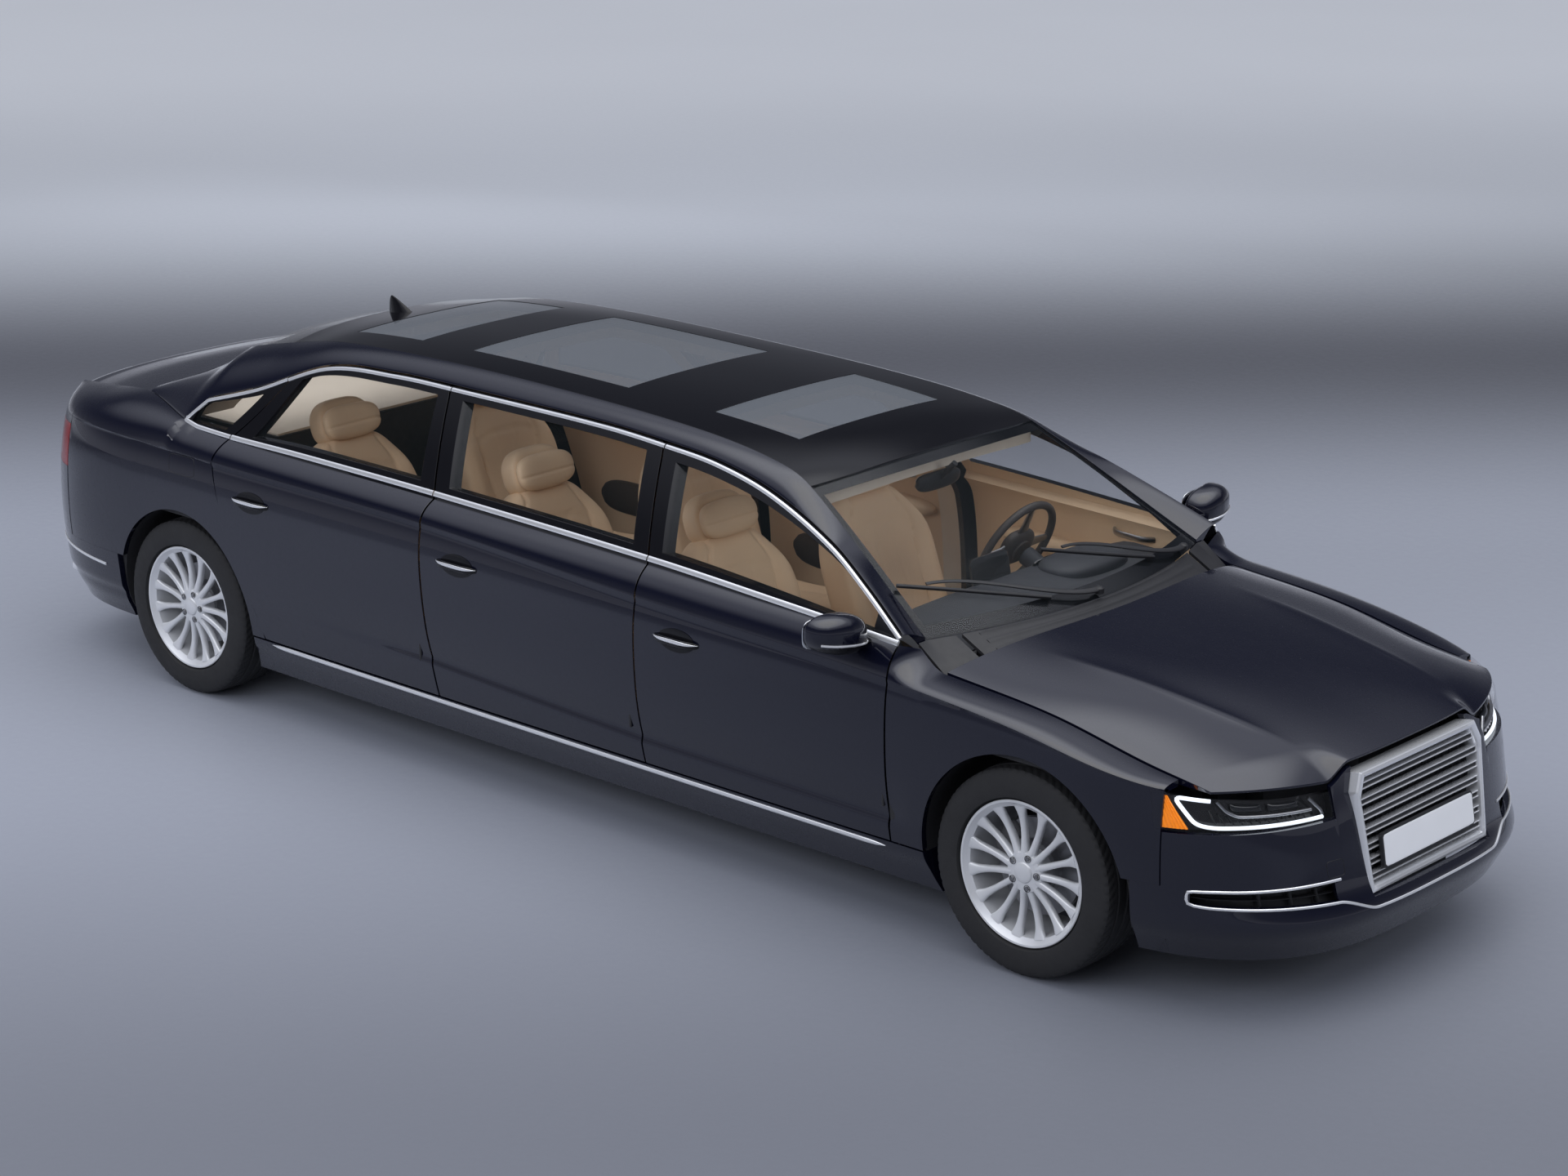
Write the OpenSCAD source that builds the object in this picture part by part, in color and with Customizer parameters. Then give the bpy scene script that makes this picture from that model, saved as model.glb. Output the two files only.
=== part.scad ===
/* [Overall size] */
// Distance between the axles
wheelbase = 4220; // [3800:10:4600]
// From the front axle to the tip of the nose
front_overhang = 990; // [900:5:1080]
// From the rear axle to the end of the tail
rear_overhang = 1150; // [1050:5:1250]
// Width over the doors, without the mirrors
body_w = 1949; // [1880:1:2020]
// Height of the roof above the ground
body_h = 1495; // [1420:1:1570]

/* [Wheels] */
// Outer radius of a tyre
tyre_r = 356; // [335:1:375]
// Width of a tyre
tyre_w = 255; // [225:1:275]
// Radius of the rim's lip
rim_r = 248; // [225:1:260]
// Distance between the middles of the wheels on an axle
track_w = 1640; // [1600:1:1660]
// Space between a tyre and the edge of its arch
arch_gap = 49; // [40:1:60]
// Spokes in a wheel
spoke_count = 15; // [10:1:18]

/* [Panels] */
// Thickness of a door below its window
door_t = 90; // [70:1:100]
// Thickness of a door's window frame
frame_t = 36; // [28:1:44]
// Thickness of fenders, bumpers and quarter panels
panel_t = 22; // [14:1:30]
// Thickness of the hood and the boot lid
lid_t = 26; // [18:1:34]
// Thickness of the roof
roof_t = 40; // [25:1:50]
// Thickness of the window glass
glass_t = 5; // [4:0.5:7]
// Shut gap between neighbouring moving panels
shut_gap = 7; // [6:0.5:9]

/* [Grille] */
// Chrome slats in the grille
slat_count = 7; // [5:1:9]
// Height of one slat
slat_h = 15; // [9:1:18]

/* [Hidden] */

// Seat clearance between two pieces that are fastened together
seat_gap = 0.3;
// Radial clearance of a pin in its bore
pin_gap = 0.05;
// How far a cut runs past the faces that it opens
overrun = 20;

// Frame: x forward, y to the left, z up, ground at zero, middle of the length at zero
half_w = body_w / 2;
body_len = rear_overhang + wheelbase + front_overhang;
rear_x = rear_overhang - body_len / 2;
front_x = rear_x + wheelbase;
wheel_y = track_w / 2;
arch_r = tyre_r + arch_gap;

// Station s along the body: 0 at the rear axle, 1 at the front axle, -1 and 2 at the two ends
function station_x(s) = s < 0 ? rear_x + s * rear_overhang
    : s > 1 ? front_x + (s - 1) * front_overhang : rear_x + s * wheelbase;
function x_station(x) = x < rear_x ? (x - rear_x) / rear_overhang
    : x > front_x ? 1 + (x - front_x) / front_overhang : (x - rear_x) / wheelbase;

// Smooth curve through the rows of a table: column 0 is the place, column c the value
function row_at(t, x, i = 0) = i >= len(t) - 2 || x < t[i + 1][0] ? i : row_at(t, x, i + 1);
function row_slope(t, i, c) = let (a = max(0, i - 1), b = min(len(t) - 1, i + 1))
    (t[b][c] - t[a][c]) / (t[b][0] - t[a][0]);
function curve(t, x, c = 1) = let (i = row_at(t, x), d = t[i + 1][0] - t[i][0], u = (x - t[i][0]) / d)
    (2 * u^3 - 3 * u^2 + 1) * t[i][c] + (3 * u^2 - 2 * u^3) * t[i + 1][c]
    + (u^3 - 2 * u^2 + u) * d * row_slope(t, i, c) + (u^3 - u^2) * d * row_slope(t, i + 1, c);
function mix(a, b, t) = a + (b - a) * t;
function steps(a, b, n) = [for (i = [0 : n]) mix(a, b, i / n)];
function bend(a, b, c, t) = a * (1 - t)^2 + 2 * b * t * (1 - t) + c * t^2;

// Half width of the body side: height as share of body_h, half width as share of half_w
side_shares = [[0.10, 0.895], [0.167, 0.938], [0.207, 0.966], [0.30, 0.986], [0.40, 0.998],
    [0.52, 0.997], [0.60, 0.985], [0.67, 0.960], [0.72, 0.930]];
// Reach of the nose in front of its start: height share, length as share of front_overhang
nose_shares = [[0.10, 0.860], [0.167, 0.915], [0.215, 0.940], [0.27, 0.900], [0.42, 0.842],
    [0.48, 0.812], [0.525, 0.790], [0.62, 0.720], [0.70, 0.66]];
// Reach of the tail behind its start: height share, length as share of rear_overhang
tail_shares = [[0.10, 0.735], [0.20, 0.787], [0.25, 0.800], [0.37, 0.809], [0.50, 0.803],
    [0.60, 0.788], [0.67, 0.770], [0.71, 0.752], [0.76, 0.735]];
nose_start_share = 1.06;
tail_start_share = -0.191;
nose_power = 3;
tail_power = 3.5;
// Narrowing of the sides from the middle of the body to its ends
barrel_share = 0.012;
nose_x = station_x(nose_start_share);
tail_x = station_x(tail_start_share);

// Shoulder crease: station, height share
crease_shares = [[-1, 0.667], [-0.626, 0.669], [0.038, 0.660], [0.339, 0.654], [0.597, 0.624],
    [0.870, 0.597], [1.06, 0.560], [1.515, 0.512], [1.9, 0.49]];
// Upper edge of the body side at doors and tail: station, y share, height share
belt_shares = [[-0.90, 0.628, 0.708], [-0.626, 0.682, 0.734], [-0.409, 0.718, 0.7505],
    [-0.078, 0.850, 0.730], [0.055, 0.872, 0.713], [0.329, 0.8815, 0.7037], [0.594, 0.895, 0.6896],
    [0.734, 0.906, 0.678], [0.869, 0.915, 0.669]];
// Top of the side windows: station, height share
window_shares = [[-0.078, 0.737], [0.052, 0.8395], [0.135, 0.929], [0.225, 0.9485], [0.315, 0.950],
    [0.487, 0.948], [0.5616, 0.939], [0.623, 0.9264], [0.690, 0.893], [0.768, 0.8247],
    [0.820, 0.7585], [0.869, 0.688]];
// Edge of windshield, roof panel and rear window: station, y share, height share
roof_edge_shares = [[-0.409, 0.667, 0.759], [-0.104, 0.600, 0.8495], [0.0545, 0.5387, 0.938],
    [0.1256, 0.5387, 0.970], [0.244, 0.544, 0.9846], [0.41, 0.549, 0.983], [0.576, 0.5644, 0.968],
    [0.6706, 0.590, 0.942], [0.717, 0.622, 0.907], [0.8703, 0.782, 0.662]];
// Middle line of the roof: station, height share
roof_shares = [[0.035, 0.954], [0.126, 0.986], [0.244, 1.0], [0.41, 0.999], [0.576, 0.982],
    [0.6706, 0.961], [0.735, 0.929]];
// Middle line of the hood and its drop to the shut line: station, height share, drop share
hood_shares = [[0.87, 0.665, 0.048], [0.924, 0.650, 0.046], [1.06, 0.6254, 0.047],
    [1.414, 0.592, 0.0605], [1.667, 0.5585, 0.053], [1.859, 0.526, 0.050]];
// Half width of the hood, power of its cross curve, and the rise of the fender beside the windshield
hood_w_share = 0.835;
hood_power = 3.5;
foot_rise_share = 0.040;
foot_tuck_share = 0.03;
hood_rear_share = 0.9005;
// Lean of the side windows and their outward bulge
tumble_share = 0.658;
bulge_share = 0.03;
// Bend of the shoulder between crease and belt: inward share, and softness at the doors and elsewhere
shoulder_in_share = 0.15;
shoulder_soft_shares = [0.4, 0.1];
// Bend of the roof side between the windows and the roof edge: inward and upward share
cant_in_share = 0.3;
cant_rise_share = 0.75;
// Stations of the door shut lines at sill, crease, belt and roof
shut_front_shares = [0.8715, 0.8685, 0.8685, 0.8685];
shut_middle_shares = [0.6045, 0.5955, 0.5925, 0.558];
shut_rear_shares = [0.3515, 0.3315, 0.3290, 0.2940];
shut_back_shares = [0.1140, 0.0440, 0.0475, 0.0975];
foot_share = 0.870;
window_end_share = -0.078;
// Heights of the door bottoms, of the sill's bottom and of the bumper seams, as shares of body_h
door_low_share = 0.2210;
sill_low_share = 0.118;
fender_seam_share = 0.300;
quarter_seam_share = 0.335;

function crease_z(s) = body_h * curve(crease_shares, s);
function nose_len(z) = front_overhang * curve(nose_shares, z / body_h);
function tail_len(z) = rear_overhang * curve(tail_shares, z / body_h);
function end_factor(x, z) = x > nose_x ? max(0, 1 - ((x - nose_x) / nose_len(z))^nose_power)^(1 / nose_power)
    : x < tail_x ? max(0, 1 - ((tail_x - x) / tail_len(z))^tail_power)^(1 / tail_power) : 1;
function barrel(x) = 1 - barrel_share * min(1, (x / nose_x)^2);
function side_y(x, z) = half_w * curve(side_shares, z / body_h) * barrel(x) * end_factor(x, z);
function hood_z(x, y) = let (s = x_station(x)) body_h * (curve(hood_shares, s)
    - curve(hood_shares, s, 2) * (abs(y) / (half_w * hood_w_share))^hood_power);
function fender_top(s) = let (y = half_w * hood_w_share,
    b = max(0, (hood_rear_share - s) / (hood_rear_share - foot_share)))
    [y * (1 - foot_tuck_share * b), hood_z(station_x(s), y) + body_h * foot_rise_share * b^2];
function belt(s) = s > foot_share ? fender_top(s)
    : [half_w * curve(belt_shares, s), body_h * curve(belt_shares, s, 2)];
function window_top(s) = let (b = belt(s)) s < window_end_share ? b
    : let (z = max(b[1], body_h * curve(window_shares, s))) [b[0] - tumble_share * (z - b[1]), z];
function roof_edge(s) = [half_w * curve(roof_edge_shares, s), body_h * curve(roof_edge_shares, s, 2)];

// Point of the left body side. Level h: 0 ground, 1 crease, 2 belt, 3 window top, 4 roof edge
function section(s, h) = h <= 1 ? let (z = h * crease_z(s)) [side_y(station_x(s), z), z]
    : h <= 2 ? let (z = crease_z(s), c = [side_y(station_x(s), z), z], b = belt(s),
        soft = shoulder_soft_shares[s > window_end_share && s < foot_share ? 0 : 1])
        bend(c, [mix(c[0], b[0], shoulder_in_share), mix(b[1], c[1], soft)], b, h - 1)
    : h <= 3 ? let (b = belt(s), w = window_top(s), t = h - 2)
        mix(b, w, t) + [4 * bulge_share * t * (1 - t) * (w[1] - b[1]), 0]
    : let (w = window_top(s), r = roof_edge(s))
        bend(w, [mix(w[0], r[0], cant_in_share), w[1] + cant_rise_share * max(0, r[1] - w[1])], r, h - 3);
// Inward direction of the section at a level
level_step_share = 0.01;
function inward(s, h) = let (e = level_step_share, t = section(s, h + e) - section(s, h - e))
    [-t[1], t[0]] / norm(t);
// Point of the body side at a depth under the skin
function skin(s, h, depth = 0) = let (p = section(s, h) + (depth == 0 ? [0, 0] : depth * inward(s, h)))
    [station_x(s), p[0], p[1]];
// The same with the depth taken straight inwards
function skin_flat(s, h, depth) = let (p = section(s, h)) [station_x(s), p[0] - depth, p[1]];
function level_of(s, z) = z / crease_z(s);

// Closed solid between two grids of points of equal size
module shell(outer, inner) {
    rows = len(outer);
    cols = len(outer[0]);
    n = rows * cols;
    points = concat([for (r = outer) each r], [for (r = inner) each r]);
    quads = concat(
        [for (i = [0 : rows - 2], j = [0 : cols - 2])
            [i * cols + j, i * cols + j + 1, (i + 1) * cols + j + 1, (i + 1) * cols + j]],
        [for (i = [0 : rows - 2], j = [0 : cols - 2])
            [n + i * cols + j, n + (i + 1) * cols + j, n + (i + 1) * cols + j + 1, n + i * cols + j + 1]],
        [for (j = [0 : cols - 2]) [j + 1, j, n + j, n + j + 1]],
        [for (j = [0 : cols - 2]) let (k = (rows - 1) * cols) [k + j, k + j + 1, n + k + j + 1, n + k + j]],
        [for (i = [0 : rows - 2]) [i * cols, (i + 1) * cols, n + (i + 1) * cols, n + i * cols]],
        [for (i = [0 : rows - 2]) let (k = i * cols + cols - 1) [k + cols, k, n + k, n + k + cols]]);
    polyhedron(points, [for (q = quads) each [[q[0], q[1], q[2]], [q[0], q[2], q[3]]]]);
}
module right_side() { mirror([0, 1, 0]) children(); }
module both_sides() { children(); right_side() children(); }

// Doors
// How far a hinge axis lies behind the front edge of its door, where that edge is steep and where it leans
hinge_back = 14;
hinge_back_lean = 36;
// Column names of a door: rear and front shut line, window columns, window as shares, place of the hinge axis
door_rear = 0;
door_front = 1;
door_columns = 2;
door_window_shares = 3;
door_hinge_back = 4;
DOORS = [[shut_middle_shares, shut_front_shares, 10, [0.055, 0.90, 0.13, 0.86], hinge_back],
    [shut_rear_shares, shut_middle_shares, 7, [0.07, 0.93, 0.13, 0.88], hinge_back_lean],
    [shut_back_shares, shut_rear_shares, 8, [0.09, 0.93, 0.13, 0.88], hinge_back_lean]];
// Levels of a door's rows
door_levels = [0, 0.46, 0.62, 0.82, 1, 1.35, 1.7, 2, 2.13, 2.5, 2.88, 3];
door_top_gap = 8;
frame_level = 1.7;
// Level at which a shut line starts to lean
line_start_share = 0.37;
function line_at(line, h) =
    h <= 1 ? mix(line[0], line[1], max(0, (h - line_start_share) / (1 - line_start_share)))
    : h <= 2 ? mix(line[1], line[2], h - 1) : mix(line[2], line[3], h - 2);
function door_station(d, u, h) = mix(line_at(d[door_rear], h), line_at(d[door_front], h), u);
function window_h(s) = window_top(s)[1] - belt(s)[1];
function under_level(s, h, gap) = h > 2 ? 2 + (h - 2) * (1 - gap / window_h(s)) : h;
function door_level(s, h) = h == 0 ? level_of(s, door_low_share * body_h) : under_level(s, h, door_top_gap);
frame_lean_share = 0.33;
function frame_depth(s) = min(frame_t, frame_lean_share * window_h(s));
function door_depth(s, h) = h < frame_level ? door_t
    : h < 2 ? mix(door_t, frame_t, (h - frame_level) / (2 - frame_level))
    : mix(frame_t, frame_depth(s), h - 2);
// Share of half the shut gap in the width of a door
function gap_share(d) = shut_gap / 2 / (station_x(d[door_front][1]) - station_x(d[door_rear][1]));
inner_inset = 32;
function door_grid(d, depth_share, inset) = let (g = gap_share(d) * (1 + 2 * inset / shut_gap))
    [for (h = door_levels) [for (u = steps(g, 1 - g, d[door_columns]))
        let (s = door_station(d, u, h)) skin_flat(s, door_level(s, h), depth_share * door_depth(s, h))]];
module door_slab(d) { shell(door_grid(d, 0, 0), door_grid(d, 1, inner_inset)); }
// Outline of a door's window, seen from the side
function window_point(d, u, t) = let (h = 2 + t, s = door_station(d, u, h), p = skin(s, h)) [p[0], p[2]];
function window_rows(d) = steps(d[door_window_shares][2], d[door_window_shares][3], 3);
function window_cols(d) = steps(d[door_window_shares][0], d[door_window_shares][1], d[door_columns]);
function window_outline(d) = let (us = window_cols(d), ts = window_rows(d), n = len(us) - 1, m = len(ts) - 1)
    concat([for (u = us) window_point(d, u, ts[0])], [for (t = [1 : m]) window_point(d, us[n], ts[t])],
        [for (i = [1 : n]) window_point(d, us[n - i], ts[m])],
        [for (t = [1 : m - 1]) window_point(d, us[0], ts[m - t])]);
module window_prism(d) {
    rotate([90, 0, 0]) translate([0, 0, -half_w]) linear_extrude(half_w) polygon(window_outline(d));
}
glass_depth = 10;
glass_edge_share = 0.0008;
module door_glass(d) {
    w = d[door_window_shares];
    e = glass_edge_share;
    us = steps(w[0] + e, w[1] - e, d[door_columns]);
    ts = steps(w[2] + 2 * e, w[3] - 2 * e, 3);
    outer = [for (t = ts) [for (u = us) skin_flat(door_station(d, u, 2 + t), 2 + t, glass_depth)]];
    inner = [for (t = ts) [for (u = us) skin_flat(door_station(d, u, 2 + t), 2 + t, glass_depth + glass_t)]];
    shell(outer, inner);
}
// Hinges: heights as shares of body_h, pin, arm, and the depth of axis and pocket under the skin
hinge_z_shares = [0.325, 0.465];
hinge_pin_r = 5;
hinge_pin_l = 70;
hinge_arm_h = 26;
hinge_under = 9;
hinge_skin = 4.5;
hinge_arm_l = 150;
hinge_play = 1;
function hinge_point(d) = let (zs = [for (q = hinge_z_shares) q * body_h],
    xs = [for (z = zs) let (s0 = line_at(d[door_front], z / crease_z(d[door_front][1]))) station_x(s0)],
    x = min(xs) - shut_gap / 2 - d[door_hinge_back],
    y = min([for (z = zs) side_y(x, z)]) - hinge_under) [x, y];
module hinge_pockets(d) {
    p = hinge_point(d);
    for (q = hinge_z_shares) translate([p[0], p[1], q * body_h]) {
        cylinder(r = hinge_pin_r + pin_gap, h = hinge_pin_l + 2 * hinge_play, center = true, $fn = 48);
        translate([-hinge_pin_r - hinge_play, -hinge_arm_l, -hinge_arm_h / 2 - hinge_play])
            cube([hinge_arm_l, hinge_arm_l + hinge_under - hinge_skin, hinge_arm_h + 2 * hinge_play]);
        cylinder(r = hinge_pin_r + hinge_play / 2, h = hinge_arm_h + 2 * hinge_play, center = true, $fn = 48);
    }
}
module door_hinge(d, grow = 0) {
    p = hinge_point(d);
    arm = door_t + pillar_clear + hinge_under;
    for (q = hinge_z_shares) translate([p[0], p[1], q * body_h]) {
        cylinder(r = hinge_pin_r, h = hinge_pin_l, center = true, $fn = 48);
        translate([-hinge_pin_r - grow, -arm - grow, -hinge_arm_h / 2 - grow])
            cube([2 * (hinge_pin_r + grow), arm + grow, hinge_arm_h + 2 * grow]);
    }
}
// Handle near the rear edge of a door
handle_share = 0.085;
handle_level_share = 0.89;
handle_l = 215;
handle_h = 30;
handle_out = 26;
handle_bar_t = 12;
module handle(d) {
    s = door_station(d, handle_share, handle_level_share);
    p = skin(s, handle_level_share);
    translate([p[0] + handle_l / 2, p[1], p[2]]) {
        translate([-handle_l / 2, handle_out - handle_bar_t, -handle_h / 2])
            cube([handle_l, handle_bar_t, handle_h]);
        for (e = [-1, 1])
            translate([e * (handle_l - handle_h) / 2 - handle_h / 2, -handle_out, -handle_h / 2])
                cube([handle_h, 2 * handle_out - handle_bar_t / 2, handle_h]);
    }
}
// Mirror housing on the front door
mirror_share = 0.90;
mirror_level_share = 1.85;
mirror_size = [150, 190, 130];
mirror_round = 14;
// Corners of the mirror housing as shares of its size
mirror_corner_shares = [[0.1, 0, 0.1], [0.1, 0, 0.9], [0.1, 1, 0.12], [0.1, 1, 0.85], [0.7, 0.05, 0.15],
    [0.9, 0.3, 0.35], [0.8, 0.6, 0.7], [0.5, 0.95, 0.3], [0.6, 0.1, 0.85]];
mirror_arm = [70, 100, 40];
module mirror_housing(d) {
    p = skin(door_station(d, mirror_share, mirror_level_share), mirror_level_share);
    translate(p) {
        translate([-mirror_arm[0], -mirror_arm[1] / 2, -mirror_arm[2] / 2]) cube(mirror_arm);
        translate([-mirror_arm[0] - mirror_size[0] / 2, mirror_arm[1] / 3, -mirror_arm[2] / 2]) hull()
            for (q = mirror_corner_shares)
                translate([q[0] * mirror_size[0], q[1] * mirror_size[1], q[2] * mirror_size[2]])
                    sphere(r = mirror_round, $fn = 16);
    }
}
module door(i) {
    d = DOORS[i];
    color("midnightblue") difference() {
        union() {
            door_slab(d);
            handle(d);
            if (i == 0) mirror_housing(d);
        }
        window_prism(d);
        hinge_pockets(d);
    }
}
module glass(i) { color("lightslategray", 0.5) door_glass(DOORS[i]); }

// Ends of the roof and the panes: stations in the middle and at the side, low and high end, and their rows
roof_front_shares = [0.732, 0.7165];
roof_rear_shares = [0.043, 0.056];
screen_stations = [0.869, 0.7175];
back_stations = [-0.405, 0.0535];
screen_rows = steps(screen_stations[0], screen_stations[1], 6);
back_rows = concat([back_stations[0], -0.33, -0.25, -0.17, -0.104, window_end_share],
    [-0.03, 0.005, 0.03, back_stations[1]]);
roof_rows = concat(steps(0, 0.21, 6), steps(0.29, 1, 10));

// Side frame: pillars, cant rail and roof side
pillar_clear = 22;
pillar_t = 40;
pillar_half_share = 0.0105;
pillar_behind = 7;
rail_edge = 2.5;
rail_slope_share = 0.6;
rail_free = 15;
rail_over = 2;
strip_levels = [3.003, 3.25, 3.5, 3.75, 4];
strip_stations = concat(back_rows, [for (u = roof_rows) mix(roof_rear_shares[1], roof_front_shares[1], u)],
    [for (i = [1 : len(screen_rows)]) screen_rows[len(screen_rows) - i]]);
// Point under the roof side, straight below its skin and above the doors
function strip_under(s, h) = let (p = section(s, h), w = window_top(s),
    d = rail_edge + rail_slope_share * max(0, w[0] - p[0] - frame_depth(s) - rail_free))
    [station_x(s), p[0], min(w[1] - rail_over, p[1] - d)];
// Depth of a pillar's outer face behind the door, and the levels of its rows
pillar_step_share = 1.8;
function pillar_depth(h) = (h < pillar_step_share ? door_t : frame_t) + pillar_clear;
pillar_levels = [0, 0.42, 0.8, 1, 1.4, 1.75, 2.15, 2.6, 2.95, 3.08];
module pillar(d) {
    shift = -(d[door_hinge_back] + pillar_behind) / wheelbase;
    f = function (h, extra) [for (e = [-1, 1]) let (
        s = line_at(d[door_front], min(3, h)) + e * pillar_half_share + shift)
        skin_flat(s, h == 0 ? level_of(s, sill_top + seat_gap) : h, pillar_depth(h) + extra)];
    shell([for (h = pillar_levels) f(h, 0)], [for (h = pillar_levels) f(h, pillar_t)]);
}
module side_frame() {
    color("black") difference() {
        union() {
            shell([for (h = strip_levels) [for (s = strip_stations) skin(s, h)]],
                [for (h = strip_levels) [for (s = strip_stations) strip_under(s, h)]]);
            pillar(DOORS[1]);
            pillar(DOORS[2]);
        }
        for (d = DOORS) door_hinge(d, seat_gap);
    }
}

// Fenders and quarter panels, column by column between the arch and the upper edge
function arch_z(x, axle) = abs(x - axle) < arch_r ? tyre_r + sqrt(arch_r^2 - (x - axle)^2) : 0;
fender_levels = steps(0, 1, 4);
fender_over_levels = [1.2, 1.4, 1.6, 1.8, 1.97];
arch_turns = [90, 72, 54, 36, 18, 0, -18, -36, -54, -72, -90];
fender_front_share = 1.527;
fender_front = station_x(fender_front_share);
seam_gap = 4;
function fender_low(x) = max(arch_z(x, front_x), (x < front_x ? door_low_share : fender_seam_share) * body_h);
function fender_xs() = let (a = station_x(shut_front_shares[0]) + shut_gap / 2, b = fender_front)
    concat([a, mix(a, front_x - arch_r, 0.5)], [for (t = arch_turns) front_x - arch_r * sin(t)], [b]);
function fender_grid(depth) = let (xs = fender_xs()) concat(
    [for (v = fender_levels) [for (x = xs) let (s = x_station(x), h = level_of(s, fender_low(x)))
        skin(s, mix(h, 1, v), depth)]],
    [for (h = fender_over_levels) [for (x = xs) skin(x_station(x), h, depth)]]);
// Tab that carries a panel on the plate over a wheel
tab_size = [60, 120, 50];
module house_tab(x) {
    y = side_y(x, house_z + tab_size[2]) - panel_t / 2 - tab_size[1];
    translate([x - tab_size[0] / 2, y, house_z + house_top + seat_gap]) cube(tab_size);
}
module fender() {
    color("midnightblue") {
        shell(fender_grid(0), fender_grid(panel_t));
        house_tab(front_x);
    }
}

// Quarter panel: ruled between its lower edge round the arch and its upper edge
tail_lamp_share = -0.674;
quarter_end_share = -0.885;
lamp_top_share = 0.646;
quarter_mid_share = -0.53;
lamp_step_share = 0.005;
quarter_arch_turns = [0, 16, 34, 52, 70, 86, 102, 118, 134, 148];
quarter_rows = 7;
// Levels on the rear door's shut line and stations on the belt that face the points of the lower edge
quarter_line_levels = [0, 0.55, 0.78, 1, 1.4, 2];
quarter_belt_shares = [-0.02, -0.13, -0.24, -0.33, -0.375, quarter_mid_share, -0.668, -0.678,
    quarter_end_share];
quarter_seam_turn = asin((quarter_seam_share * body_h - tyre_r) / arch_r);
function back_station(h) = line_at(shut_back_shares, h) - shut_gap / 2 / wheelbase;
function low_point(x, z) = let (s = x_station(x)) [s, level_of(s, z)];
quarter_low = concat([low_point(rear_x + arch_r, door_low_share * body_h)],
    [for (a = [for (q = quarter_arch_turns) if (q > 0 && q < 180 - quarter_seam_turn) q])
        low_point(rear_x + arch_r * cos(a), tyre_r + arch_r * sin(a))],
    [low_point(rear_x - arch_r * cos(quarter_seam_turn), quarter_seam_share * body_h)],
    [for (s = [quarter_mid_share, tail_lamp_share + lamp_step_share])
        low_point(station_x(s), quarter_seam_share * body_h)],
    [for (s = [tail_lamp_share, quarter_end_share]) low_point(station_x(s), lamp_top_share * body_h)]);
quarter_high = concat(
    [for (h = quarter_line_levels) let (s = back_station(h))
        [s, h == 0 ? level_of(s, door_low_share * body_h) : h]],
    [for (s = quarter_belt_shares) [s, 2]]);
belt_seam_level = 0.012;
function quarter_grid(depth) = [for (v = steps(0, 1, quarter_rows)) [for (k = [0 : len(quarter_low) - 1])
    let (p = mix(quarter_low[k], quarter_high[k], v), h = min(p[1], 2 - belt_seam_level))
        v == 0 ? skin_flat(p[0], h, depth) : skin(p[0], h, depth)]];
// Upper quarter with the small fixed window
c_levels = [2.004, 2.14, 2.4, 2.66, 2.86, 3];
c_columns = 6;
c_window_columns = 5;
c_glass_edge_share = 0.0064;
c_window_shares = [0.30, 0.88, 0.16, 0.84];
function c_station(u, h) = mix(window_end_share, back_station(h), u);
function c_columns_at(e) = steps(c_window_shares[0] + e, c_window_shares[1] - e, c_window_columns);
function c_outline() = let (us = c_columns_at(0), n = c_window_columns)
    concat([for (u = us) [u, c_window_shares[2]]], [for (i = [0 : n]) [us[n - i], c_window_shares[3]]]);
function c_side(u, t) = let (p = skin(c_station(u, 2 + t), 2 + t)) [p[0], p[2]];
c_gap = 6;
function c_grid(depth) = [for (h = c_levels) [for (u = steps(0, 1, c_columns)) let (s = c_station(u, h))
    skin_flat(s, under_level(s, h, c_gap), depth)]];
module c_panel() {
    difference() {
        shell(c_grid(0), c_grid(frame_t));
        rotate([90, 0, 0]) translate([0, 0, -half_w]) linear_extrude(half_w)
            polygon([for (q = c_outline()) c_side(q[0], q[1])]);
    }
}
module c_glass() {
    us = c_columns_at(c_glass_edge_share);
    ts = [c_window_shares[2] + c_glass_edge_share, c_window_shares[3] - c_glass_edge_share];
    shell([for (t = ts) [for (u = us) skin_flat(c_station(u, 2 + t), 2 + t, glass_depth)]],
        [for (t = ts) [for (u = us) skin_flat(c_station(u, 2 + t), 2 + t, glass_depth + glass_t)]]);
}
module quarter() {
    color("midnightblue") {
        shell(quarter_grid(panel_t), quarter_grid(0));
        c_panel();
        house_tab(rear_x);
    }
}
module quarter_glass() { color("lightslategray", 0.5) both_sides() c_glass(); }

// Sills between the arches
sill_inner_share = 0.765;
sill_front_share = 0.8715;
sill_rear_share = 0.1150;
sill_y = half_w * sill_inner_share;
sill_top = door_low_share * body_h - shut_gap;
function sill_grid(inner) = [for (z = steps(sill_low_share * body_h, sill_top, 2))
    [for (s = steps(sill_rear_share, sill_front_share, 10)) let (x = station_x(s))
        [x, inner ? sill_y : side_y(x, z), z]]];
// Jack pads under the sills
pad_shares = [0.165, 0.83];
pad_size = [70, 50, 30];
pad_drop = 16;
pad_y_share = 0.86;
module sills() {
    color("midnightblue") both_sides() {
        shell(sill_grid(false), sill_grid(true));
        for (s = pad_shares)
            translate([station_x(s), pad_y_share * half_w, sill_low_share * body_h - pad_drop])
                translate([-pad_size[0] / 2, -pad_size[1] / 2, 0]) cube(pad_size);
    }
}

// Roof, its glass panels, windshield and rear window
roof_power = 2.4;
roof_cols = steps(-1, 1, 12);
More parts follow.
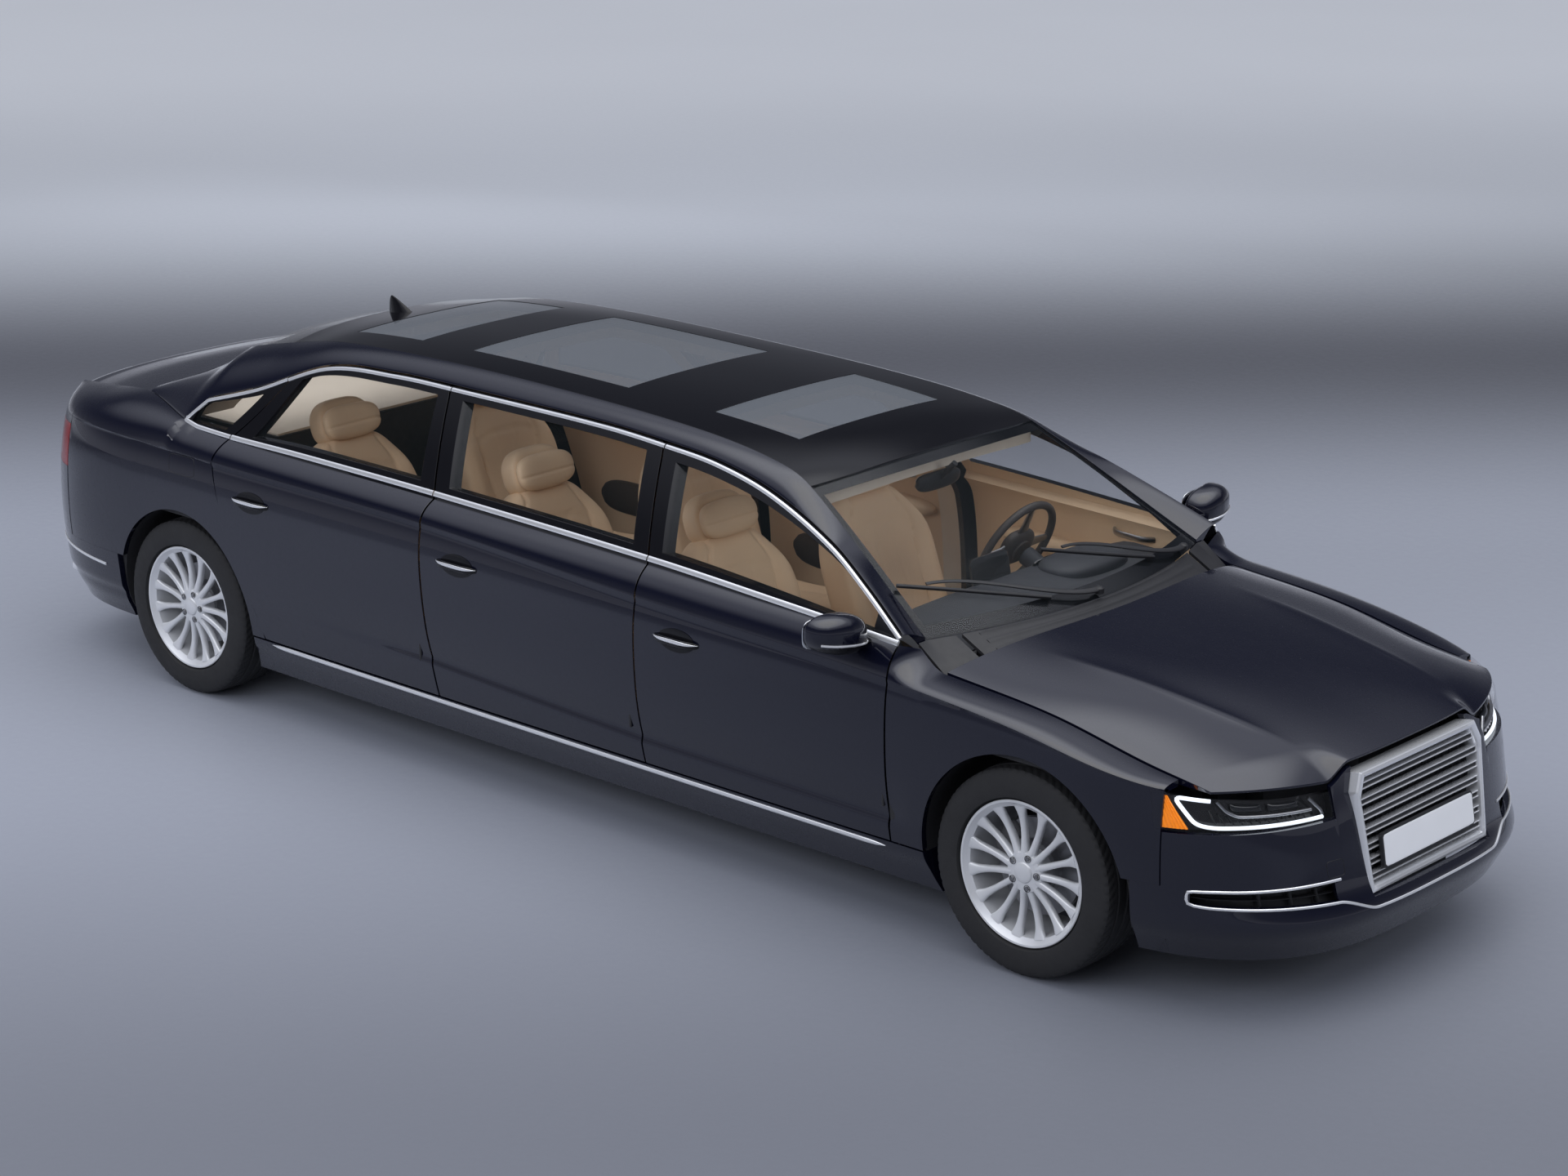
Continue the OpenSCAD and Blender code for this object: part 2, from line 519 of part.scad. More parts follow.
// Panes in the roof: y from and to as shares of half_w, stations from and to
roof_pane_shares = [[-0.39, 0.39, 0.105, 0.195], [-0.39, 0.39, 0.262, 0.458], [-0.39, 0.39, 0.560, 0.656]];
pane_border = 0.4;
pane_depth = 2;
function roof_z(x, y) = let (s = x_station(x), r = roof_edge(s))
    r[1] + (body_h * curve(roof_shares, s) - r[1]) * (1 - min(1, abs(y) / r[0])^roof_power);
function roof_point(u, v, depth) = let (s = mix(mix(roof_rear_shares[0], roof_rear_shares[1], v^2),
    mix(roof_front_shares[0], roof_front_shares[1], v^2), u),
    x = station_x(s), y = v * (roof_edge(s)[0] - seat_gap))
    [x, y, roof_z(x, y) - depth];
module roof_panel() {
    us = roof_rows;
    color("black") difference() {
        shell([for (v = roof_cols) [for (u = us) roof_point(u, v, roof_t)]],
            [for (v = roof_cols) [for (u = us) roof_point(u, v, 0)]]);
        for (p = roof_pane_shares) translate([station_x(p[2]), p[0] * half_w, body_h / 2])
            cube([station_x(p[3]) - station_x(p[2]), (p[1] - p[0]) * half_w, body_h]);
    }
}
module roof_glass() {
    color("lightslategray", 0.5) for (p = roof_pane_shares) {
        xs = steps(station_x(p[2]) + pane_border, station_x(p[3]) - pane_border, 4);
        ys = steps(p[0] * half_w + pane_border, p[1] * half_w - pane_border, 6);
        shell([for (y = ys) [for (x = xs) [x, y, roof_z(x, y) - pane_depth - glass_t]]],
            [for (y = ys) [for (x = xs) [x, y, roof_z(x, y) - pane_depth]]]);
    }
}
screen_t = 7;
// Bow of a pane from its edges to its middle, at its low and high end: x and z as shares of body_h
screen_bow_shares = [[0.105, 0.004], [0.043, 0.022]];
back_bow_shares = [[-0.09, -0.012], [-0.036, 0.016]];
function pane_point(rows, bow, s, v, depth) = let (t = (s - rows[0]) / (rows[len(rows) - 1] - rows[0]),
    r = roof_edge(s), b = mix(bow[0], bow[1], t) * body_h * (1 - v^2))
    [station_x(s) + b[0], v * (r[0] - seat_gap), r[1] + b[1] - depth];
module pane(rows, bow, dir) {
    vs = dir > 0 ? steps(-1, 1, 12) : steps(1, -1, 12);
    shell([for (v = vs) [for (s = rows) pane_point(rows, bow, s, v, 0)]],
        [for (v = vs) [for (s = rows) pane_point(rows, bow, s, v, screen_t)]]);
}
module windshield() { color("lightslategray", 0.5) pane(screen_rows, screen_bow_shares, 1); }
module rear_window() { color("lightslategray", 0.5) pane(back_rows, back_bow_shares, -1); }

// Nose: point at turn t round the plan, at height z, inset under the skin
function nose_point(t, z, inset) = let (w = half_w * curve(side_shares, z / body_h) * barrel(nose_x) - inset,
    l = nose_len(z) - inset)
    [nose_x + l * abs(cos(t))^(2 / nose_power), sign(t) * w * abs(sin(t))^(2 / nose_power), z];
function tail_point(t, z, inset) = let (w = half_w * curve(side_shares, z / body_h) * barrel(tail_x) - inset,
    l = tail_len(z) - inset)
    [tail_x - l * abs(cos(t))^(2 / tail_power), sign(t) * w * abs(sin(t))^(2 / tail_power), z];
function mirrored(ts) = concat([for (i = [1 : len(ts)]) -ts[len(ts) - i]], ts);
// Columns of nose and tail: by their turn at the ends, by their place along the body at the sides
side_turn = 45;
function nose_column(t, z, inset) = abs(t) <= side_turn ? nose_point(t, z, inset)
    : let (x = nose_point(t, fender_seam_share * body_h, 0)[0]) [x, sign(t) * (side_y(x, z) - inset), z];
function tail_column(t, z, inset) = abs(t) <= side_turn ? tail_point(t, z, inset)
    : let (x = tail_point(t, quarter_seam_share * body_h, 0)[0]) [x, sign(t) * (side_y(x, z) - inset), z];
function nose_turn_at(x) = acos(((x - nose_x) / nose_len(fender_seam_share * body_h))^(nose_power / 2));
function tail_turn_at(x) = acos(((tail_x - x) / tail_len(quarter_seam_share * body_h))^(tail_power / 2));
turn_step = 0.15;
seam_turn = nose_turn_at(fender_front + seam_gap);
nose_turn = 18;
lamp_turn = 18.6;
bumper_turns = concat([0.5, 8, 14.5, nose_turn, nose_turn + 2 * turn_step, 30, 40, 50, 58],
    [seam_turn, seam_turn + turn_step, 70, 74.5]);
bumper_low_share = 0.134;
bumper_lamp_share = 0.4205;
bumper_nose_share = 0.513;
bumper_rows = [0, 0.22, 0.4, 0.6, 0.8, 1];
function bumper_top(t) = abs(t) <= nose_turn
    ? min(bumper_nose_share * body_h,
        hood_edge_z(nose_point(abs(t), bumper_nose_share * body_h, 0)[1]) - hood_edge_t - hood_clear)
    : abs(t) < seam_turn + turn_step / 2 ? bumper_lamp_share * body_h : fender_seam_share * body_h - seat_gap;
function bumper_grid(inset) = [for (r = bumper_rows) [for (t = mirrored(bumper_turns))
    nose_column(t, mix(bumper_low_share * body_h, bumper_top(t), r), inset)]];
// Tabs of the bumpers on the beams behind them
bumper_tab = [90, 50, 20];
bumper_tab_y = 450;
module front_tab() {
    z = beam_z + beam_h + seat_gap;
    x = nose_x + (nose_len(z) - panel_t / 2) * end_factor_y(bumper_tab_y / half_w, nose_power);
    translate([x - bumper_tab[0], bumper_tab_y - bumper_tab[1] / 2, z]) cube(bumper_tab);
}
module rear_tab() {
    z = boot_floor_z - tunnel_wall + beam_h + seat_gap;
    x = tail_x - (tail_len(z) - panel_t / 2) * end_factor_y(bumper_tab_y / half_w, tail_power);
    translate([x, bumper_tab_y - bumper_tab[1] / 2, z]) cube(bumper_tab);
}
function end_factor_y(q, power) = (1 - abs(q)^power)^(1 / power);
// Grille: half widths and heights of the frame, as seen from the front
grille_top_share = 0.509;
grille_low_share = 0.242;
grille_top_y_share = 0.378;
grille_low_y_share = 0.352;
grille_chamfer = 60;
grille_frame = 24;
grille_depth = 60;
grille_lean = 10;
grille_x_share = 1.945;
grille_back_t = 8;
function grille_outline(o) = let (z0 = grille_low_share * body_h + o, z1 = grille_top_share * body_h - o,
    y0 = grille_low_y_share * half_w - o, y1 = grille_top_y_share * half_w - o, c = grille_chamfer)
    [[-y0, z0], [y0, z0], [y1, z1 - c], [y1 - c / 2, z1], [-y1 + c / 2, z1], [-y1, z1 - c]];
// Prism of the outline along the leaning axis of the grille, between two depths
module grille_prism(o, from, to) {
    z = grille_low_share * body_h;
    translate([station_x(grille_x_share), 0, z]) rotate([0, -grille_lean, 0]) translate([from, 0, -z])
        rotate([90, 0, 90]) linear_extrude(to - from) polygon(grille_outline(o));
}
module grille() {
    pitch = (grille_top_share - grille_low_share) * body_h / (slat_count + 1);
    color("silver") {
        difference() {
            grille_prism(seat_gap, -grille_depth, 0);
            grille_prism(grille_frame, grille_back_t - grille_depth, grille_depth);
        }
        intersection() {
            grille_prism(grille_frame / 2, -grille_depth, -grille_frame / 2);
            for (k = [1 : slat_count])
                translate([nose_x, -half_w / 2, grille_low_share * body_h + k * pitch - slat_h / 2])
                    cube([front_overhang, half_w, slat_h]);
        }
    }
}
// Lower intakes: half widths and heights of an opening, as seen from the front
intake_shares = [[0.46, 0.250], [0.86, 0.262], [0.885, 0.285], [0.84, 0.302], [0.46, 0.298]];
module front_bumper() {
    color("midnightblue") difference() {
        union() {
            shell(bumper_grid(panel_t), bumper_grid(0));
            both_sides() front_tab();
        }
        grille_prism(0, -3 * grille_depth, 3 * grille_depth);
        both_sides() translate([nose_x, 0, 0]) rotate([90, 0, 90]) linear_extrude(front_overhang)
            polygon([for (q = intake_shares) [q[0] * half_w, q[1] * body_h]]);
    }
}
// Headlamps: turns, and heights of the lower and upper edge from the inner to the outer end
lamp_turns = concat(steps(lamp_turn, side_turn, 5), steps(side_turn + 5, seam_turn, 3));
lamp_low_shares = [[lamp_turn, 0.4207], [side_turn, 0.4215], [seam_turn, 0.4260]];
lamp_high_shares = [[lamp_turn, 0.478], [34, 0.484], [52, 0.497], [seam_turn, 0.512]];
lamp_t = 60;
lamp_end_t = 14;
lamp_slope = 18;
function lamp_top(t) = let (y = nose_point(t, bumper_nose_share * body_h, 0)[1],
    z = body_h * curve(lamp_high_shares, t))
    y > hood_half + shut_gap ? z : min(z, hood_edge_z(min(y, hood_half)) - hood_edge_t - hood_clear);
function lamp_inset(t) = mix(lamp_end_t, lamp_t, min(1, (seam_turn - t) / (seam_turn - side_turn)));
function lamp_grid(depth_share) = [for (r = steps(0, 1, 3)) [for (t = lamp_turns)
    let (low = body_h * curve(lamp_low_shares, t), high = lamp_top(t) - depth_share * lamp_slope)
        nose_column(t, mix(low, high, r), depth_share * lamp_inset(t))]];
module headlamps() { color("whitesmoke") both_sides() shell(lamp_grid(1), lamp_grid(0)); }

// Rear bumper and tail lamps
rear_low_share = 0.148;
rear_mid_share = 0.470;
tail_lamp_low_share = 0.530;
rear_mid_turn = 23.5;
tail_lamp_turn = 27.2;
tail_seam_turn = tail_turn_at(station_x(tail_lamp_share) - seam_gap);
rear_turns = concat([0.5, 10, 18, rear_mid_turn, rear_mid_turn + 2 * turn_step, 35, 45, 55],
    [tail_seam_turn, tail_seam_turn + turn_step, 74, 81, 86.4]);
tail_lamp_turns = concat(steps(tail_lamp_turn, side_turn, 3), steps(side_turn + 6, tail_seam_turn, 2));
function rear_top(t) = body_h * (abs(t) <= rear_mid_turn ? rear_mid_share
    : abs(t) < tail_seam_turn + turn_step / 2 ? tail_lamp_low_share : quarter_seam_share) - seat_gap;
function rear_grid(inset) = [for (r = bumper_rows) [for (t = mirrored(rear_turns))
    tail_column(-t, mix(rear_low_share * body_h, rear_top(t), r), inset)]];
module rear_bumper() {
    color("midnightblue") {
        shell(rear_grid(panel_t), rear_grid(0));
        both_sides() rear_tab();
    }
}
function tail_lamp_inset(t) = mix(lamp_end_t, lamp_t,
    min(1, (t - tail_lamp_turn) / (side_turn - tail_lamp_turn)));
function tail_lamp_grid(depth_share) = [for (r = steps(0, 1, 3)) [for (t = tail_lamp_turns)
    let (z = body_h * mix(tail_lamp_low_share, lamp_top_share, r) - r * seat_gap)
        tail_column(t, z, depth_share * tail_lamp_inset(t))]];
module tail_lamps() { color("firebrick") both_sides() shell(tail_lamp_grid(0), tail_lamp_grid(1)); }

// Hood
hood_rear_mid_share = 0.924;
hood_edge_gap = 6;
hood_edge_t = 8;
hood_clear = 8;
hood_roll_share = 0.032;
hood_roll_start_share = 0.88;
// Half widths between which the front edge drops from the grille to the headlamps
hood_drop_shares = [0.345, 0.450];
function smooth(t) = let (u = min(1, max(0, t))) u * u * (3 - 2 * u);
hood_rows = [0, 0.12, 0.3, 0.5, 0.68, 0.8, 0.88, 0.94, 1];
hood_cols = steps(-1, 1, 16);
hood_front_z_share = 0.515;
hood_half = half_w * hood_w_share - shut_gap;
function hood_front_x(y) = nose_x + nose_len(hood_front_z_share * body_h)
    * end_factor_y(abs(y) / (half_w * curve(side_shares, hood_front_z_share) * barrel(nose_x)), nose_power)
    - hood_edge_gap;
function hood_point(u, v, depth_share) = let (y = v * hood_half,
    x = mix(station_x(mix(hood_rear_mid_share, hood_rear_share, v^2)), hood_front_x(y), u),
    roll = hood_roll(abs(y)) * hood_front(u)^2)
    [x, y, hood_z(x, y) - roll - depth_share * mix(lid_t, hood_edge_t, hood_front(u))];
function hood_front(u) = max(0, (u - hood_roll_start_share) / (1 - hood_roll_start_share));
function hood_roll(y) = let (a = hood_drop_shares[0] * half_w, b = hood_drop_shares[1] * half_w)
    hood_roll_share * body_h * smooth((y - a) / (b - a)) * min(1, (hood_half - y) / (hood_half - b));
function hood_edge_z(y) = hood_point(1, y / hood_half, 0)[2];
// Hinge axis of the hood, under its rear corners
hood_axis_share = 0.8835;
hood_axis_z_share = 0.592;
hood_arm_y_share = 0.66;
hood_arm_t = 14;
hood_pin_r = 6;
hood_pin_l = 40;
hood_eye_r = 14;
hood_axis = [station_x(hood_axis_share), hood_axis_z_share * body_h];
// Depth of an arm's end in its lid, as share of the lid
arm_sink_share = 0.6;
// Heights of the arm's root at the eye as shares of the eye
arm_root_shares = [-0.9, 0.6];
module hood_arm() {
    y = hood_arm_y_share * half_w;
    x0 = hood_axis[0];
    x1 = station_x(hood_rear_share) + 3 * hood_eye_r;
    x2 = x1 + 3 * hood_eye_r;
    z1 = hood_z(x1, y) - lid_t * arm_sink_share;
    z2 = hood_z(x2, y) - lid_t * arm_sink_share;
    translate([0, y + hood_arm_t / 2, 0]) rotate([90, 0, 0]) linear_extrude(hood_arm_t)
        polygon(concat([for (q = arm_root_shares) [x0, hood_axis[1] + q * hood_eye_r]],
            [[x1, z1], [x2, z2], [x2 - hood_eye_r, z1 - 3 * hood_eye_r]]));
    translate([x0, y + hood_arm_t / 2, hood_axis[1]]) rotate([90, 0, 0])
        cylinder(r = hood_eye_r, h = hood_arm_t, $fn = 48);
}
module hood() {
    color("midnightblue") difference() {
        union() {
            shell([for (v = hood_cols) [for (u = hood_rows) hood_point(u, v, 1)]],
                [for (v = hood_cols) [for (u = hood_rows) hood_point(u, v, 0)]]);
            both_sides() hood_arm();
        }
        both_sides() translate([hood_axis[0], hood_arm_y_share * half_w, hood_axis[1]]) rotate([90, 0, 0])
            cylinder(r = hood_pin_r + pin_gap, h = hood_pin_l, center = true, $fn = 48);
    }
}

// Boot lid: deck rows from the rear window to the lip, then the rear face
boot_front_shares = [-0.556, -0.435];
boot_lip_z_share = 0.706;
boot_low_share = 0.480;
boot_deck_shares = [[0, 0.742], [0.5, 0.733], [0.85, 0.716], [1, 0.706]];
boot_face_shares = [0.99, 0.9, 0.75, 0.4, 0];
boot_face_w_share = 0.550;
boot_lip_w_share = 0.616;
boot_gap_share = 0.012;
boot_crown_share = 0.010;
function boot_lip_x(y) = tail_x - tail_len(boot_lip_z_share * body_h)
    * end_factor_y(abs(y) / (half_w * curve(side_shares, boot_lip_z_share) * barrel(tail_x)), tail_power);
function boot_deck(u, v) = let (s0 = mix(boot_front_shares[0], boot_front_shares[1], v^2),
    x = mix(station_x(s0), boot_lip_x(v * half_w * boot_lip_w_share), u),
    y = v * half_w * (curve(belt_shares, x_station(x)) - boot_gap_share))
    [x, y, body_h * (curve(boot_deck_shares, u) - boot_crown_share * v^2)];
function boot_face(r, v) = let (
    z = body_h * mix(boot_low_share, boot_lip_z_share - boot_crown_share * v^2, r),
    y = v * half_w * mix(boot_face_w_share, boot_lip_w_share, r),
    w = half_w * curve(side_shares, z / body_h) * barrel(tail_x))
    [tail_x - tail_len(z) * end_factor_y(abs(y) / w, tail_power), y, z];
boot_cols = steps(-1, 1, 12);
boot_deck_rows = [0, 0.3, 0.6, 0.85, 0.97];
function boot_outer() = [for (v = boot_cols)
    concat([for (u = boot_deck_rows) boot_deck(u, v)], [for (r = boot_face_shares) boot_face(r, v)])];
// Rows of deck and face beyond which the inner side turns round the lip
deck_turn_share = 0.9;
face_turn_share = 0.95;
function boot_inner() = [for (v = boot_cols) concat(
    [for (u = boot_deck_rows) boot_deck(u, v) + [u > deck_turn_share ? lid_t : 0, 0, -lid_t]],
    [for (r = boot_face_shares) boot_face(r, v) + [lid_t, 0, r > face_turn_share ? -lid_t : 0]])];
// Goosenecks of the boot lid: pin, column and row of the lid that they meet, first leg and width
boot_axis_share = -0.409;
boot_axis_z_share = 0.732;
boot_arm_y_share = 0.50;
neck_column_share = 0.72;
neck_row_share = 0.10;
neck_turn = 245;
neck_l = 95;
neck_w = 20;
// Steps in thickness between leg, elbow and eye of a gooseneck
neck_step = 2;
boot_axis = [station_x(boot_axis_share), boot_axis_z_share * body_h];
module neck_bar(from, to, thick) {
    d = to - from;
    translate([from[0], 0, from[1]]) rotate([0, -atan2(d[1], d[0]), 0])
        translate([0, -thick / 2, -neck_w / 2]) cube([norm(d), thick, neck_w]);
}
module neck_disc(at, r, thick) {
    translate([at[0], 0, at[1]]) rotate([90, 0, 0]) cylinder(r = r, h = thick, center = true, $fn = 48);
}
module boot_arm() {
    elbow = boot_axis + neck_l * [cos(neck_turn), sin(neck_turn)];
    seat = boot_deck(neck_row_share, neck_column_share) - [0, 0, lid_t / 2];
    translate([0, boot_arm_y_share * half_w, 0]) {
        neck_bar(boot_axis, elbow, hood_arm_t);
        neck_bar(elbow, [seat[0], seat[2]], hood_arm_t - neck_step);
        neck_disc(elbow, neck_w / 2 + neck_step, hood_arm_t + neck_step);
        neck_disc(boot_axis, hood_eye_r, hood_arm_t + 2 * neck_step);
    }
}
module boot_lid() {
    color("midnightblue") difference() {
        union() {
            shell(boot_outer(), boot_inner());
            both_sides() boot_arm();
        }
        both_sides() translate([boot_axis[0], boot_arm_y_share * half_w, boot_axis[1]]) rotate([90, 0, 0])
            cylinder(r = hood_pin_r + pin_gap, h = hood_pin_l, center = true, $fn = 48);
    }
}

// Cowl between the hood and the windshield, filled down to the top of the firewall
cowl_w_share = 0.76;
cowl_back_gap = 3;
cowl_hood_gap = 12;
cowl_hood_drop = 20;
firewall_top_share = 0.588;
function cowl_back(v, z) = let (
    p = pane_point(screen_rows, screen_bow_shares, screen_rows[0], v * cowl_w_share, screen_t))
    [p[0] + cowl_back_gap, p[1], z == 0 ? p[2] - cowl_back_gap : z];
function cowl_front(v, z) = let (b = cowl_back(v, 0), w = b[1] / hood_half, p = hood_point(0, w, 0))
    [p[0] - cowl_hood_gap, b[1], z == 0 ? p[2] - cowl_hood_drop : z];
module cowl() {
    vs = steps(-1, 1, 10);
    low = firewall_top_share * body_h + seat_gap;
    color("dimgray") {
        shell([for (v = vs) [for (u = [0, 1]) mix(cowl_back(v, low), cowl_front(v, low), u)]],
            [for (v = vs) [for (u = [0, 1]) mix(cowl_back(v, 0), cowl_front(v, 0), u)]]);
    }
}

// Structure under the panels: floor, tunnel, firewall, rails, wheelhouses, boot floor and bumper beams
floor_low_share = 0.104;
floor_t = 30;
tunnel_w = 200;
tunnel_h = 175;
tunnel_wall = 20;
firewall_t = 30;
firewall_share = 0.8744;
bulkhead_share = 0.030;
rail_y = 300;
rail_w = 70;
rail_z = 300;
rail_h = 120;
rail_end_share = 1.81;
support_t = 60;
beam_low_share = 0.300;
beam_h = 70;
beam_t = 190;
beam_turns = steps(0, 52, 6);
rear_beam_turns = steps(0, 36, 4);
house_top = 14;
house_clear = 20;
rear_house_l = 300;
house_edge = 12;
beam_clear = 12;
front_house_y = 455;
rear_house_y = 565;
house_wall = 30;
boot_floor_z_share = 0.268;
boot_floor_end_share = -0.843;
shelf_z_share = 0.667;
shelf_end_share = -0.42;
post_share = 0.8608;
cowl_shelf_l = 190;
cowl_shelf_y_share = 0.60;
bracket_t = 12;
floor_z = floor_low_share * body_h;
floor_top = floor_z + floor_t;
boot_floor_z = boot_floor_z_share * body_h;
house_z = 2 * tyre_r + house_clear;
kick_x = rear_x + arch_r + house_edge;
front_face = station_x(firewall_share);
firewall_top = firewall_top_share * body_h;
tunnel_top = floor_z + tunnel_h;
rail_end = station_x(rail_end_share);
beam_z = beam_low_share * body_h;
shelf_z = shelf_z_share * body_h;
bulkhead_x = station_x(bulkhead_share);
pan_y = sill_y - seat_gap;
module span(x0, x1, y0, y1, z0, z1) { translate([x0, y0, z0]) cube([x1 - x0, y1 - y0, z1 - z0]); }
// Piece of the same section on both sides of the middle plane
module across(x0, x1, y, z0, z1) { span(x0, x1, -y, y, z0, z1); }
// Plate over a wheel, from the inner wall out to the panel that it carries
module house_roof(x0, x1, y0) {
    translate([0, 0, house_z]) linear_extrude(house_top) polygon(concat([[x1, y0], [x0, y0]],
        [for (x = steps(x0, x1, 12)) [x, side_y(x, house_z) - panel_t - house_edge]]));
}
// Wall across the body with a notch in the middle of its lower edge
module notched_wall(x0, x1, y, z0, z1, notch_y, notch_z) {
    difference() {
        across(x0, x1, y, z0, z1);
        across(x0 - overrun, x1 + overrun, notch_y, z0 - overrun, notch_z);
    }
}
module floor_pan() {
    color("gray") both_sides() span(kick_x, front_face, tunnel_w / 2, pan_y, floor_z, floor_top);
}
module tunnel() {
    y = tunnel_w / 2 - seat_gap;
    color("gray")
        notched_wall(kick_x, front_face, y, floor_z, tunnel_top, y - tunnel_wall, tunnel_top - tunnel_wall);
}
// Post of the front door with the sockets of its hinges
module front_post() {
    difference() {
        span(station_x(post_share), front_face + firewall_t,
            pan_y - tunnel_wall, half_w - door_t - 2 * pillar_clear,
            sill_top + seat_gap, firewall_top - tunnel_wall);
        door_hinge(DOORS[0], seat_gap);
    }
}
module firewall() {
    color("gray") {
        notched_wall(front_face - firewall_t, front_face, pan_y - tunnel_wall / 2,
            floor_top + seat_gap, firewall_top, tunnel_w / 2, tunnel_top + seat_gap);
        across(front_face - firewall_t / 2, front_face + cowl_shelf_l, cowl_shelf_y_share * half_w,
            firewall_top - house_top, firewall_top);
        both_sides() front_post();
    }
}
// Rails, legs and roofs of the front wheelhouses, and the beam behind the front bumper
module front_beam() {
    difference() {
        shell([for (z = [0, beam_h]) [for (t = beam_turns) nose_point(t, beam_z + z, panel_t + beam_t)]],
            [for (z = [0, beam_h]) [for (t = beam_turns) nose_point(t, beam_z + z, panel_t + beam_clear)]]);
        grille_prism(-grille_depth, -grille_depth - seat_gap, 3 * grille_depth);
    }
}
module front_frame() {
    color("gray") {
        both_sides() {
            span(front_face + seat_gap, rail_end, rail_y, rail_y + rail_w, rail_z, rail_z + rail_h);
            for (x = [front_x - arch_r, front_x + arch_r])
                span(x - support_t / 2, x + support_t / 2, rail_y + tunnel_wall, front_house_y + tunnel_wall,
                    rail_z + tunnel_wall, house_z + house_top / 2);
            house_roof(front_x - arch_r, front_x + arch_r, front_house_y);
            front_beam();
        }
        across(rail_end - support_t, rail_end, rail_y + rail_w / 2, rail_z - support_t, rail_z + 3 * rail_h);
    }
}
// Boot floor with the heel board, the rear wheelhouses and the beam behind the rear bumper
module rear_beam() {
    z0 = boot_floor_z - tunnel_wall;
    shell([for (z = [z0, z0 + beam_h]) [for (t = rear_beam_turns) tail_point(t, z, panel_t + beam_clear)]],
        [for (z = [z0, z0 + beam_h]) [for (t = rear_beam_turns) tail_point(t, z, panel_t + beam_t)]]);
}
module boot_floor() {
    color("gray") {
        notched_wall(kick_x - firewall_t, kick_x - seat_gap, pan_y, floor_z, boot_floor_z + floor_t,
            tunnel_w / 2 - tunnel_wall, tunnel_top - tunnel_wall);
        across(station_x(boot_floor_end_share), kick_x - firewall_t / 2, rear_house_y + house_wall,
            boot_floor_z, boot_floor_z + floor_t);
        both_sides() {
            rear_beam();
            house_roof(rear_x - rear_house_l, rear_x + rear_house_l, rear_house_y);
            span(rear_x - arch_r, rear_x + arch_r - 2 * house_wall, rear_house_y + tunnel_wall,
                rear_house_y + house_wall, boot_floor_z, house_z + house_top / 2);
        }
    }
}
module bulkhead() {
    color("gray") across(bulkhead_x, bulkhead_x + firewall_t, rear_house_y - seat_gap,
        boot_floor_z + floor_t + seat_gap, shelf_z - seat_gap);
}
module parcel_shelf() {
    color("gray") across(station_x(shelf_end_share), bulkhead_x + firewall_t, rear_house_y,
        shelf_z, shelf_z + house_top);
}
// Brackets with the pins of the hood and the boot lid
module lid_bracket(axis, y, x0, z0) {
    b = y - hood_arm_t / 2 - bracket_t / 2;
    span(x0, axis[0] + hood_eye_r, b - bracket_t, b, z0, axis[1] + hood_eye_r);
    translate([axis[0], b - bracket_t / 2, axis[1]]) rotate([-90, 0, 0])
        cylinder(r = hood_pin_r, h = hood_arm_t + 2 * bracket_t, $fn = 48);
}
module hinges() {
    color("dimgray") both_sides() {
        for (d = DOORS) door_hinge(d);
        lid_bracket(hood_axis, hood_arm_y_share * half_w,
            front_face + seat_gap, hood_axis[1] - 2 * bracket_t);
        lid_bracket(boot_axis, boot_arm_y_share * half_w,
            boot_axis[0] - hood_eye_r, shelf_z + house_top + seat_gap);
    }
}

// Cabin fittings
dash_depth = 330;
dash_y_share = 0.735;
wheel_lean = 25;
wheel_axis_y = 370;
wheel_axis_share = 0.7465;
wheel_axis_z_share = 0.635;
wheel_ring_r = 185;
wheel_tube_r = 15;
hub_r = 45;
hub_t = 50;
wheel_spoke_w = 33;
wheel_spoke_turns = [90, 270, 360];
hub_bore_share = 1.25;
column_r = 14;
column_cover_r = 36;
column_l = 260;
module steering_frame() {
    translate([station_x(wheel_axis_share), wheel_axis_y, wheel_axis_z_share * body_h])
        rotate([0, -(90 - wheel_lean), 0]) children();
}
// Outline of the dashboard: distance behind the firewall as share of its depth, height as share of body_h
dash_shares = [[0, 0.46], [0.6, 0.46], [0.85, 0.60], [1, 0.63], [0.9, 0.640], [0.2, 0.640],
    [0, firewall_top_share]];
module dashboard() {
    x1 = front_face - firewall_t - seat_gap;
    color("darkslategray") {
        translate([0, dash_y_share * half_w, 0]) rotate([90, 0, 0]) linear_extrude(2 * dash_y_share * half_w)
            polygon([for (q = dash_shares) [x1 - q[0] * dash_depth, q[1] * body_h]]);
        steering_frame() translate([0, 0, -column_l]) {
            cylinder(r = column_cover_r, h = column_l - hub_t, $fn = 48);
            cylinder(r = column_r, h = column_l, $fn = 48);
        }
    }
}
module steering_wheel() {
    color("black") steering_frame() difference() {
        union() {
            rotate_extrude($fn = 64) translate([wheel_ring_r, 0]) circle(r = wheel_tube_r, $fn = 24);
            translate([0, 0, -hub_t / 2]) cylinder(r = hub_r, h = hub_t, $fn = 48);
            for (a = wheel_spoke_turns) rotate([0, 0, a])
                translate([0, -wheel_spoke_w / 2, -wheel_tube_r / 2])
                    cube([wheel_ring_r, wheel_spoke_w, wheel_tube_r]);
        }
        translate([0, 0, -hub_t]) cylinder(r = column_r + pin_gap, h = hub_bore_share * hub_t, $fn = 48);
    }
}
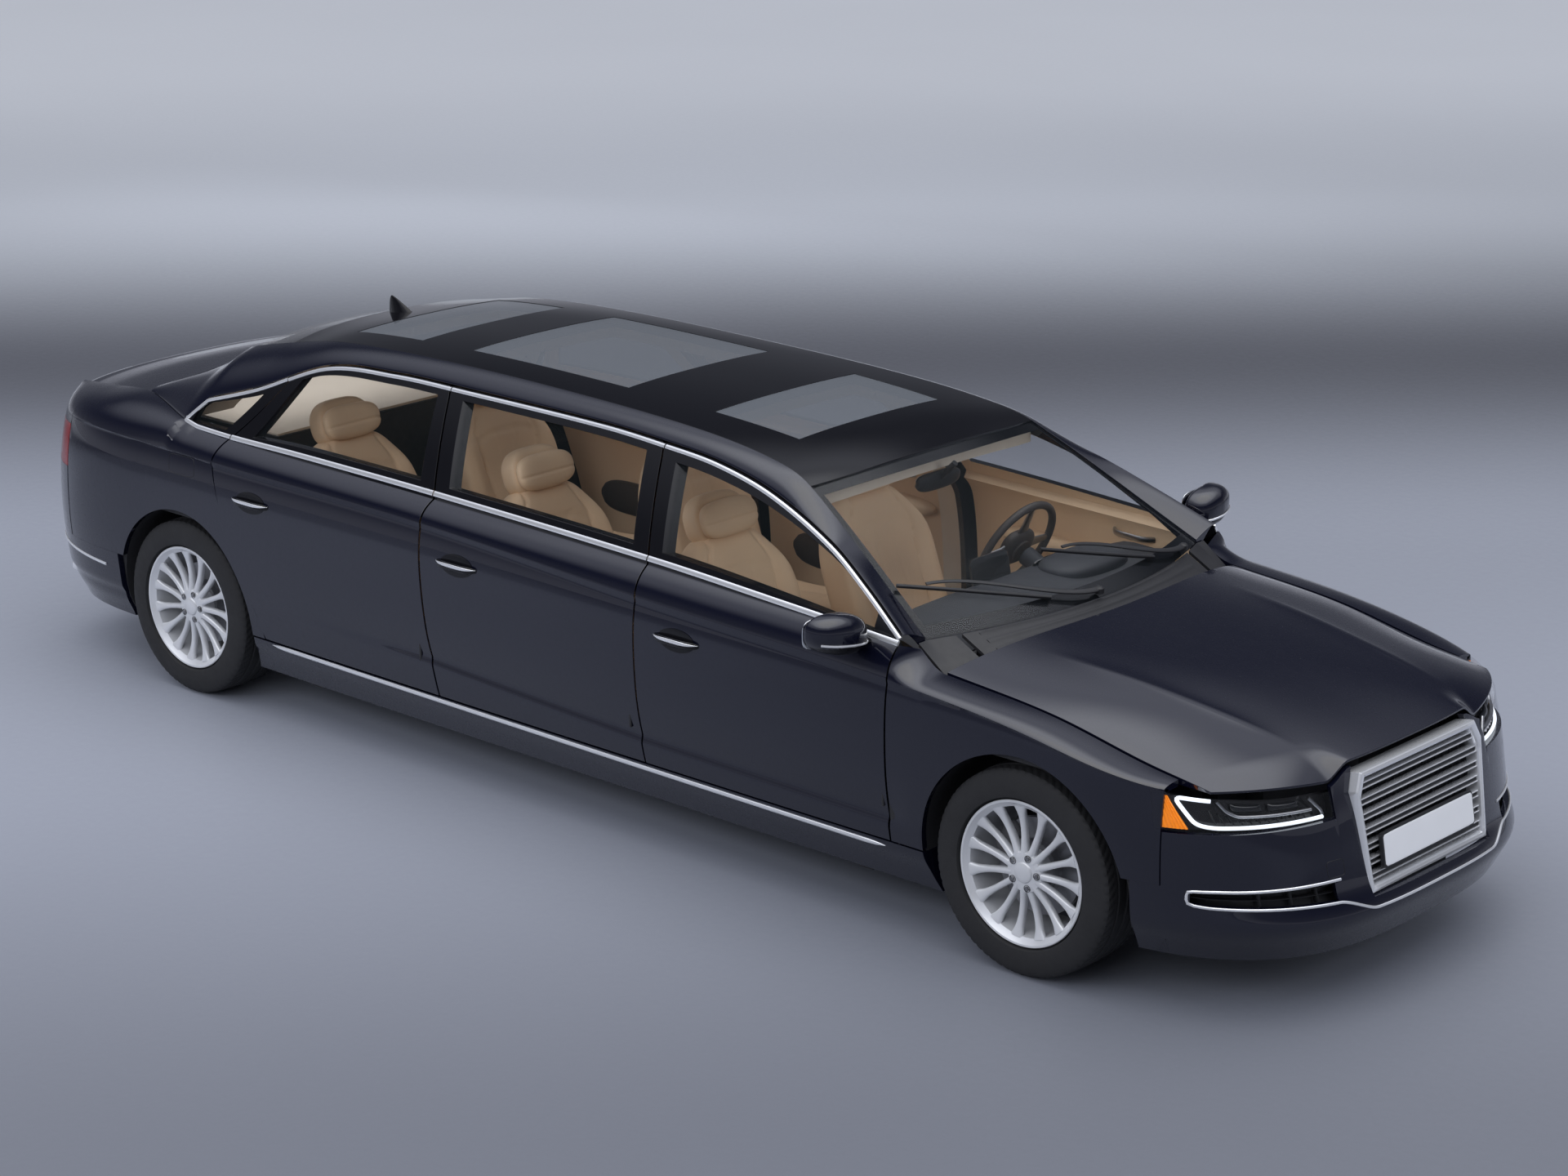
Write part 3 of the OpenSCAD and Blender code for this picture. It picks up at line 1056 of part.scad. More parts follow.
// Stations of the front edges of the seat rows, and the middle of a seat as share of half_w
seat_station_shares = [0.745, 0.522, 0.262];
seat_y_share = 0.395;
seat_w = 530;
seat_l = 520;
seat_back_t = 130;
seat_back_h = 560;
seat_lean = 20;
seat_step = 8;
cushion_h = 150;
seat_base_h = 150;
head_w = 280;
head_h = 170;
head_t = 90;
head_seat = 20;
module seat(i) {
    x = station_x(seat_station_shares[i]) - seat_l;
    color("tan") translate([x, seat_y_share * half_w, floor_top + seat_gap]) {
        across(seat_back_t / 2, seat_l - seat_back_t / 2, seat_w / 3, 0, seat_base_h + cushion_h / 2);
        span(0, seat_l, -seat_w / 2, seat_w / 2, seat_base_h, seat_base_h + cushion_h);
        translate([0, 0, seat_base_h]) rotate([0, -seat_lean, 0]) {
            span(-seat_back_t / 2, seat_back_t / 2, seat_step - seat_w / 2, seat_w / 2 - seat_step,
                seat_step, cushion_h + seat_back_h);
            span(-head_t / 2, head_t / 2, -head_w / 2, head_w / 2,
                cushion_h + seat_back_h - head_seat, cushion_h + seat_back_h + head_h);
        }
    }
}
module seat_row(i) { both_sides() seat(i); }
module front_seats() { seat_row(0); }
module middle_seats() { seat_row(1); }
module rear_seats() { seat_row(2); }
console_w = 190;
console_h = 260;
console_rear_share = 0.12;
module centre_console() {
    z = floor_z + tunnel_h + seat_gap;
    x1 = front_face - firewall_t - dash_depth;
    color("darkslategray") across(station_x(console_rear_share), x1, console_w / 2, z, z + console_h);
}

// Engine and running gear
engine_size = [640, 560, 460];
engine_x_share = 1.16;
subframe_z = 200;
subframe_h = 100;
subframe_l = 500;
subframe_y = 440;
arm_post_w = 90;
arm_t = 30;
arm_low_z = 225;
arm_high_z = 470;
post_w = 50;
kingpin_in = 40;
kingpin_y = wheel_y - kingpin_in;
kingpin_r = 14;
kingpin_eye_r = 24;
module engine() {
    x = station_x(engine_x_share) - engine_size[0] / 2;
    color("gray") translate([x, -engine_size[1] / 2, subframe_z + subframe_h + seat_gap]) cube(engine_size);
}
module front_axle() {
    color("dimgray") {
        across(front_x - subframe_l / 2, front_x + subframe_l / 2, subframe_y,
            subframe_z, subframe_z + subframe_h);
        both_sides() {
            span(front_x - arm_post_w / 2, front_x + arm_post_w / 2, subframe_y - post_w, subframe_y,
                subframe_z, arm_high_z + arm_t);
            for (z = [arm_low_z, arm_high_z]) {
                span(front_x - kingpin_eye_r, front_x + kingpin_eye_r, subframe_y - post_w, kingpin_y,
                    z, z + arm_t);
                translate([front_x, kingpin_y, z]) cylinder(r = kingpin_eye_r, h = arm_t, $fn = 48);
            }
            translate([front_x, kingpin_y, arm_low_z])
                cylinder(r = kingpin_r, h = arm_high_z - arm_low_z + arm_t, $fn = 48);
        }
    }
}
spindle_r = 30;
spindle_out = 75;
spindle_end = wheel_y + spindle_out;
knuckle_gap = 6;
module knuckle() {
    boss_z = arm_low_z + arm_t + knuckle_gap;
    color("dimgray") difference() {
        union() {
            translate([front_x, kingpin_y, boss_z])
                cylinder(r = kingpin_eye_r, h = arm_high_z - knuckle_gap - boss_z, $fn = 48);
            translate([front_x, kingpin_y, tyre_r]) rotate([-90, 0, 0])
                cylinder(r = spindle_r, h = spindle_end - kingpin_y, $fn = 48);
        }
        translate([front_x, kingpin_y, arm_low_z])
            cylinder(r = kingpin_r + pin_gap, h = arm_high_z - arm_low_z + arm_t, $fn = 48);
    }
}
rear_arm_h = 80;
rear_subframe_z = 250;
rear_subframe_h = 90;
module rear_axle() {
    color("dimgray") {
        across(rear_x - subframe_l / 2, rear_x + subframe_l / 2, subframe_y,
            rear_subframe_z, rear_subframe_z + rear_subframe_h);
        both_sides() {
            for (x = [rear_x - subframe_l / 2, rear_x + subframe_l / 2 - post_w])
                span(x, x + post_w, subframe_y - post_w, subframe_y,
                    rear_subframe_z + rear_subframe_h / 2, boot_floor_z - seat_gap);
            span(rear_x - spindle_r, rear_x + spindle_r, subframe_y - post_w, kingpin_y,
                tyre_r - rear_arm_h / 2, tyre_r + rear_arm_h / 2);
            translate([rear_x, kingpin_y - post_w, tyre_r]) rotate([-90, 0, 0])
                cylinder(r = spindle_r, h = spindle_end - kingpin_y + post_w, $fn = 48);
        }
    }
}
pipe_r = 27;
pipe_y = 42;
pipe_z = 222;
pipe_front_share = 0.80;
silencer_size = [420, 240, 190];
silencer_share = -0.38;
silencer_y = 380;
module exhaust() {
    x = station_x(silencer_share);
    color("silver") both_sides() {
        translate([x - silencer_size[0], 0, boot_floor_z - seat_gap - silencer_size[2]]) {
            translate([0, silencer_y - silencer_size[1] / 2, 0]) cube(silencer_size);
            translate([silencer_size[0] / 2, 0, 0])
                cube([silencer_size[0] / 2, silencer_y, silencer_size[2] / 3]);
        }
        translate([x - pipe_r, pipe_y, pipe_z]) rotate([0, 90, 0])
            cylinder(r = pipe_r, h = station_x(pipe_front_share) - x, $fn = 48);
    }
}

// Wheels, with the axis along y and the outer side towards +y
rim_wall = 10;
rim_drop = 16;
rim_out_in = 10.5;
rim_in_in = 7.5;
rim_out = wheel_y + tyre_w / 2 - rim_out_in;
rim_in = wheel_y - tyre_w / 2 + rim_in_in;
disc_r = 165;
disc_t = 24;
disc_in = 5;
disc_y = wheel_y - disc_in;
wheel_hub_r = 75;
spoke_t = 32;
spoke_in = 5;
spoke_foot = 17;
spoke_waist = 13;
spoke_flare = 40;
spoke_start_share = 0.8;
spoke_waist_share = 0.6;
cap_t = 14;
module spoke() {
    r0 = wheel_hub_r * spoke_start_share;
    r2 = rim_r - rim_drop - rim_wall / 2;
    r1 = mix(r0, r2, spoke_waist_share);
    half = [[r0, spoke_foot / 2], [r1, spoke_waist / 2], [r2, spoke_flare / 2]];
    linear_extrude(spoke_t) polygon(concat([for (q = half) [q[0], -q[1]]], [for (i = [0 : 2]) half[2 - i]]));
}
module rim() {
    well_r = rim_r - rim_drop;
    rotate_extrude($fn = 96) polygon([[well_r - rim_wall, rim_in], [rim_r, rim_in],
        [rim_r, rim_in + rim_wall], [well_r, rim_in + rim_wall], [well_r, rim_out - rim_wall],
        [rim_r, rim_out - rim_wall],
        [rim_r, rim_out], [well_r - rim_wall, rim_out - rim_wall]]);
}
module wheel_shape() {
    face = rim_out - rim_wall;
    color("silver") rotate([-90, 0, 0]) difference() {
        union() {
            rim();
            for (k = [0 : spoke_count - 1]) rotate([0, 0, 360 / spoke_count * k])
                translate([0, 0, face - spoke_t - spoke_in]) spoke();
            translate([0, 0, disc_y]) cylinder(r = wheel_hub_r, h = face - spoke_in / 2 - disc_y, $fn = 64);
            translate([0, 0, disc_y]) cylinder(r = disc_r, h = disc_t, $fn = 64);
        }
        translate([0, 0, disc_y - overrun])
            cylinder(r = spindle_r + pin_gap, h = spindle_end - disc_y + overrun + cap_t / 2, $fn = 48);
    }
}
module on_side(side) {
    if (side > 0) children();
    else right_side() children();
}
module wheel_at(x, side) { translate([x, 0, tyre_r]) on_side(side) wheel_shape(); }
tyre_bead = 20;
tyre_shoulder = 34;
// Shoulder line: drop under the tread and two places in from the side, as shares of tyre_shoulder
tyre_shoulder_shares = [0.25, 0.6, 1.4];
module tyre_shape() {
    r0 = rim_r - rim_drop + seat_gap;
    q = tyre_shoulder * tyre_shoulder_shares;
    half = [[r0, rim_in + rim_wall + seat_gap], [rim_r + tyre_bead / 2, rim_in + rim_wall + seat_gap],
        [rim_r + tyre_bead, wheel_y - tyre_w / 2], [tyre_r - tyre_shoulder, wheel_y - tyre_w / 2],
        [tyre_r - q[0], wheel_y - tyre_w / 2 + q[1]], [tyre_r, wheel_y - tyre_w / 2 + q[2]]];
    other = [[tyre_r, wheel_y + tyre_w / 2 - q[2]], [tyre_r - q[0], wheel_y + tyre_w / 2 - q[1]],
        [tyre_r - tyre_shoulder, wheel_y + tyre_w / 2], [rim_r + tyre_bead, wheel_y + tyre_w / 2],
        [rim_r + tyre_bead / 2, rim_out - rim_wall - seat_gap], [r0, rim_out - rim_wall - seat_gap]];
    color("black") rotate([-90, 0, 0]) rotate_extrude($fn = 96) polygon(concat(half, other));
}
module tyre_at(x, side) { translate([x, 0, tyre_r]) on_side(side) tyre_shape(); }

module knuckle_right() { right_side() knuckle(); }
module knuckle_left() { knuckle(); }
module wheel_front_right() { wheel_at(front_x, -1); }
module wheel_front_left() { wheel_at(front_x, 1); }
module wheel_rear_right() { wheel_at(rear_x, -1); }
module wheel_rear_left() { wheel_at(rear_x, 1); }
module tyre_front_right() { tyre_at(front_x, -1); }
module tyre_front_left() { tyre_at(front_x, 1); }
module tyre_rear_right() { tyre_at(rear_x, -1); }
module tyre_rear_left() { tyre_at(rear_x, 1); }
module quarter_right() { right_side() quarter(); }
module quarter_left() { quarter(); }
module fender_right() { right_side() fender(); }
module fender_left() { fender(); }
module side_frame_right() { right_side() side_frame(); }
module side_frame_left() { side_frame(); }
module door_front_right() { right_side() door(0); }
module door_front_left() { door(0); }
module door_middle_right() { right_side() door(1); }
module door_middle_left() { door(1); }
module door_rear_right() { right_side() door(2); }
module door_rear_left() { door(2); }
module glass_front_right() { right_side() glass(0); }
module glass_front_left() { glass(0); }
module glass_middle_right() { right_side() glass(1); }
module glass_middle_left() { glass(1); }
module glass_rear_right() { right_side() glass(2); }
module glass_rear_left() { glass(2); }

floor_pan();
tunnel();
firewall();
front_frame();
boot_floor();
bulkhead();
parcel_shelf();
sills();
side_frame_right();
side_frame_left();
roof_panel();
roof_glass();
windshield();
rear_window();
fender_right();
fender_left();
quarter_right();
quarter_left();
quarter_glass();
front_bumper();
grille();
headlamps();
rear_bumper();
tail_lamps();
cowl();
dashboard();
steering_wheel();
centre_console();
front_seats();
middle_seats();
rear_seats();
engine();
front_axle();
rear_axle();
exhaust();
hinges();
knuckle_right();
knuckle_left();
wheel_front_right();
wheel_front_left();
wheel_rear_right();
wheel_rear_left();
tyre_front_right();
tyre_front_left();
tyre_rear_right();
tyre_rear_left();
door_front_right();
door_front_left();
door_middle_right();
door_middle_left();
door_rear_right();
door_rear_left();
glass_front_right();
glass_front_left();
glass_middle_right();
glass_middle_left();
glass_rear_right();
glass_rear_left();
hood();
boot_lid();
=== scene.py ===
"""Six-door stretch limousine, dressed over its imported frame. Metres, x forward, y to the left, z up."""
from functools import partial
from math import radians

import bmesh
import bpy
import numpy as np
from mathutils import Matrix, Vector


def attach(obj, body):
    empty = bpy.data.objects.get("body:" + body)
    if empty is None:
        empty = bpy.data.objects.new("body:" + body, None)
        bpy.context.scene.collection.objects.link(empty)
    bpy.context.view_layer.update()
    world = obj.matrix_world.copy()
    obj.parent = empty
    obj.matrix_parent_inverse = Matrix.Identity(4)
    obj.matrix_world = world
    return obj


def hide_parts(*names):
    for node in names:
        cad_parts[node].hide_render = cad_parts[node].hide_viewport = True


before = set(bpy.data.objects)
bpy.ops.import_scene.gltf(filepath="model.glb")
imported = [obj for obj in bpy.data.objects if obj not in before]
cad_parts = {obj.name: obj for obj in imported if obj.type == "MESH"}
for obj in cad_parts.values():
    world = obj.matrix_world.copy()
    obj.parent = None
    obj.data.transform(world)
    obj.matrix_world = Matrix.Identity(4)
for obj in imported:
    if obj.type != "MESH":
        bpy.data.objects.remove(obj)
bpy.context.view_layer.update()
SIDES = (("left", 1), ("right", -1))
WELD = 1e-6

# Driving dimensions
wheelbase = 4.220
front_overhang = 0.990
rear_overhang = 1.150
body_h = 1.495
half_w = 1.949 / 2
tyre_r = 0.356
tyre_w = 0.255
wheel_y = 0.820
arch_r = tyre_r + 0.049
door_t = 0.090
frame_t = 0.036
panel_t = 0.022
lid_t = 0.026
roof_t = 0.040
glass_t = 0.005
shut_gap = 0.007
touch = 0.0003
rear_x = rear_overhang - (rear_overhang + wheelbase + front_overhang) / 2
front_x = rear_x + wheelbase
AXLES = (("front", front_x), ("rear", rear_x))

# Body curves: the first column is the place, the others are shares of the driving dimensions
SIDE_SHARES = [[0.10, 0.895], [0.167, 0.938], [0.207, 0.966], [0.30, 0.986], [0.40, 0.998],
               [0.52, 0.997], [0.60, 0.985], [0.67, 0.960], [0.72, 0.930]]
NOSE_SHARES = [[0.10, 0.860], [0.167, 0.915], [0.215, 0.940], [0.27, 0.900], [0.42, 0.842],
               [0.48, 0.812], [0.525, 0.790], [0.62, 0.720], [0.70, 0.66]]
TAIL_SHARES = [[0.10, 0.735], [0.20, 0.787], [0.25, 0.800], [0.37, 0.809], [0.50, 0.803],
               [0.60, 0.788], [0.67, 0.770], [0.71, 0.752], [0.76, 0.735]]
CREASE_SHARES = [[-1, 0.667], [-0.626, 0.669], [0.038, 0.660], [0.339, 0.654], [0.597, 0.624],
                 [0.870, 0.597], [1.06, 0.560], [1.515, 0.512], [1.9, 0.49]]
BELT_SHARES = [[-0.90, 0.628, 0.708], [-0.626, 0.682, 0.734], [-0.409, 0.718, 0.7505],
               [-0.078, 0.850, 0.730], [0.055, 0.872, 0.713], [0.329, 0.8815, 0.7037],
               [0.594, 0.895, 0.6896], [0.734, 0.906, 0.678], [0.869, 0.915, 0.669]]
WINDOW_SHARES = [[-0.078, 0.737], [0.052, 0.8395], [0.135, 0.929], [0.225, 0.9485], [0.315, 0.950],
                 [0.487, 0.948], [0.5616, 0.939], [0.623, 0.9264], [0.690, 0.893], [0.768, 0.8247],
                 [0.820, 0.7585], [0.869, 0.688]]
ROOF_EDGE_SHARES = [[-0.409, 0.667, 0.759], [-0.104, 0.600, 0.8495], [0.0545, 0.5387, 0.938],
                    [0.1256, 0.5387, 0.970], [0.244, 0.544, 0.9846], [0.41, 0.549, 0.983],
                    [0.576, 0.5644, 0.968], [0.6706, 0.590, 0.942], [0.717, 0.622, 0.907],
                    [0.8703, 0.782, 0.662]]
ROOF_SHARES = [[0.035, 0.954], [0.126, 0.986], [0.244, 1.0], [0.41, 0.999], [0.576, 0.982],
               [0.6706, 0.961], [0.735, 0.929]]
HOOD_SHARES = [[0.87, 0.665, 0.048], [0.924, 0.650, 0.046], [1.06, 0.6254, 0.047],
               [1.414, 0.592, 0.0605], [1.667, 0.5585, 0.053], [1.859, 0.526, 0.050]]
SHUT_FRONT = [0.8715, 0.8685, 0.8685, 0.8685]
SHUT_MIDDLE = [0.6045, 0.5955, 0.5925, 0.558]
SHUT_REAR = [0.3515, 0.3315, 0.3290, 0.2940]
SHUT_BACK = [0.1140, 0.0440, 0.0475, 0.0975]
DOORS = {"front": (SHUT_MIDDLE, SHUT_FRONT, (0.055, 0.90, 0.13, 0.86)),
         "middle": (SHUT_REAR, SHUT_MIDDLE, (0.07, 0.93, 0.13, 0.88)),
         "rear": (SHUT_BACK, SHUT_REAR, (0.09, 0.93, 0.13, 0.88))}
nose_power = 3.0
tail_power = 3.5
barrel_share = 0.012
hood_w_share = 0.835
hood_power = 3.5
foot_rise_share = 0.040
hood_rear_share = 0.9005
tumble_share = 0.658
bulge_share = 0.03
foot_share = 0.870
window_end = -0.078
door_low_z = 0.2210 * body_h
sill_low_z = 0.118 * body_h
fender_seam_z = 0.300 * body_h
quarter_seam_z = 0.335 * body_h
foot_level = 0.37


def mix(a, b, t):
    """Straight blend from a to b."""
    return a + (b - a) * t


def steps(a, b, n):
    """n + 1 even steps from a to b."""
    return np.linspace(a, b, n + 1)


def runs(*spans):
    """Even steps over spans (start, end, count) that follow on from each other, shared ends once."""
    parts = [steps(*spans[0])] + [steps(*s)[1:] for s in spans[1:]]
    return np.concatenate(parts)


def through(marks, counts):
    """Even steps from mark to mark, with one count of steps or one for each gap."""
    return runs(*zip(marks[:-1], marks[1:], np.broadcast_to(counts, len(marks) - 1)))


def smooth(t):
    """Cubic ease from 0 to 1."""
    u = np.clip(t, 0, 1)
    return u * u * (3 - 2 * u)


def hermite(t, slope, x, c):
    """Cubic pieces through a column of a table, with a slope at each row."""
    i = np.clip(np.searchsorted(t[:, 0], x, side="right") - 1, 0, len(t) - 2)
    d = t[i + 1, 0] - t[i, 0]
    u = (x - t[i, 0]) / d
    return ((2 * u**3 - 3 * u**2 + 1) * t[i, c] + (3 * u**2 - 2 * u**3) * t[i + 1, c]
            + (u**3 - 2 * u**2 + u) * d * slope[i] + (u**3 - u**2) * d * slope[i + 1])


def curve(table, x, c=1):
    """Cubic through the rows of a table, with the slope at a row taken from its two neighbours."""
    t = np.asarray(table, float)
    low = np.maximum(np.arange(len(t)) - 1, 0)
    high = np.minimum(np.arange(len(t)) + 1, len(t) - 1)
    slope = (t[high, c] - t[low, c]) / (t[high, 0] - t[low, 0])
    return hermite(t, slope, np.asarray(x, float), c)


def spline(table, x, c=1):
    """Cubic through the rows of a table whose slopes solve one linear system, so that its bend runs evenly too."""
    t = np.asarray(table, float)
    d = np.diff(t[:, 0])
    v = np.diff(t[:, c]) / d
    k = np.arange(1, len(t) - 1)
    m, right = np.diag(np.full(len(t), 2.0)), np.zeros(len(t))
    m[0, 1] = m[-1, -2] = 1
    m[k, k - 1], m[k, k], m[k, k + 1] = d[1:], 2 * (d[1:] + d[:-1]), d[:-1]
    right[0], right[k], right[-1] = 3 * v[0], 3 * (d[1:] * v[:-1] + d[:-1] * v[1:]), 3 * v[-1]
    return hermite(t, np.linalg.solve(m, right), x, c)


def middles(a):
    """Middles between neighbours in a row of values."""
    return (a[1:] + a[:-1]) / 2


def around(n):
    """n even angles round a circle."""
    return np.arange(n) * 2 * np.pi / n


def grid(a, b):
    """Two rows of values as a grid, the first along its rows."""
    return np.meshgrid(a, b, indexing="ij")


def bend(a, b, c, t):
    """Quadratic curve from a to c pulled towards b."""
    return a * (1 - t)**2 + 2 * b * t * (1 - t) + c * t**2


def pair(a, b):
    """Two arrays as the last axis of one."""
    return np.stack(np.broadcast_arrays(a, b), -1)


def point(x, y, z):
    """Three arrays as the last axis of one."""
    return np.stack(np.broadcast_arrays(x, y, z), -1)


def station_x(s):
    """Place along the body: 0 at the rear axle, 1 at the front axle, -1 and 2 at the ends."""
    s = np.asarray(s, float)
    return np.where(s < 0, rear_x + s * rear_overhang,
                    np.where(s > 1, front_x + (s - 1) * front_overhang, rear_x + s * wheelbase))


def place_x(s):
    """Place of one station as a number."""
    return float(station_x(s))


def x_station(x):
    """Station of a place along the body."""
    x = np.asarray(x, float)
    return np.where(x < rear_x, (x - rear_x) / rear_overhang,
                    np.where(x > front_x, 1 + (x - front_x) / front_overhang, (x - rear_x) / wheelbase))


nose_x = place_x(1.06)
tail_x = place_x(-0.191)


def by_place(table):
    """The same rows with places along the body instead of stations."""
    t = np.asarray(table, float)
    return np.column_stack([station_x(t[:, 0]), t[:, 1:]])


CREASE_LINE = by_place(CREASE_SHARES)
HOOD_LINE = by_place(HOOD_SHARES)


def crease_z(s):
    """Height of the shoulder crease."""
    return body_h * spline(CREASE_LINE, station_x(s))


def nose_len(z):
    """Reach of the nose in front of its start, by height."""
    return front_overhang * curve(NOSE_SHARES, z / body_h)


def tail_len(z):
    """Reach of the tail behind its start, by height."""
    return rear_overhang * curve(TAIL_SHARES, z / body_h)


def barrel(x):
    """Narrowing of the sides towards the ends, by the square of the distance."""
    return 1 - barrel_share * np.minimum(1, (x / nose_x)**2)


def side_y(x, z):
    """Half width: the side curve by height, narrowed along the body and closed by a superellipse at nose and tail."""
    front = np.maximum(0, 1 - (np.maximum(0, x - nose_x) / nose_len(z))**nose_power)**(1 / nose_power)
    rear = np.maximum(0, 1 - (np.maximum(0, tail_x - x) / tail_len(z))**tail_power)**(1 / tail_power)
    return half_w * curve(SIDE_SHARES, z / body_h) * barrel(x) * front * rear


def hood_z(x, y):
    """Height of hood and fender tops: middle line less a drop that grows with a power of the half width."""
    drop = spline(HOOD_LINE, x, 2) * (np.abs(y) / (half_w * hood_w_share))**hood_power
    return body_h * (spline(HOOD_LINE, x) - drop)


def belt(s):
    """Upper edge of the body side: the belt along the cabin, the fender's shut line in front of it."""
    y = half_w * hood_w_share
    b = np.maximum(0, (hood_rear_share - s) / (hood_rear_share - foot_share))
    fender = pair(y * (1 - 0.03 * b), hood_z(station_x(s), y) + body_h * foot_rise_share * b**2)
    side = pair(half_w * curve(BELT_SHARES, s), body_h * curve(BELT_SHARES, s, 2))
    return np.where((s > foot_share)[..., None], fender, side)


def window_top(s):
    """Upper edge of the side windows, leaning inwards from the belt."""
    b = belt(s)
    z = np.maximum(b[..., 1], body_h * curve(WINDOW_SHARES, s))
    top = pair(b[..., 0] - tumble_share * (z - b[..., 1]), z)
    return np.where((s < window_end)[..., None], b, top)


def roof_edge(s):
    """Edge of windshield, roof and rear window."""
    return pair(half_w * curve(ROOF_EDGE_SHARES, s), body_h * curve(ROOF_EDGE_SHARES, s, 2))


def section(s, h):
    """Point of the left side at station s and level h: 0 ground, 1 crease, 2 belt, 3 window top, 4 roof edge."""
    s, h = np.broadcast_arrays(np.asarray(s, float), np.asarray(h, float))
    x = station_x(s)
    zc = crease_z(s)
    z = np.minimum(h, 1) * zc
    side = pair(side_y(x, z), z)
    c = pair(side_y(x, zc), zc)
    b = belt(s)
    soft = np.where((s > window_end) & (s < foot_share), 0.4, 0.1)
    pull = pair(mix(c[..., 0], b[..., 0], 0.15), mix(b[..., 1], c[..., 1], soft))
    shoulder = bend(c, pull, b, np.clip(h - 1, 0, 1)[..., None])
    w = window_top(s)
    t = np.clip(h - 2, 0, 1)
    pane = mix(b, w, t[..., None]) + pair(4 * bulge_share * t * (1 - t) * (w[..., 1] - b[..., 1]), 0)
    r = roof_edge(s)
    lift = pair(mix(w[..., 0], r[..., 0], 0.3), w[..., 1] + 0.75 * np.maximum(0, r[..., 1] - w[..., 1]))
    cant = bend(w, lift, r, np.clip(h - 3, 0, 1)[..., None])
    hh = h[..., None]
    return np.where(hh <= 1, side, np.where(hh <= 2, shoulder, np.where(hh <= 3, pane, cant)))


def skin(s, h, depth=0.0):
    """Point of the body side at a depth under the skin, measured square to the section."""
    p = section(s, h)
    if np.any(depth != 0):
        t = section(s, h + 0.01) - section(s, h - 0.01)
        inward = pair(-t[..., 1], t[..., 0]) / np.maximum(1e-9, np.linalg.norm(t, axis=-1))[..., None]
        p = p + inward * np.asarray(depth, float)[..., None]
    return point(station_x(s), p[..., 0], p[..., 1])


def skin_flat(s, h, depth):
    """Point of the body side at a depth measured straight inwards."""
    p = section(s, h)
    return point(station_x(s), p[..., 0] - depth, p[..., 1])


def level_of(s, z):
    """Level of a height under the crease."""
    return z / crease_z(s)


ledge_fall = 0.040


def ledge_z(x):
    """Height of the ledge low on the doors."""
    return np.interp(x, [-1.41, -0.56, 0.52, 1.67], [0.490, 0.482, 0.436, 0.422])


def carve(p):
    """Pressed lines of the side: a hollow under the shoulder crease and one over the low ledge of the doors."""
    x, z = p[..., 0], p[..., 2]
    under = crease_z(x_station(x)) - z
    ends = smooth((x + 2.9) / 0.5) * smooth((2.75 - x) / 0.5)
    hollow = 0.006 * ends * np.where(under > 0, np.exp(-np.abs(under) / 0.055), 0) * smooth(under / 0.006)
    over = z - ledge_z(x)
    along = smooth((x + 1.45) / 0.9) * smooth((1.75 - x) / 0.12)
    ledge = 0.011 * along * np.where(over > 0, np.exp(-over / 0.085), smooth(1 + over / ledge_fall))
    out = p.copy()
    out[..., 1] -= hollow + ledge
    return out


# Mesh building
def grid_quads(rows, cols, keep=None, wrap=False):
    """Quads of a grid of points, row by row, closed along the columns where wrap is set."""
    i, j = grid(np.arange(rows - 1), np.arange(cols if wrap else cols - 1))
    k = (j + 1) % cols
    quads = np.stack([i * cols + j, i * cols + k, (i + 1) * cols + k, (i + 1) * cols + j], -1)
    return quads[keep] if keep is not None else quads.reshape(-1, 4)


def shell_parts(outer, inner, keep=None):
    """Closed wall between two grids: both faces, and a rim along every edge of the cells that are kept."""
    rows, cols = outer.shape[:2]
    keep = np.ones((rows - 1, cols - 1), bool) if keep is None else keep
    n = rows * cols
    index = np.arange(n).reshape(rows, cols)
    front = grid_quads(rows, cols, keep)
    back = front[:, ::-1] + n
    pad = np.pad(keep, 1)
    rims = []
    sides = ((-1, 0, (0, 1), (0, 0)), (1, 0, (1, 0), (1, 1)), (0, 1, (1, 1), (0, 1)), (0, -1, (0, 0), (1, 0)))
    for di, dj, a, b in sides:
        i, j = np.nonzero(keep & ~pad[1 + di:rows + di, 1 + dj:cols + dj])
        first, last = index[i + a[0], j + a[1]], index[i + b[0], j + b[1]]
        rims.append(np.stack([first, last, last + n, first + n], -1))
    quads = np.concatenate([front, back] + rims)
    points = np.concatenate([outer.reshape(-1, 3), inner.reshape(-1, 3)])
    kinds = np.repeat([0, 1, 0], [len(front), len(back), len(quads) - 2 * len(front)])
    a, b, c, d = (points[front[:, m]] for m in range(4))
    side = np.einsum("ij,ij->i", np.cross(c - a, d - b), a - points[back[:, 3]])
    return points, (quads[:, ::-1] if side.sum() < 0 else quads), kinds


def tube(points, kind=0):
    """Grid of points closed along its columns."""
    quads = grid_quads(*points.shape[:2], wrap=True)
    return points.reshape(-1, 3), quads, np.full(len(quads), kind)


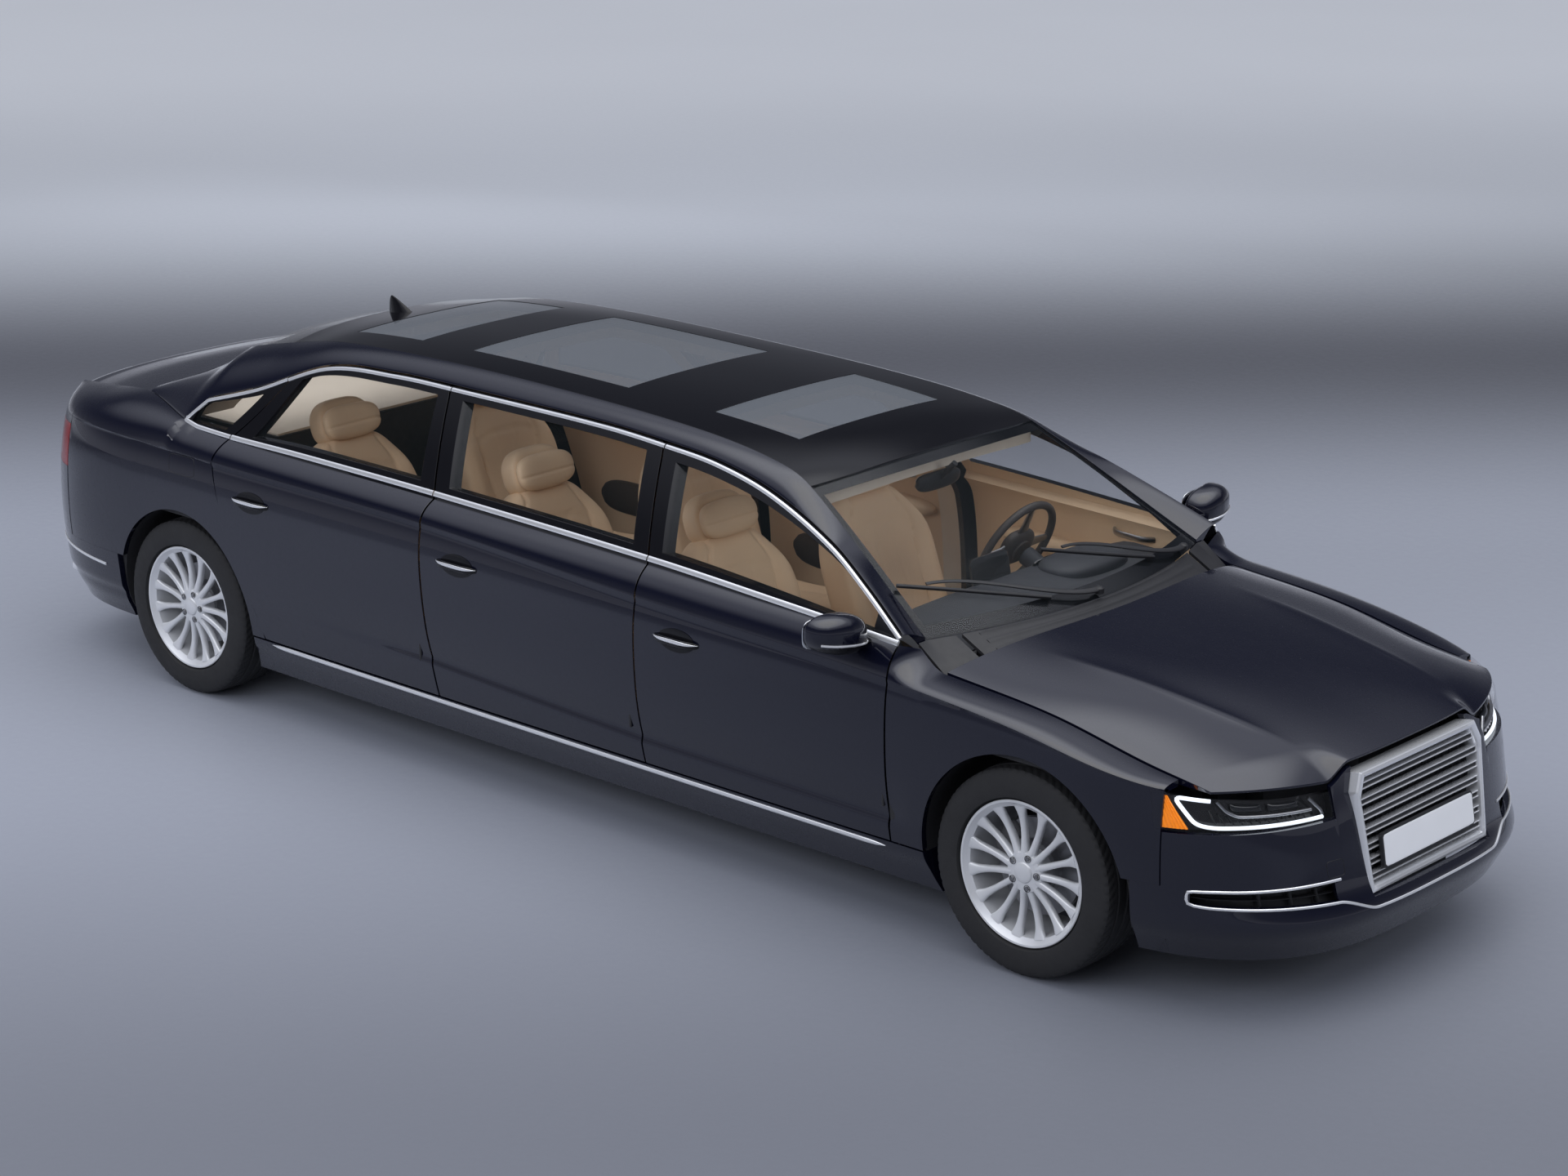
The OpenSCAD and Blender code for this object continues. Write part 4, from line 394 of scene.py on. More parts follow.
def mesh_object(name, points, quads, finishes, kinds=None, bevel=0.0, sharp=38.0, weld=0.0):
    """Object of a list of points and quads; doubles are merged and normals recalculated where weld is set."""
    mesh = bpy.data.meshes.new(name)
    mesh.vertices.add(len(points))
    mesh.vertices.foreach_set("co", np.asarray(points, np.float32).ravel())
    mesh.loops.add(quads.size)
    mesh.loops.foreach_set("vertex_index", quads.astype(np.int32).ravel())
    mesh.polygons.add(len(quads))
    mesh.polygons.foreach_set("loop_start", np.arange(0, quads.size, 4, dtype=np.int32))
    if kinds is not None:
        mesh.polygons.foreach_set("material_index", np.asarray(kinds, np.int32))
    mesh.update(calc_edges=True)
    mesh.validate()
    work = bmesh.new()
    work.from_mesh(mesh)
    if weld:
        bmesh.ops.remove_doubles(work, verts=work.verts, dist=weld)
        bmesh.ops.recalc_face_normals(work, faces=work.faces)
    else:
        bmesh.ops.delete(work, geom=[v for v in work.verts if not v.link_faces], context="VERTS")
    work.to_mesh(mesh)
    work.free()
    mesh.shade_smooth()
    mesh.set_sharp_from_angle(angle=radians(sharp))
    obj = bpy.data.objects.new(name, mesh)
    bpy.context.collection.objects.link(obj)
    for f in finishes:
        mesh.materials.append(f)
    if bevel:
        edge = obj.modifiers.new("edge", "BEVEL")
        edge.width = bevel
        edge.segments = 2
        edge.limit_method = "ANGLE"
        edge.angle_limit = radians(sharp)
        edge.harden_normals = True
    return obj


def join_parts(parts):
    """Points, quads and kinds of several parts as one."""
    counts = np.cumsum([0] + [len(p[0]) for p in parts])
    points = np.concatenate([p[0] for p in parts])
    quads = np.concatenate([p[1] + n for p, n in zip(parts, counts)])
    kinds = np.concatenate([np.broadcast_to(p[2], len(p[1])) for p in parts])
    return points, quads, kinds


def flip(parts, sign):
    """The part as it is, or mirrored to the right side with its faces turned back."""
    points, quads, kinds = parts
    return (points, quads, kinds) if sign > 0 else (points * [1, -1, 1], quads[:, ::-1], kinds)


def mirrored(parts):
    """A part and its mirror image as one."""
    return join_parts([flip(parts, 1), flip(parts, -1)])


def recolour(parts, kind):
    """The same part with one finish."""
    return parts[0], parts[1], np.full(len(parts[1]), kind)


def sweep_parts(path, profile, up, kind=0, closed=False):
    """Profile carried along a path: first axis across the path, second along up, open ends closed by fans."""
    path = np.asarray(path, float)
    profile = np.asarray(profile, float)
    if closed:
        tangent = np.roll(path, -1, 0) - np.roll(path, 1, 0)
    else:
        tangent = np.gradient(path, axis=0)
    tangent /= np.linalg.norm(tangent, axis=1)[:, None]
    up = np.broadcast_to(np.asarray(up, float), path.shape)
    across = np.cross(up, tangent)
    across /= np.linalg.norm(across, axis=1)[:, None]
    rise = np.cross(tangent, across)
    if profile.ndim == 2:
        profile = np.broadcast_to(profile, (len(path),) + profile.shape)
    points = path[:, None] + profile[..., :1] * across[:, None] + profile[..., 1:] * rise[:, None]
    m = profile.shape[1]
    if closed:
        return tube(np.swapaxes(points, 0, 1)[np.r_[0:m, 0]], kind)
    ends = np.stack([points[0].mean(0).repeat(m).reshape(3, m).T, points[-1].mean(0).repeat(m).reshape(3, m).T])
    return tube(np.concatenate([ends[:1], points, ends[1:]]), kind)


def ring(a, b, n=12, power=2.0):
    """Closed profile: a superellipse of half axes a and b."""
    t = around(n)
    c, s = np.cos(t), np.sin(t)
    return pair(a * np.sign(c) * np.abs(c)**(2 / power), b * np.sign(s) * np.abs(s)**(2 / power))


def revolve_parts(profile, middle, count, kind=0):
    """Closed profile of radius and y turned round an axis along y through a middle point."""
    profile = np.asarray(profile, float)
    t = around(count)
    r, y = profile[:, :1], profile[:, 1:]
    return tube(point(middle[0] + r * np.cos(t), middle[1] + y, middle[2] + r * np.sin(t)), kind)


def pad_parts(half, power, n, kind=0):
    """Rounded block: a cube's six faces pushed onto a superellipsoid of half sizes half."""
    a = np.tan(steps(-1, 1, n) * np.pi / 4)
    u, v = grid(a, a)
    one = np.ones_like(u)
    faces = [(one, u, v), (-one, v, u), (v, one, u), (u, -one, v), (u, v, one), (v, u, -one)]
    points = []
    for f in faces:
        p = np.stack(f, -1)
        p = p / (np.abs(p)**power).sum(-1, keepdims=True)**(1 / power)
        points.append((p * half).reshape(-1, 3))
    quads = np.concatenate([grid_quads(n + 1, n + 1) + k * (n + 1)**2 for k in range(6)])
    return np.concatenate(points), quads, np.full(len(quads), kind)


def turned(p, degrees, axis=1):
    """Points turned about an axis through the origin."""
    c, s = np.cos(radians(degrees)), np.sin(radians(degrees))
    i, j = [(1, 2), (2, 0), (0, 1)][axis]
    out = p.copy()
    out[..., i] = c * p[..., i] - s * p[..., j]
    out[..., j] = s * p[..., i] + c * p[..., j]
    return out


def moved(parts, degrees, axis, by):
    """A part turned about an axis and then moved."""
    return turned(parts[0], degrees, axis) + by, parts[1], parts[2]


def pad_at(half, power, n, kind, at, turn=0.0):
    """Rounded block turned about y and set at a place."""
    return moved(pad_parts(half, power, n, kind), turn, 1, at)


# Finishes
def effect(name, inputs, outputs):
    """Empty shader group with named sockets, its ends and its object coordinates."""
    g = bpy.data.node_groups.new(name, "ShaderNodeTree")
    for label, kind, value in inputs:
        g.interface.new_socket(label, in_out="INPUT", socket_type=kind).default_value = value
    for label, kind in outputs:
        g.interface.new_socket(label, in_out="OUTPUT", socket_type=kind)
    return g, g.nodes.new("NodeGroupInput"), g.nodes.new("NodeGroupOutput"), g.nodes.new("ShaderNodeTexCoord")


def add(tree, kind, values=(), **settings):
    """New shader node with the values of its inputs, by label or by place, and its other settings."""
    node = tree.nodes.new("ShaderNode" + kind)
    for key, value in settings.items():
        setattr(node, key, value)
    for key, value in dict(values).items():
        node.inputs[key].default_value = value
    return node


def wire(tree, *links):
    """Links of a node tree, each given as a node, its output, the next node and its input."""
    for a, out, b, socket in links:
        tree.links.new(a.outputs[out], b.inputs[socket])


def grain_effect():
    """Height of a pebbled surface: rounded cells with fine noise over them."""
    g, i, o, c = effect("pebble_grain", [("Scale", "NodeSocketFloat", 400.0), ("Noise", "NodeSocketFloat", 0.4)],
                        [("Height", "NodeSocketFloat")])
    cells = add(g, "TexVoronoi", feature="SMOOTH_F1")
    fine = add(g, "TexNoise", {"Detail": 3})
    blend = add(g, "Mix")
    wire(g, (c, "Object", cells, "Vector"), (c, "Object", fine, "Vector"), (i, "Scale", cells, "Scale"),
         (i, "Scale", fine, "Scale"), (i, "Noise", blend, "Factor"), (cells, "Distance", blend, "A"),
         (fine, "Fac", blend, "B"), (blend, "Result", o, "Height"))
    return g


def tone_effect():
    """Slow change of brightness over a surface: colour times one plus or minus an amount of broad noise."""
    g, i, o, c = effect("broad_tone", [("Color", "NodeSocketColor", (0.5, 0.5, 0.5, 1)),
                                       ("Scale", "NodeSocketFloat", 6.0), ("Amount", "NodeSocketFloat", 0.1)],
                        [("Color", "NodeSocketColor")])
    noise = add(g, "TexNoise", {"Detail": 5})
    span = add(g, "Math", {1: 2.0, 2: -1.0}, operation="MULTIPLY_ADD")
    gain = add(g, "Math", {2: 1.0}, operation="MULTIPLY_ADD")
    tint = add(g, "VectorMath", operation="SCALE")
    wire(g, (c, "Object", noise, "Vector"), (i, "Scale", noise, "Scale"), (noise, "Fac", span, 0), (span, 0, gain, 0),
         (i, "Amount", gain, 1), (i, "Color", tint, 0), (gain, 0, tint, "Scale"), (tint, 0, o, "Color"))
    return g


def rub_effect():
    """Roughness that wanders between two values with streaky noise, as handling and dust leave it."""
    g, i, o, c = effect("rubbed", [("Low", "NodeSocketFloat", 0.2), ("High", "NodeSocketFloat", 0.3),
                                   ("Scale", "NodeSocketFloat", 20.0)], [("Roughness", "NodeSocketFloat")])
    noise = add(g, "TexNoise", {"Detail": 6, "Roughness": 0.65})
    span = add(g, "MapRange", {"From Min": 0.3, "From Max": 0.7})
    wire(g, (c, "Object", noise, "Vector"), (i, "Scale", noise, "Scale"), (noise, "Fac", span, "Value"),
         (i, "Low", span, "To Min"), (i, "High", span, "To Max"), (span, "Result", o, "Roughness"))
    return g


GRAIN, TONE, RUB = grain_effect(), tone_effect(), rub_effect()
RUB_SCALE = 25.0


def finish(name, colour, rough, tone=(6.0, 0.08), grain=None, metal=0.0, **sockets):
    """Material of one colour: broad tone, wandering roughness and, if given, a grain (scale, noise, height)."""
    m = bpy.data.materials.new(name)
    m.use_nodes = True
    tree = m.node_tree
    shader = tree.nodes["Principled BSDF"]
    hue = add(tree, "Group", {"Color": (*colour, 1), "Scale": tone[0], "Amount": tone[1]}, node_tree=TONE)
    rub = add(tree, "Group", {"Low": rough[0], "High": rough[1], "Scale": RUB_SCALE}, node_tree=RUB)
    wire(tree, (hue, "Color", shader, "Base Color"), (rub, "Roughness", shader, "Roughness"))
    shader.inputs["Metallic"].default_value = metal
    for label, value in sockets.items():
        shader.inputs[label.replace("_", " ")].default_value = value
    if grain:
        pebble = add(tree, "Group", {"Scale": grain[0], "Noise": grain[1]}, node_tree=GRAIN)
        bump = add(tree, "Bump", {"Strength": 1.0, "Distance": grain[2]})
        wire(tree, (pebble, "Height", bump, "Height"), (bump, "Normal", shader, "Normal"))
    m.diffuse_color = (*colour, 1)
    return m


def clear(name, colour, cover, rough=(0.0, 0.02), **sockets):
    """Thin clear or tinted pane: a glossy sheet that covers only a share of what lies behind it."""
    return finish(name, colour, rough, tone=(3.0, 0.02), Alpha=cover, IOR=1.5, **sockets)


PAINT = finish("navy_paint", (0.0036, 0.0043, 0.0130), (0.24, 0.30), tone=(900, 0.35), grain=(2400, 0.8, 0.000002),
               metal=0.25, Specular_IOR_Level=0.12, Coat_Weight=1.0, Coat_Roughness=0.02, Coat_IOR=1.66)
BLACK_PAINT = finish("black_lacquer", (0.006, 0.006, 0.0075), (0.06, 0.10), tone=(3, 0.1), Specular_IOR_Level=0.35)
CHROME = finish("chrome", (0.92, 0.93, 0.95), (0.08, 0.14), tone=(12, 0.03), metal=0.70)
SATIN = finish("satin_metal", (0.52, 0.53, 0.55), (0.28, 0.36), tone=(30, 0.05), grain=(2200, 0.9, 0.00002),
               metal=1.0)
ALLOY = finish("wheel_alloy", (0.70, 0.71, 0.73), (0.28, 0.38), tone=(14, 0.04), grain=(2600, 0.9, 0.00001),
               metal=0.40, Coat_Weight=0.5, Coat_Roughness=0.08)
STEEL = finish("brake_steel", (0.36, 0.36, 0.37), (0.28, 0.42), tone=(40, 0.12), grain=(900, 0.9, 0.00006), metal=1.0)
CAST = finish("cast_metal", (0.16, 0.16, 0.165), (0.50, 0.65), tone=(25, 0.15), grain=(700, 0.6, 0.0002), metal=0.6)
RUBBER = finish("tyre_rubber", (0.018, 0.018, 0.019), (0.62, 0.78), tone=(9, 0.15), grain=(1500, 0.7, 0.00005))
TRIM = finish("black_trim", (0.018, 0.018, 0.020), (0.38, 0.50), tone=(8, 0.1), grain=(1300, 0.4, 0.00008))
MESH_BLACK = finish("grille_black", (0.008, 0.008, 0.009), (0.30, 0.42), tone=(10, 0.1), grain=(900, 0.3, 0.0001))
UNDER = finish("underbody", (0.022, 0.022, 0.024), (0.65, 0.82), tone=(5, 0.2), grain=(320, 0.6, 0.0006))
CARPET = finish("carpet", (0.040, 0.036, 0.033), (0.85, 0.95), tone=(18, 0.18), grain=(1100, 0.9, 0.0008))
LEATHER = finish("tan_leather", (0.86, 0.64, 0.42), (0.42, 0.55), tone=(7, 0.07), grain=(520, 0.25, 0.00022),
                 Sheen_Weight=0.08)
LEATHER_DARK = finish("dark_leather", (0.055, 0.048, 0.045), (0.42, 0.55), tone=(7, 0.1), grain=(520, 0.25, 0.00022))
CREAM = finish("headliner_cloth", (0.72, 0.63, 0.51), (0.85, 0.95), tone=(9, 0.05), grain=(1900, 0.5, 0.0002),
               Sheen_Weight=0.15)
DASH = finish("dash_skin", (0.035, 0.038, 0.045), (0.52, 0.64), tone=(6, 0.1), grain=(620, 0.3, 0.00025))
GLASS = clear("window_glass", (0.020, 0.026, 0.028), 0.09)
ROOF_GLASS = clear("roof_glass", (0.17, 0.185, 0.205), 0.66, (0.04, 0.08))
LENS = clear("lamp_lens", (0.030, 0.032, 0.035), 0.09)
RED_LENS = clear("red_lens", (0.30, 0.004, 0.006), 0.62, (0.03, 0.08), Coat_Weight=1.0)
AMBER = finish("amber_lens", (0.90, 0.26, 0.012), (0.10, 0.2), tone=(60, 0.2),
               Emission_Color=(1.0, 0.25, 0.01, 1), Emission_Strength=0.35)
LIGHT_BAR = finish("light_bar", (0.88, 0.92, 1.0), (0.25, 0.35), tone=(40, 0.05),
                   Emission_Color=(0.85, 0.92, 1.0, 1), Emission_Strength=1.0)
MIRROR = finish("mirror_glass", (0.78, 0.80, 0.82), (0.01, 0.02), tone=(5, 0.02), metal=1.0)
SCREEN = finish("dark_screen", (0.010, 0.011, 0.013), (0.08, 0.12), tone=(5, 0.1), Coat_Weight=0.6)
PLATE = finish("blank_plate", (0.74, 0.75, 0.77), (0.30, 0.40), tone=(12, 0.03), grain=(1600, 0.4, 0.00004))

PLAIN_NODES = ("floor_pan", "tunnel", "firewall", "front_frame", "boot_floor", "bulkhead", "parcel_shelf", "hinges")
CAST_NODES = ("engine", "front_axle", "rear_axle", "knuckle_right", "knuckle_left")
for node, look in {**dict.fromkeys(PLAIN_NODES, UNDER), **dict.fromkeys(CAST_NODES, CAST), "exhaust": SATIN}.items():
    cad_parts[node].data.materials.clear()
    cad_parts[node].data.materials.append(look)


def single(name, parts, finishes, slot, nodes=(), body="body", **options):
    """One piece fastened to its body, with the solids that it stands for; the name of its finish, slot, is not used."""
    obj = mesh_object(name, *parts[:2], finishes, parts[2], **options)
    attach(obj, body)
    if nodes:
        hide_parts(*nodes)
    return obj


def both(name, parts, finishes, slot, nodes=(), body="body", **options):
    """A piece on each side: the left one as given, the right one mirrored. Node and body names end in the side."""
    for side, sign in SIDES:
        single(f"{name}_{side}", flip(parts, sign), finishes, slot, [n.format(side=side) for n in nodes],
               body.format(side=side), **options)


# Doors
def line_at(line, h):
    """Station of a shut line at a level: straight pieces from sill to crease, belt and roof."""
    low = mix(line[0], line[1], np.maximum(0, (h - foot_level) / (1 - foot_level)))
    return np.where(h <= 1, low, np.where(h <= 2, mix(line[1], line[2], h - 1), mix(line[2], line[3], h - 2)))


def door_station(door, u, h):
    """Station across a door: u runs from its rear to its front shut line."""
    return mix(line_at(door[0], h), line_at(door[1], h), u)


def window_h(s):
    """Height of the side window at a station."""
    return window_top(s)[..., 1] - belt(s)[..., 1]


def frame_depth(s):
    """Thickness of the frame over a window, thinner where the window is low."""
    return np.minimum(frame_t, 0.33 * window_h(s))


def door_depth(s, h):
    """Thickness of a door by level: full below the belt, thin round the window."""
    low = mix(door_t, frame_t, np.clip((h - 1.7) / 0.3, 0, 1))
    return np.where(h < 2, low, mix(frame_t, frame_depth(s), np.clip(h - 2, 0, 1)))


def ledge_row(s, v):
    """Share of the height up to the crease for a row v: 0.2 lies at the foot of the ledge, 0.3 at its edge."""
    reach = crease_z(s) - door_low_z
    edge = (ledge_z(station_x(s)) - door_low_z) / reach
    foot = edge - ledge_fall / reach
    low = np.where(v < 0.2, foot * v / 0.2, mix(foot, edge, (v - 0.2) / 0.1))
    return np.where(v < 0.3, low, mix(edge, 1, (v - 0.3) / 0.7))


def door_point(door, u, v, depth_share, top_gap=0.008):
    """Point of a door: v is 0 at the bottom, 1 at the crease, 2 at the belt, 3 at the top, clear of the roof side."""
    u, v = np.broadcast_arrays(u, v)
    s = door_station(door, u, np.where(v < 1, mix(foot_level, 1, v), v))
    h = np.where(v < 1, mix(level_of(s, door_low_z), 1, ledge_row(s, v)), v)
    t1 = door[2][3]
    head = 2 + mix(t1, 1 - top_gap / np.maximum(0.02, window_h(s)), np.clip((v - 2 - t1) / (1 - t1), 0, 1))
    h = np.where(v > 2 + t1, np.maximum(head, 2 + 0.5 * t1), h)
    return skin_flat(s, h, depth_share * door_depth(s, h))


def gap_share(door):
    """Half the shut gap as a share of the door's length."""
    return shut_gap / 2 / float(station_x(door[1][1]) - station_x(door[0][1]))


def window_hole(us, vs, window):
    """Cells of a grid of columns and levels that lie in a window."""
    u, v = middles(us), middles(vs)
    w0, w1, t0, t1 = window
    return ((u > w0) & (u < w1))[None] & ((v > 2 + t0) & (v < 2 + t1))[:, None]


def door_parts(door):
    """Door with its window cut: outer skin with pressed lines, inner trim set in from the edges, rim between them."""
    g = gap_share(door)
    w0, w1, t0, t1 = door[2]
    us = runs((g, w0, 6), (w0, w1, 36), (w1, 1 - g, 6))
    vs = runs((0, 0.2, 10), (0.2, 0.3, 8), (0.3, 0.44, 12), (0.44, 1, 26), (1, 2, 20),
              (2, 2 + t0, 3), (2 + t0, 2 + t1, 14), (2 + t1, 3, 4))
    u, v = np.meshgrid(us, vs)
    inset = 0.032 / (shut_gap / 2) * g
    u_in = mix(g + inset, 1 - g - inset, (u - g) / (1 - 2 * g))
    outer = carve(door_point(door, u, v, 0.0))
    inner = door_point(door, u_in, v, 1.0)
    hole = window_hole(us, vs, door[2])
    points, quads, kinds = shell_parts(outer, inner, ~hole)
    upper = np.broadcast_to((middles(vs) > 2)[:, None], hole.shape)[~hole]
    kinds[:len(upper)] = np.where(upper, 2, 0)
    rim = slice(2 * len(upper), None)
    kinds[rim] = np.where(points[quads[rim]][..., 2].mean(1) > points[quads[rim]][..., 2].mean(), 2, 0)
    return points, quads, kinds


def pane_parts(station, window, edges, counts, depth=0.010):
    """Window pane a little inside the opening, under the skin; station gives the place of a column at a level."""
    w0, w1, t0, t1 = window
    u, v = np.meshgrid(steps(w0 + edges[0], w1 - edges[0], counts[0]),
                       steps(2 + t0 + edges[1], 2 + t1 - edges[1], counts[1]))
    s = station(u, v)
    return shell_parts(skin_flat(s, v, depth), skin_flat(s, v, depth + glass_t))


def outward(p, q):
    """Unit vectors from points under the skin to the points on it."""
    d = p - q
    return d / np.linalg.norm(d, axis=-1, keepdims=True)


def strip_parts(s, h, wide, proud, taper=0.0):
    """Bright strip along the side: a flat half-round carried along stations and levels on the skin."""
    p = skin(s, h)
    up = outward(p, skin(s, h, np.full(np.shape(s), 0.01)))
    size = np.ones(len(p))
    if taper:
        run = steps(0, 1, len(p) - 1)
        size = np.minimum(1, np.minimum(run, 1 - run) / taper + 0.15)
    t = steps(0, np.pi, 8)
    root = [[-wide / 2, -0.003], [wide / 2, -0.003]]
    base = np.concatenate([pair(np.cos(t) * wide / 2, np.sin(t)**0.6 * proud), root])
    return sweep_parts(p, base * size[:, None, None] if taper else base, up)


handle_level = 0.89
handle_half = 0.1075


def handle_parts(door):
    """Door handle: a bow whose ends run into the skin, a bright spear along it, and a dark dish behind it."""
    s0 = float(door_station(door, 0.085, np.array(handle_level)))
    t = steps(-1, 1, 40)
    x = place_x(s0) + handle_half + handle_half * t
    s = x_station(x)
    base = skin(s, np.full(x.shape, handle_level))
    base[:, 2] = base[20, 2]
    out = 0.024 * (1 - np.abs(t)**4)
    path = base + point(0 * t, out - 0.004, 0 * t)
    size = (1 - np.abs(t)**6 * 0.65)[:, None, None]
    bow = sweep_parts(path, ring(0.0145, 0.0075, 16, 2.6) * size, (0, 1, 0), 0)
    spear_size = np.maximum(0.05, 1 - np.abs(t)**3)[:, None, None]
    spear = sweep_parts(path + [0, 0.0062, 0.004], ring(0.0068, 0.0034, 12) * spear_size, (0, 1, 0), 1)
    a, r = np.meshgrid(around(48), steps(0, 1, 8))
    dx, dz = 0.086 * r * np.cos(a), 0.041 * r * np.sin(a)
    xx = x[20] + dx
    zz = base[20, 2] + dz
    y = side_y(xx, zz) + 0.0008 - 0.0006 * r**4
    points, quads, kinds = tube(point(xx, y, zz), 2)
    return join_parts([bow, spear, (points, quads[:, ::-1], kinds)])


mirror_power = 2.7
mirror_sweep = 0.22


def mirror_parts():
    """Mirror housing: a superellipsoid drawn out to the side, flat at the back, its glass and a foot on the door."""
    door = DOORS["front"]
    p = skin(door_station(door, 0.90, np.array(1.85)), np.array(1.85))
    middle = p + np.array([-0.040, 0.128, 0.048])
    shell = pad_parts((0.085, 0.112, 0.070), mirror_power, 20)
    q = shell[0].copy()
    q[:, 0] = np.where(q[:, 0] < 0, q[:, 0] * 0.42, q[:, 0])
    q[:, 0] += mirror_sweep * -np.maximum(0, q[:, 1])
    q[:, 2] *= 1 - 1.4 * np.maximum(0, q[:, 1] - 0.02)
    q[:, 2] += 0.12 * q[:, 1]
    kinds = np.where(q[shell[1]][..., 2].mean(1) < -0.028, 2, 0)
    glass = pad_parts((0.004, 0.096, 0.054), 4.0, 10, 3)
    glass[0][:, 0] += -0.036 - mirror_sweep * np.maximum(0, glass[0][:, 1])
    t = steps(0, 1, 10)
    path = p + np.array([-0.030, -0.020, -0.006]) + t[:, None] * np.array([0.010, 0.085, 0.020])
    foot = sweep_parts(path, ring(0.036, 0.011, 16, 2.4), (0, 0, 1), 2)
    line = steps(-0.9, 0.9, 24)
    bow = 0.0865 * (1 - np.abs(line)**mirror_power)**(1 / mirror_power) - mirror_sweep * np.maximum(0, line * 0.11)
    flash = sweep_parts(middle + point(bow, 0.112 * line, -0.024 + 0.013 * line), ring(0.004, 0.003, 8), (1, 0, 0), 1)
    return join_parts([(q + middle, shell[1], kinds), (glass[0] + middle, glass[1], glass[2]), foot, flash])


def armrest_parts(door):
    """Armrest, door pocket and grip on the inner side: rounded profiles carried along the door."""
    u = steps(0.16, 0.86, 30)
    parts = []
    for v, deep, high, kind in ((0.84, 0.055, 0.034, 0), (0.40, 0.030, 0.070, 1)):
        p = door_point(door, u, np.full(u.shape, v), 1.0)
        p[:, 1] -= 0.30 * deep
        t = steps(-1, 1, 30)
        size = (np.maximum(0.05, 1 - np.abs(t)**8)**0.5)[:, None, None]
        parts.append(sweep_parts(p, ring(high, deep, 20, 2.8) * size, (0, 1, 0), kind))
    u = steps(0.62, 0.78, 16)
    grip = door_point(door, u, np.full(u.shape, 1.12), 1.0)
    bow = 1 - steps(-1, 1, 16)**4
    parts.append(sweep_parts(grip - point(0 * u, 0.035 * bow, 0 * u), ring(0.012, 0.007, 12), (0, 1, 0), 2))
    return join_parts(parts)


def surround_parts(station, u, gap, low_wide, high_wide):
    """Bright surround of a side window: a strip along the belt and one a gap under the roof side."""
    low = np.full(u.shape, 2.05)
    s = station(u, low)
    bottom = strip_parts(s, np.where(window_h(s) > 0.02, low, 2.3), low_wide, 0.006)
    s = station(u, np.full(u.shape, 2.9))
    return join_parts([bottom, strip_parts(s, 3 - gap / np.maximum(0.03, window_h(s)), high_wide, 0.006)])


for row, door in DOORS.items():
    body = f"door_{row}_" + "{side}"
    both(f"door_panel_{row}", door_parts(door), [PAINT, LEATHER, BLACK_PAINT], "paint", [body], body, bevel=0.0022)
    station, g = partial(door_station, door), gap_share(door)
    pane = pane_parts(station, door[2], (0.0008, 0.0016), (30, 12))
    strips = surround_parts(station, steps(g, 1 - g, 40), 0.017, 0.021, 0.016)
    both(f"door_pane_{row}", recolour(pane, 0), [GLASS], "glass", [f"glass_{row}_" + "{side}"], body)
    both(f"door_handle_{row}", handle_parts(door), [BLACK_PAINT, CHROME, BLACK_PAINT], "chrome", (), body, weld=WELD)
    both(f"door_trim_{row}", armrest_parts(door), [LEATHER, LEATHER_DARK, SATIN], "leather", (), body, weld=WELD)
    both(f"window_strip_{row}", strips, [CHROME], "chrome", (), body, weld=WELD)
both("door_mirror", mirror_parts(), [PAINT, CHROME, BLACK_PAINT, MIRROR], "paint", (), "door_front_{side}", weld=WELD)


# Fenders, quarter panels and sills
fender_front = place_x(1.527)
seam_gap = 0.004


def arch_z(x, axle):
    """Height of the wheel arch, a circle round the axle."""
    return tyre_r + np.sqrt(np.maximum(0, arch_r**2 - (x - axle)**2))


def round_axle(axle, r, a):
    """Place and height at a radius and an angle about an axle."""
    return axle + r * np.cos(a), tyre_r + r * np.sin(a)


def fender_parts():
    """Front fender: columns from the arch or the lower edge up over the crease to the hood's shut line."""
    start = place_x(SHUT_FRONT[0]) + shut_gap / 2
    turn = np.radians(steps(90, -90, 56))
    xs = np.concatenate([steps(start, front_x - arch_r, 8)[:-1], front_x - arch_r * np.sin(turn),
                         steps(front_x + arch_r, fender_front, 8)[1:]])
    inside = np.abs(xs - front_x) < arch_r - 1e-6
    low = np.maximum(np.where(inside, arch_z(xs, front_x), 0), np.where(xs < front_x, door_low_z, fender_seam_z))
    v = runs((0, 1, 34), (1, 1.97, 26))[:, None]
    s = x_station(xs)
    h = np.where(v < 1, mix(level_of(s, low), 1, np.minimum(v, 1)), v)
    lean = (line_at(SHUT_FRONT, h) - SHUT_FRONT[0]) * np.clip(1 - (xs - start) / (front_x - arch_r - start), 0, 1)
    s = s + lean
    deep = mix(0.006, panel_t, smooth((xs - start) / 0.10))
    return shell_parts(carve(skin(s, h)), skin(s, h, np.broadcast_to(deep, h.shape)))


quarter_seam_turn = np.degrees(np.arcsin((quarter_seam_z - tyre_r) / arch_r))
tail_lamp_share = -0.674
lamp_top_z = 0.646 * body_h


def back_station(h):
    """Rear shut line of the rear door, half a gap behind it."""
    return line_at(SHUT_BACK, h) - shut_gap / 2 / wheelbase


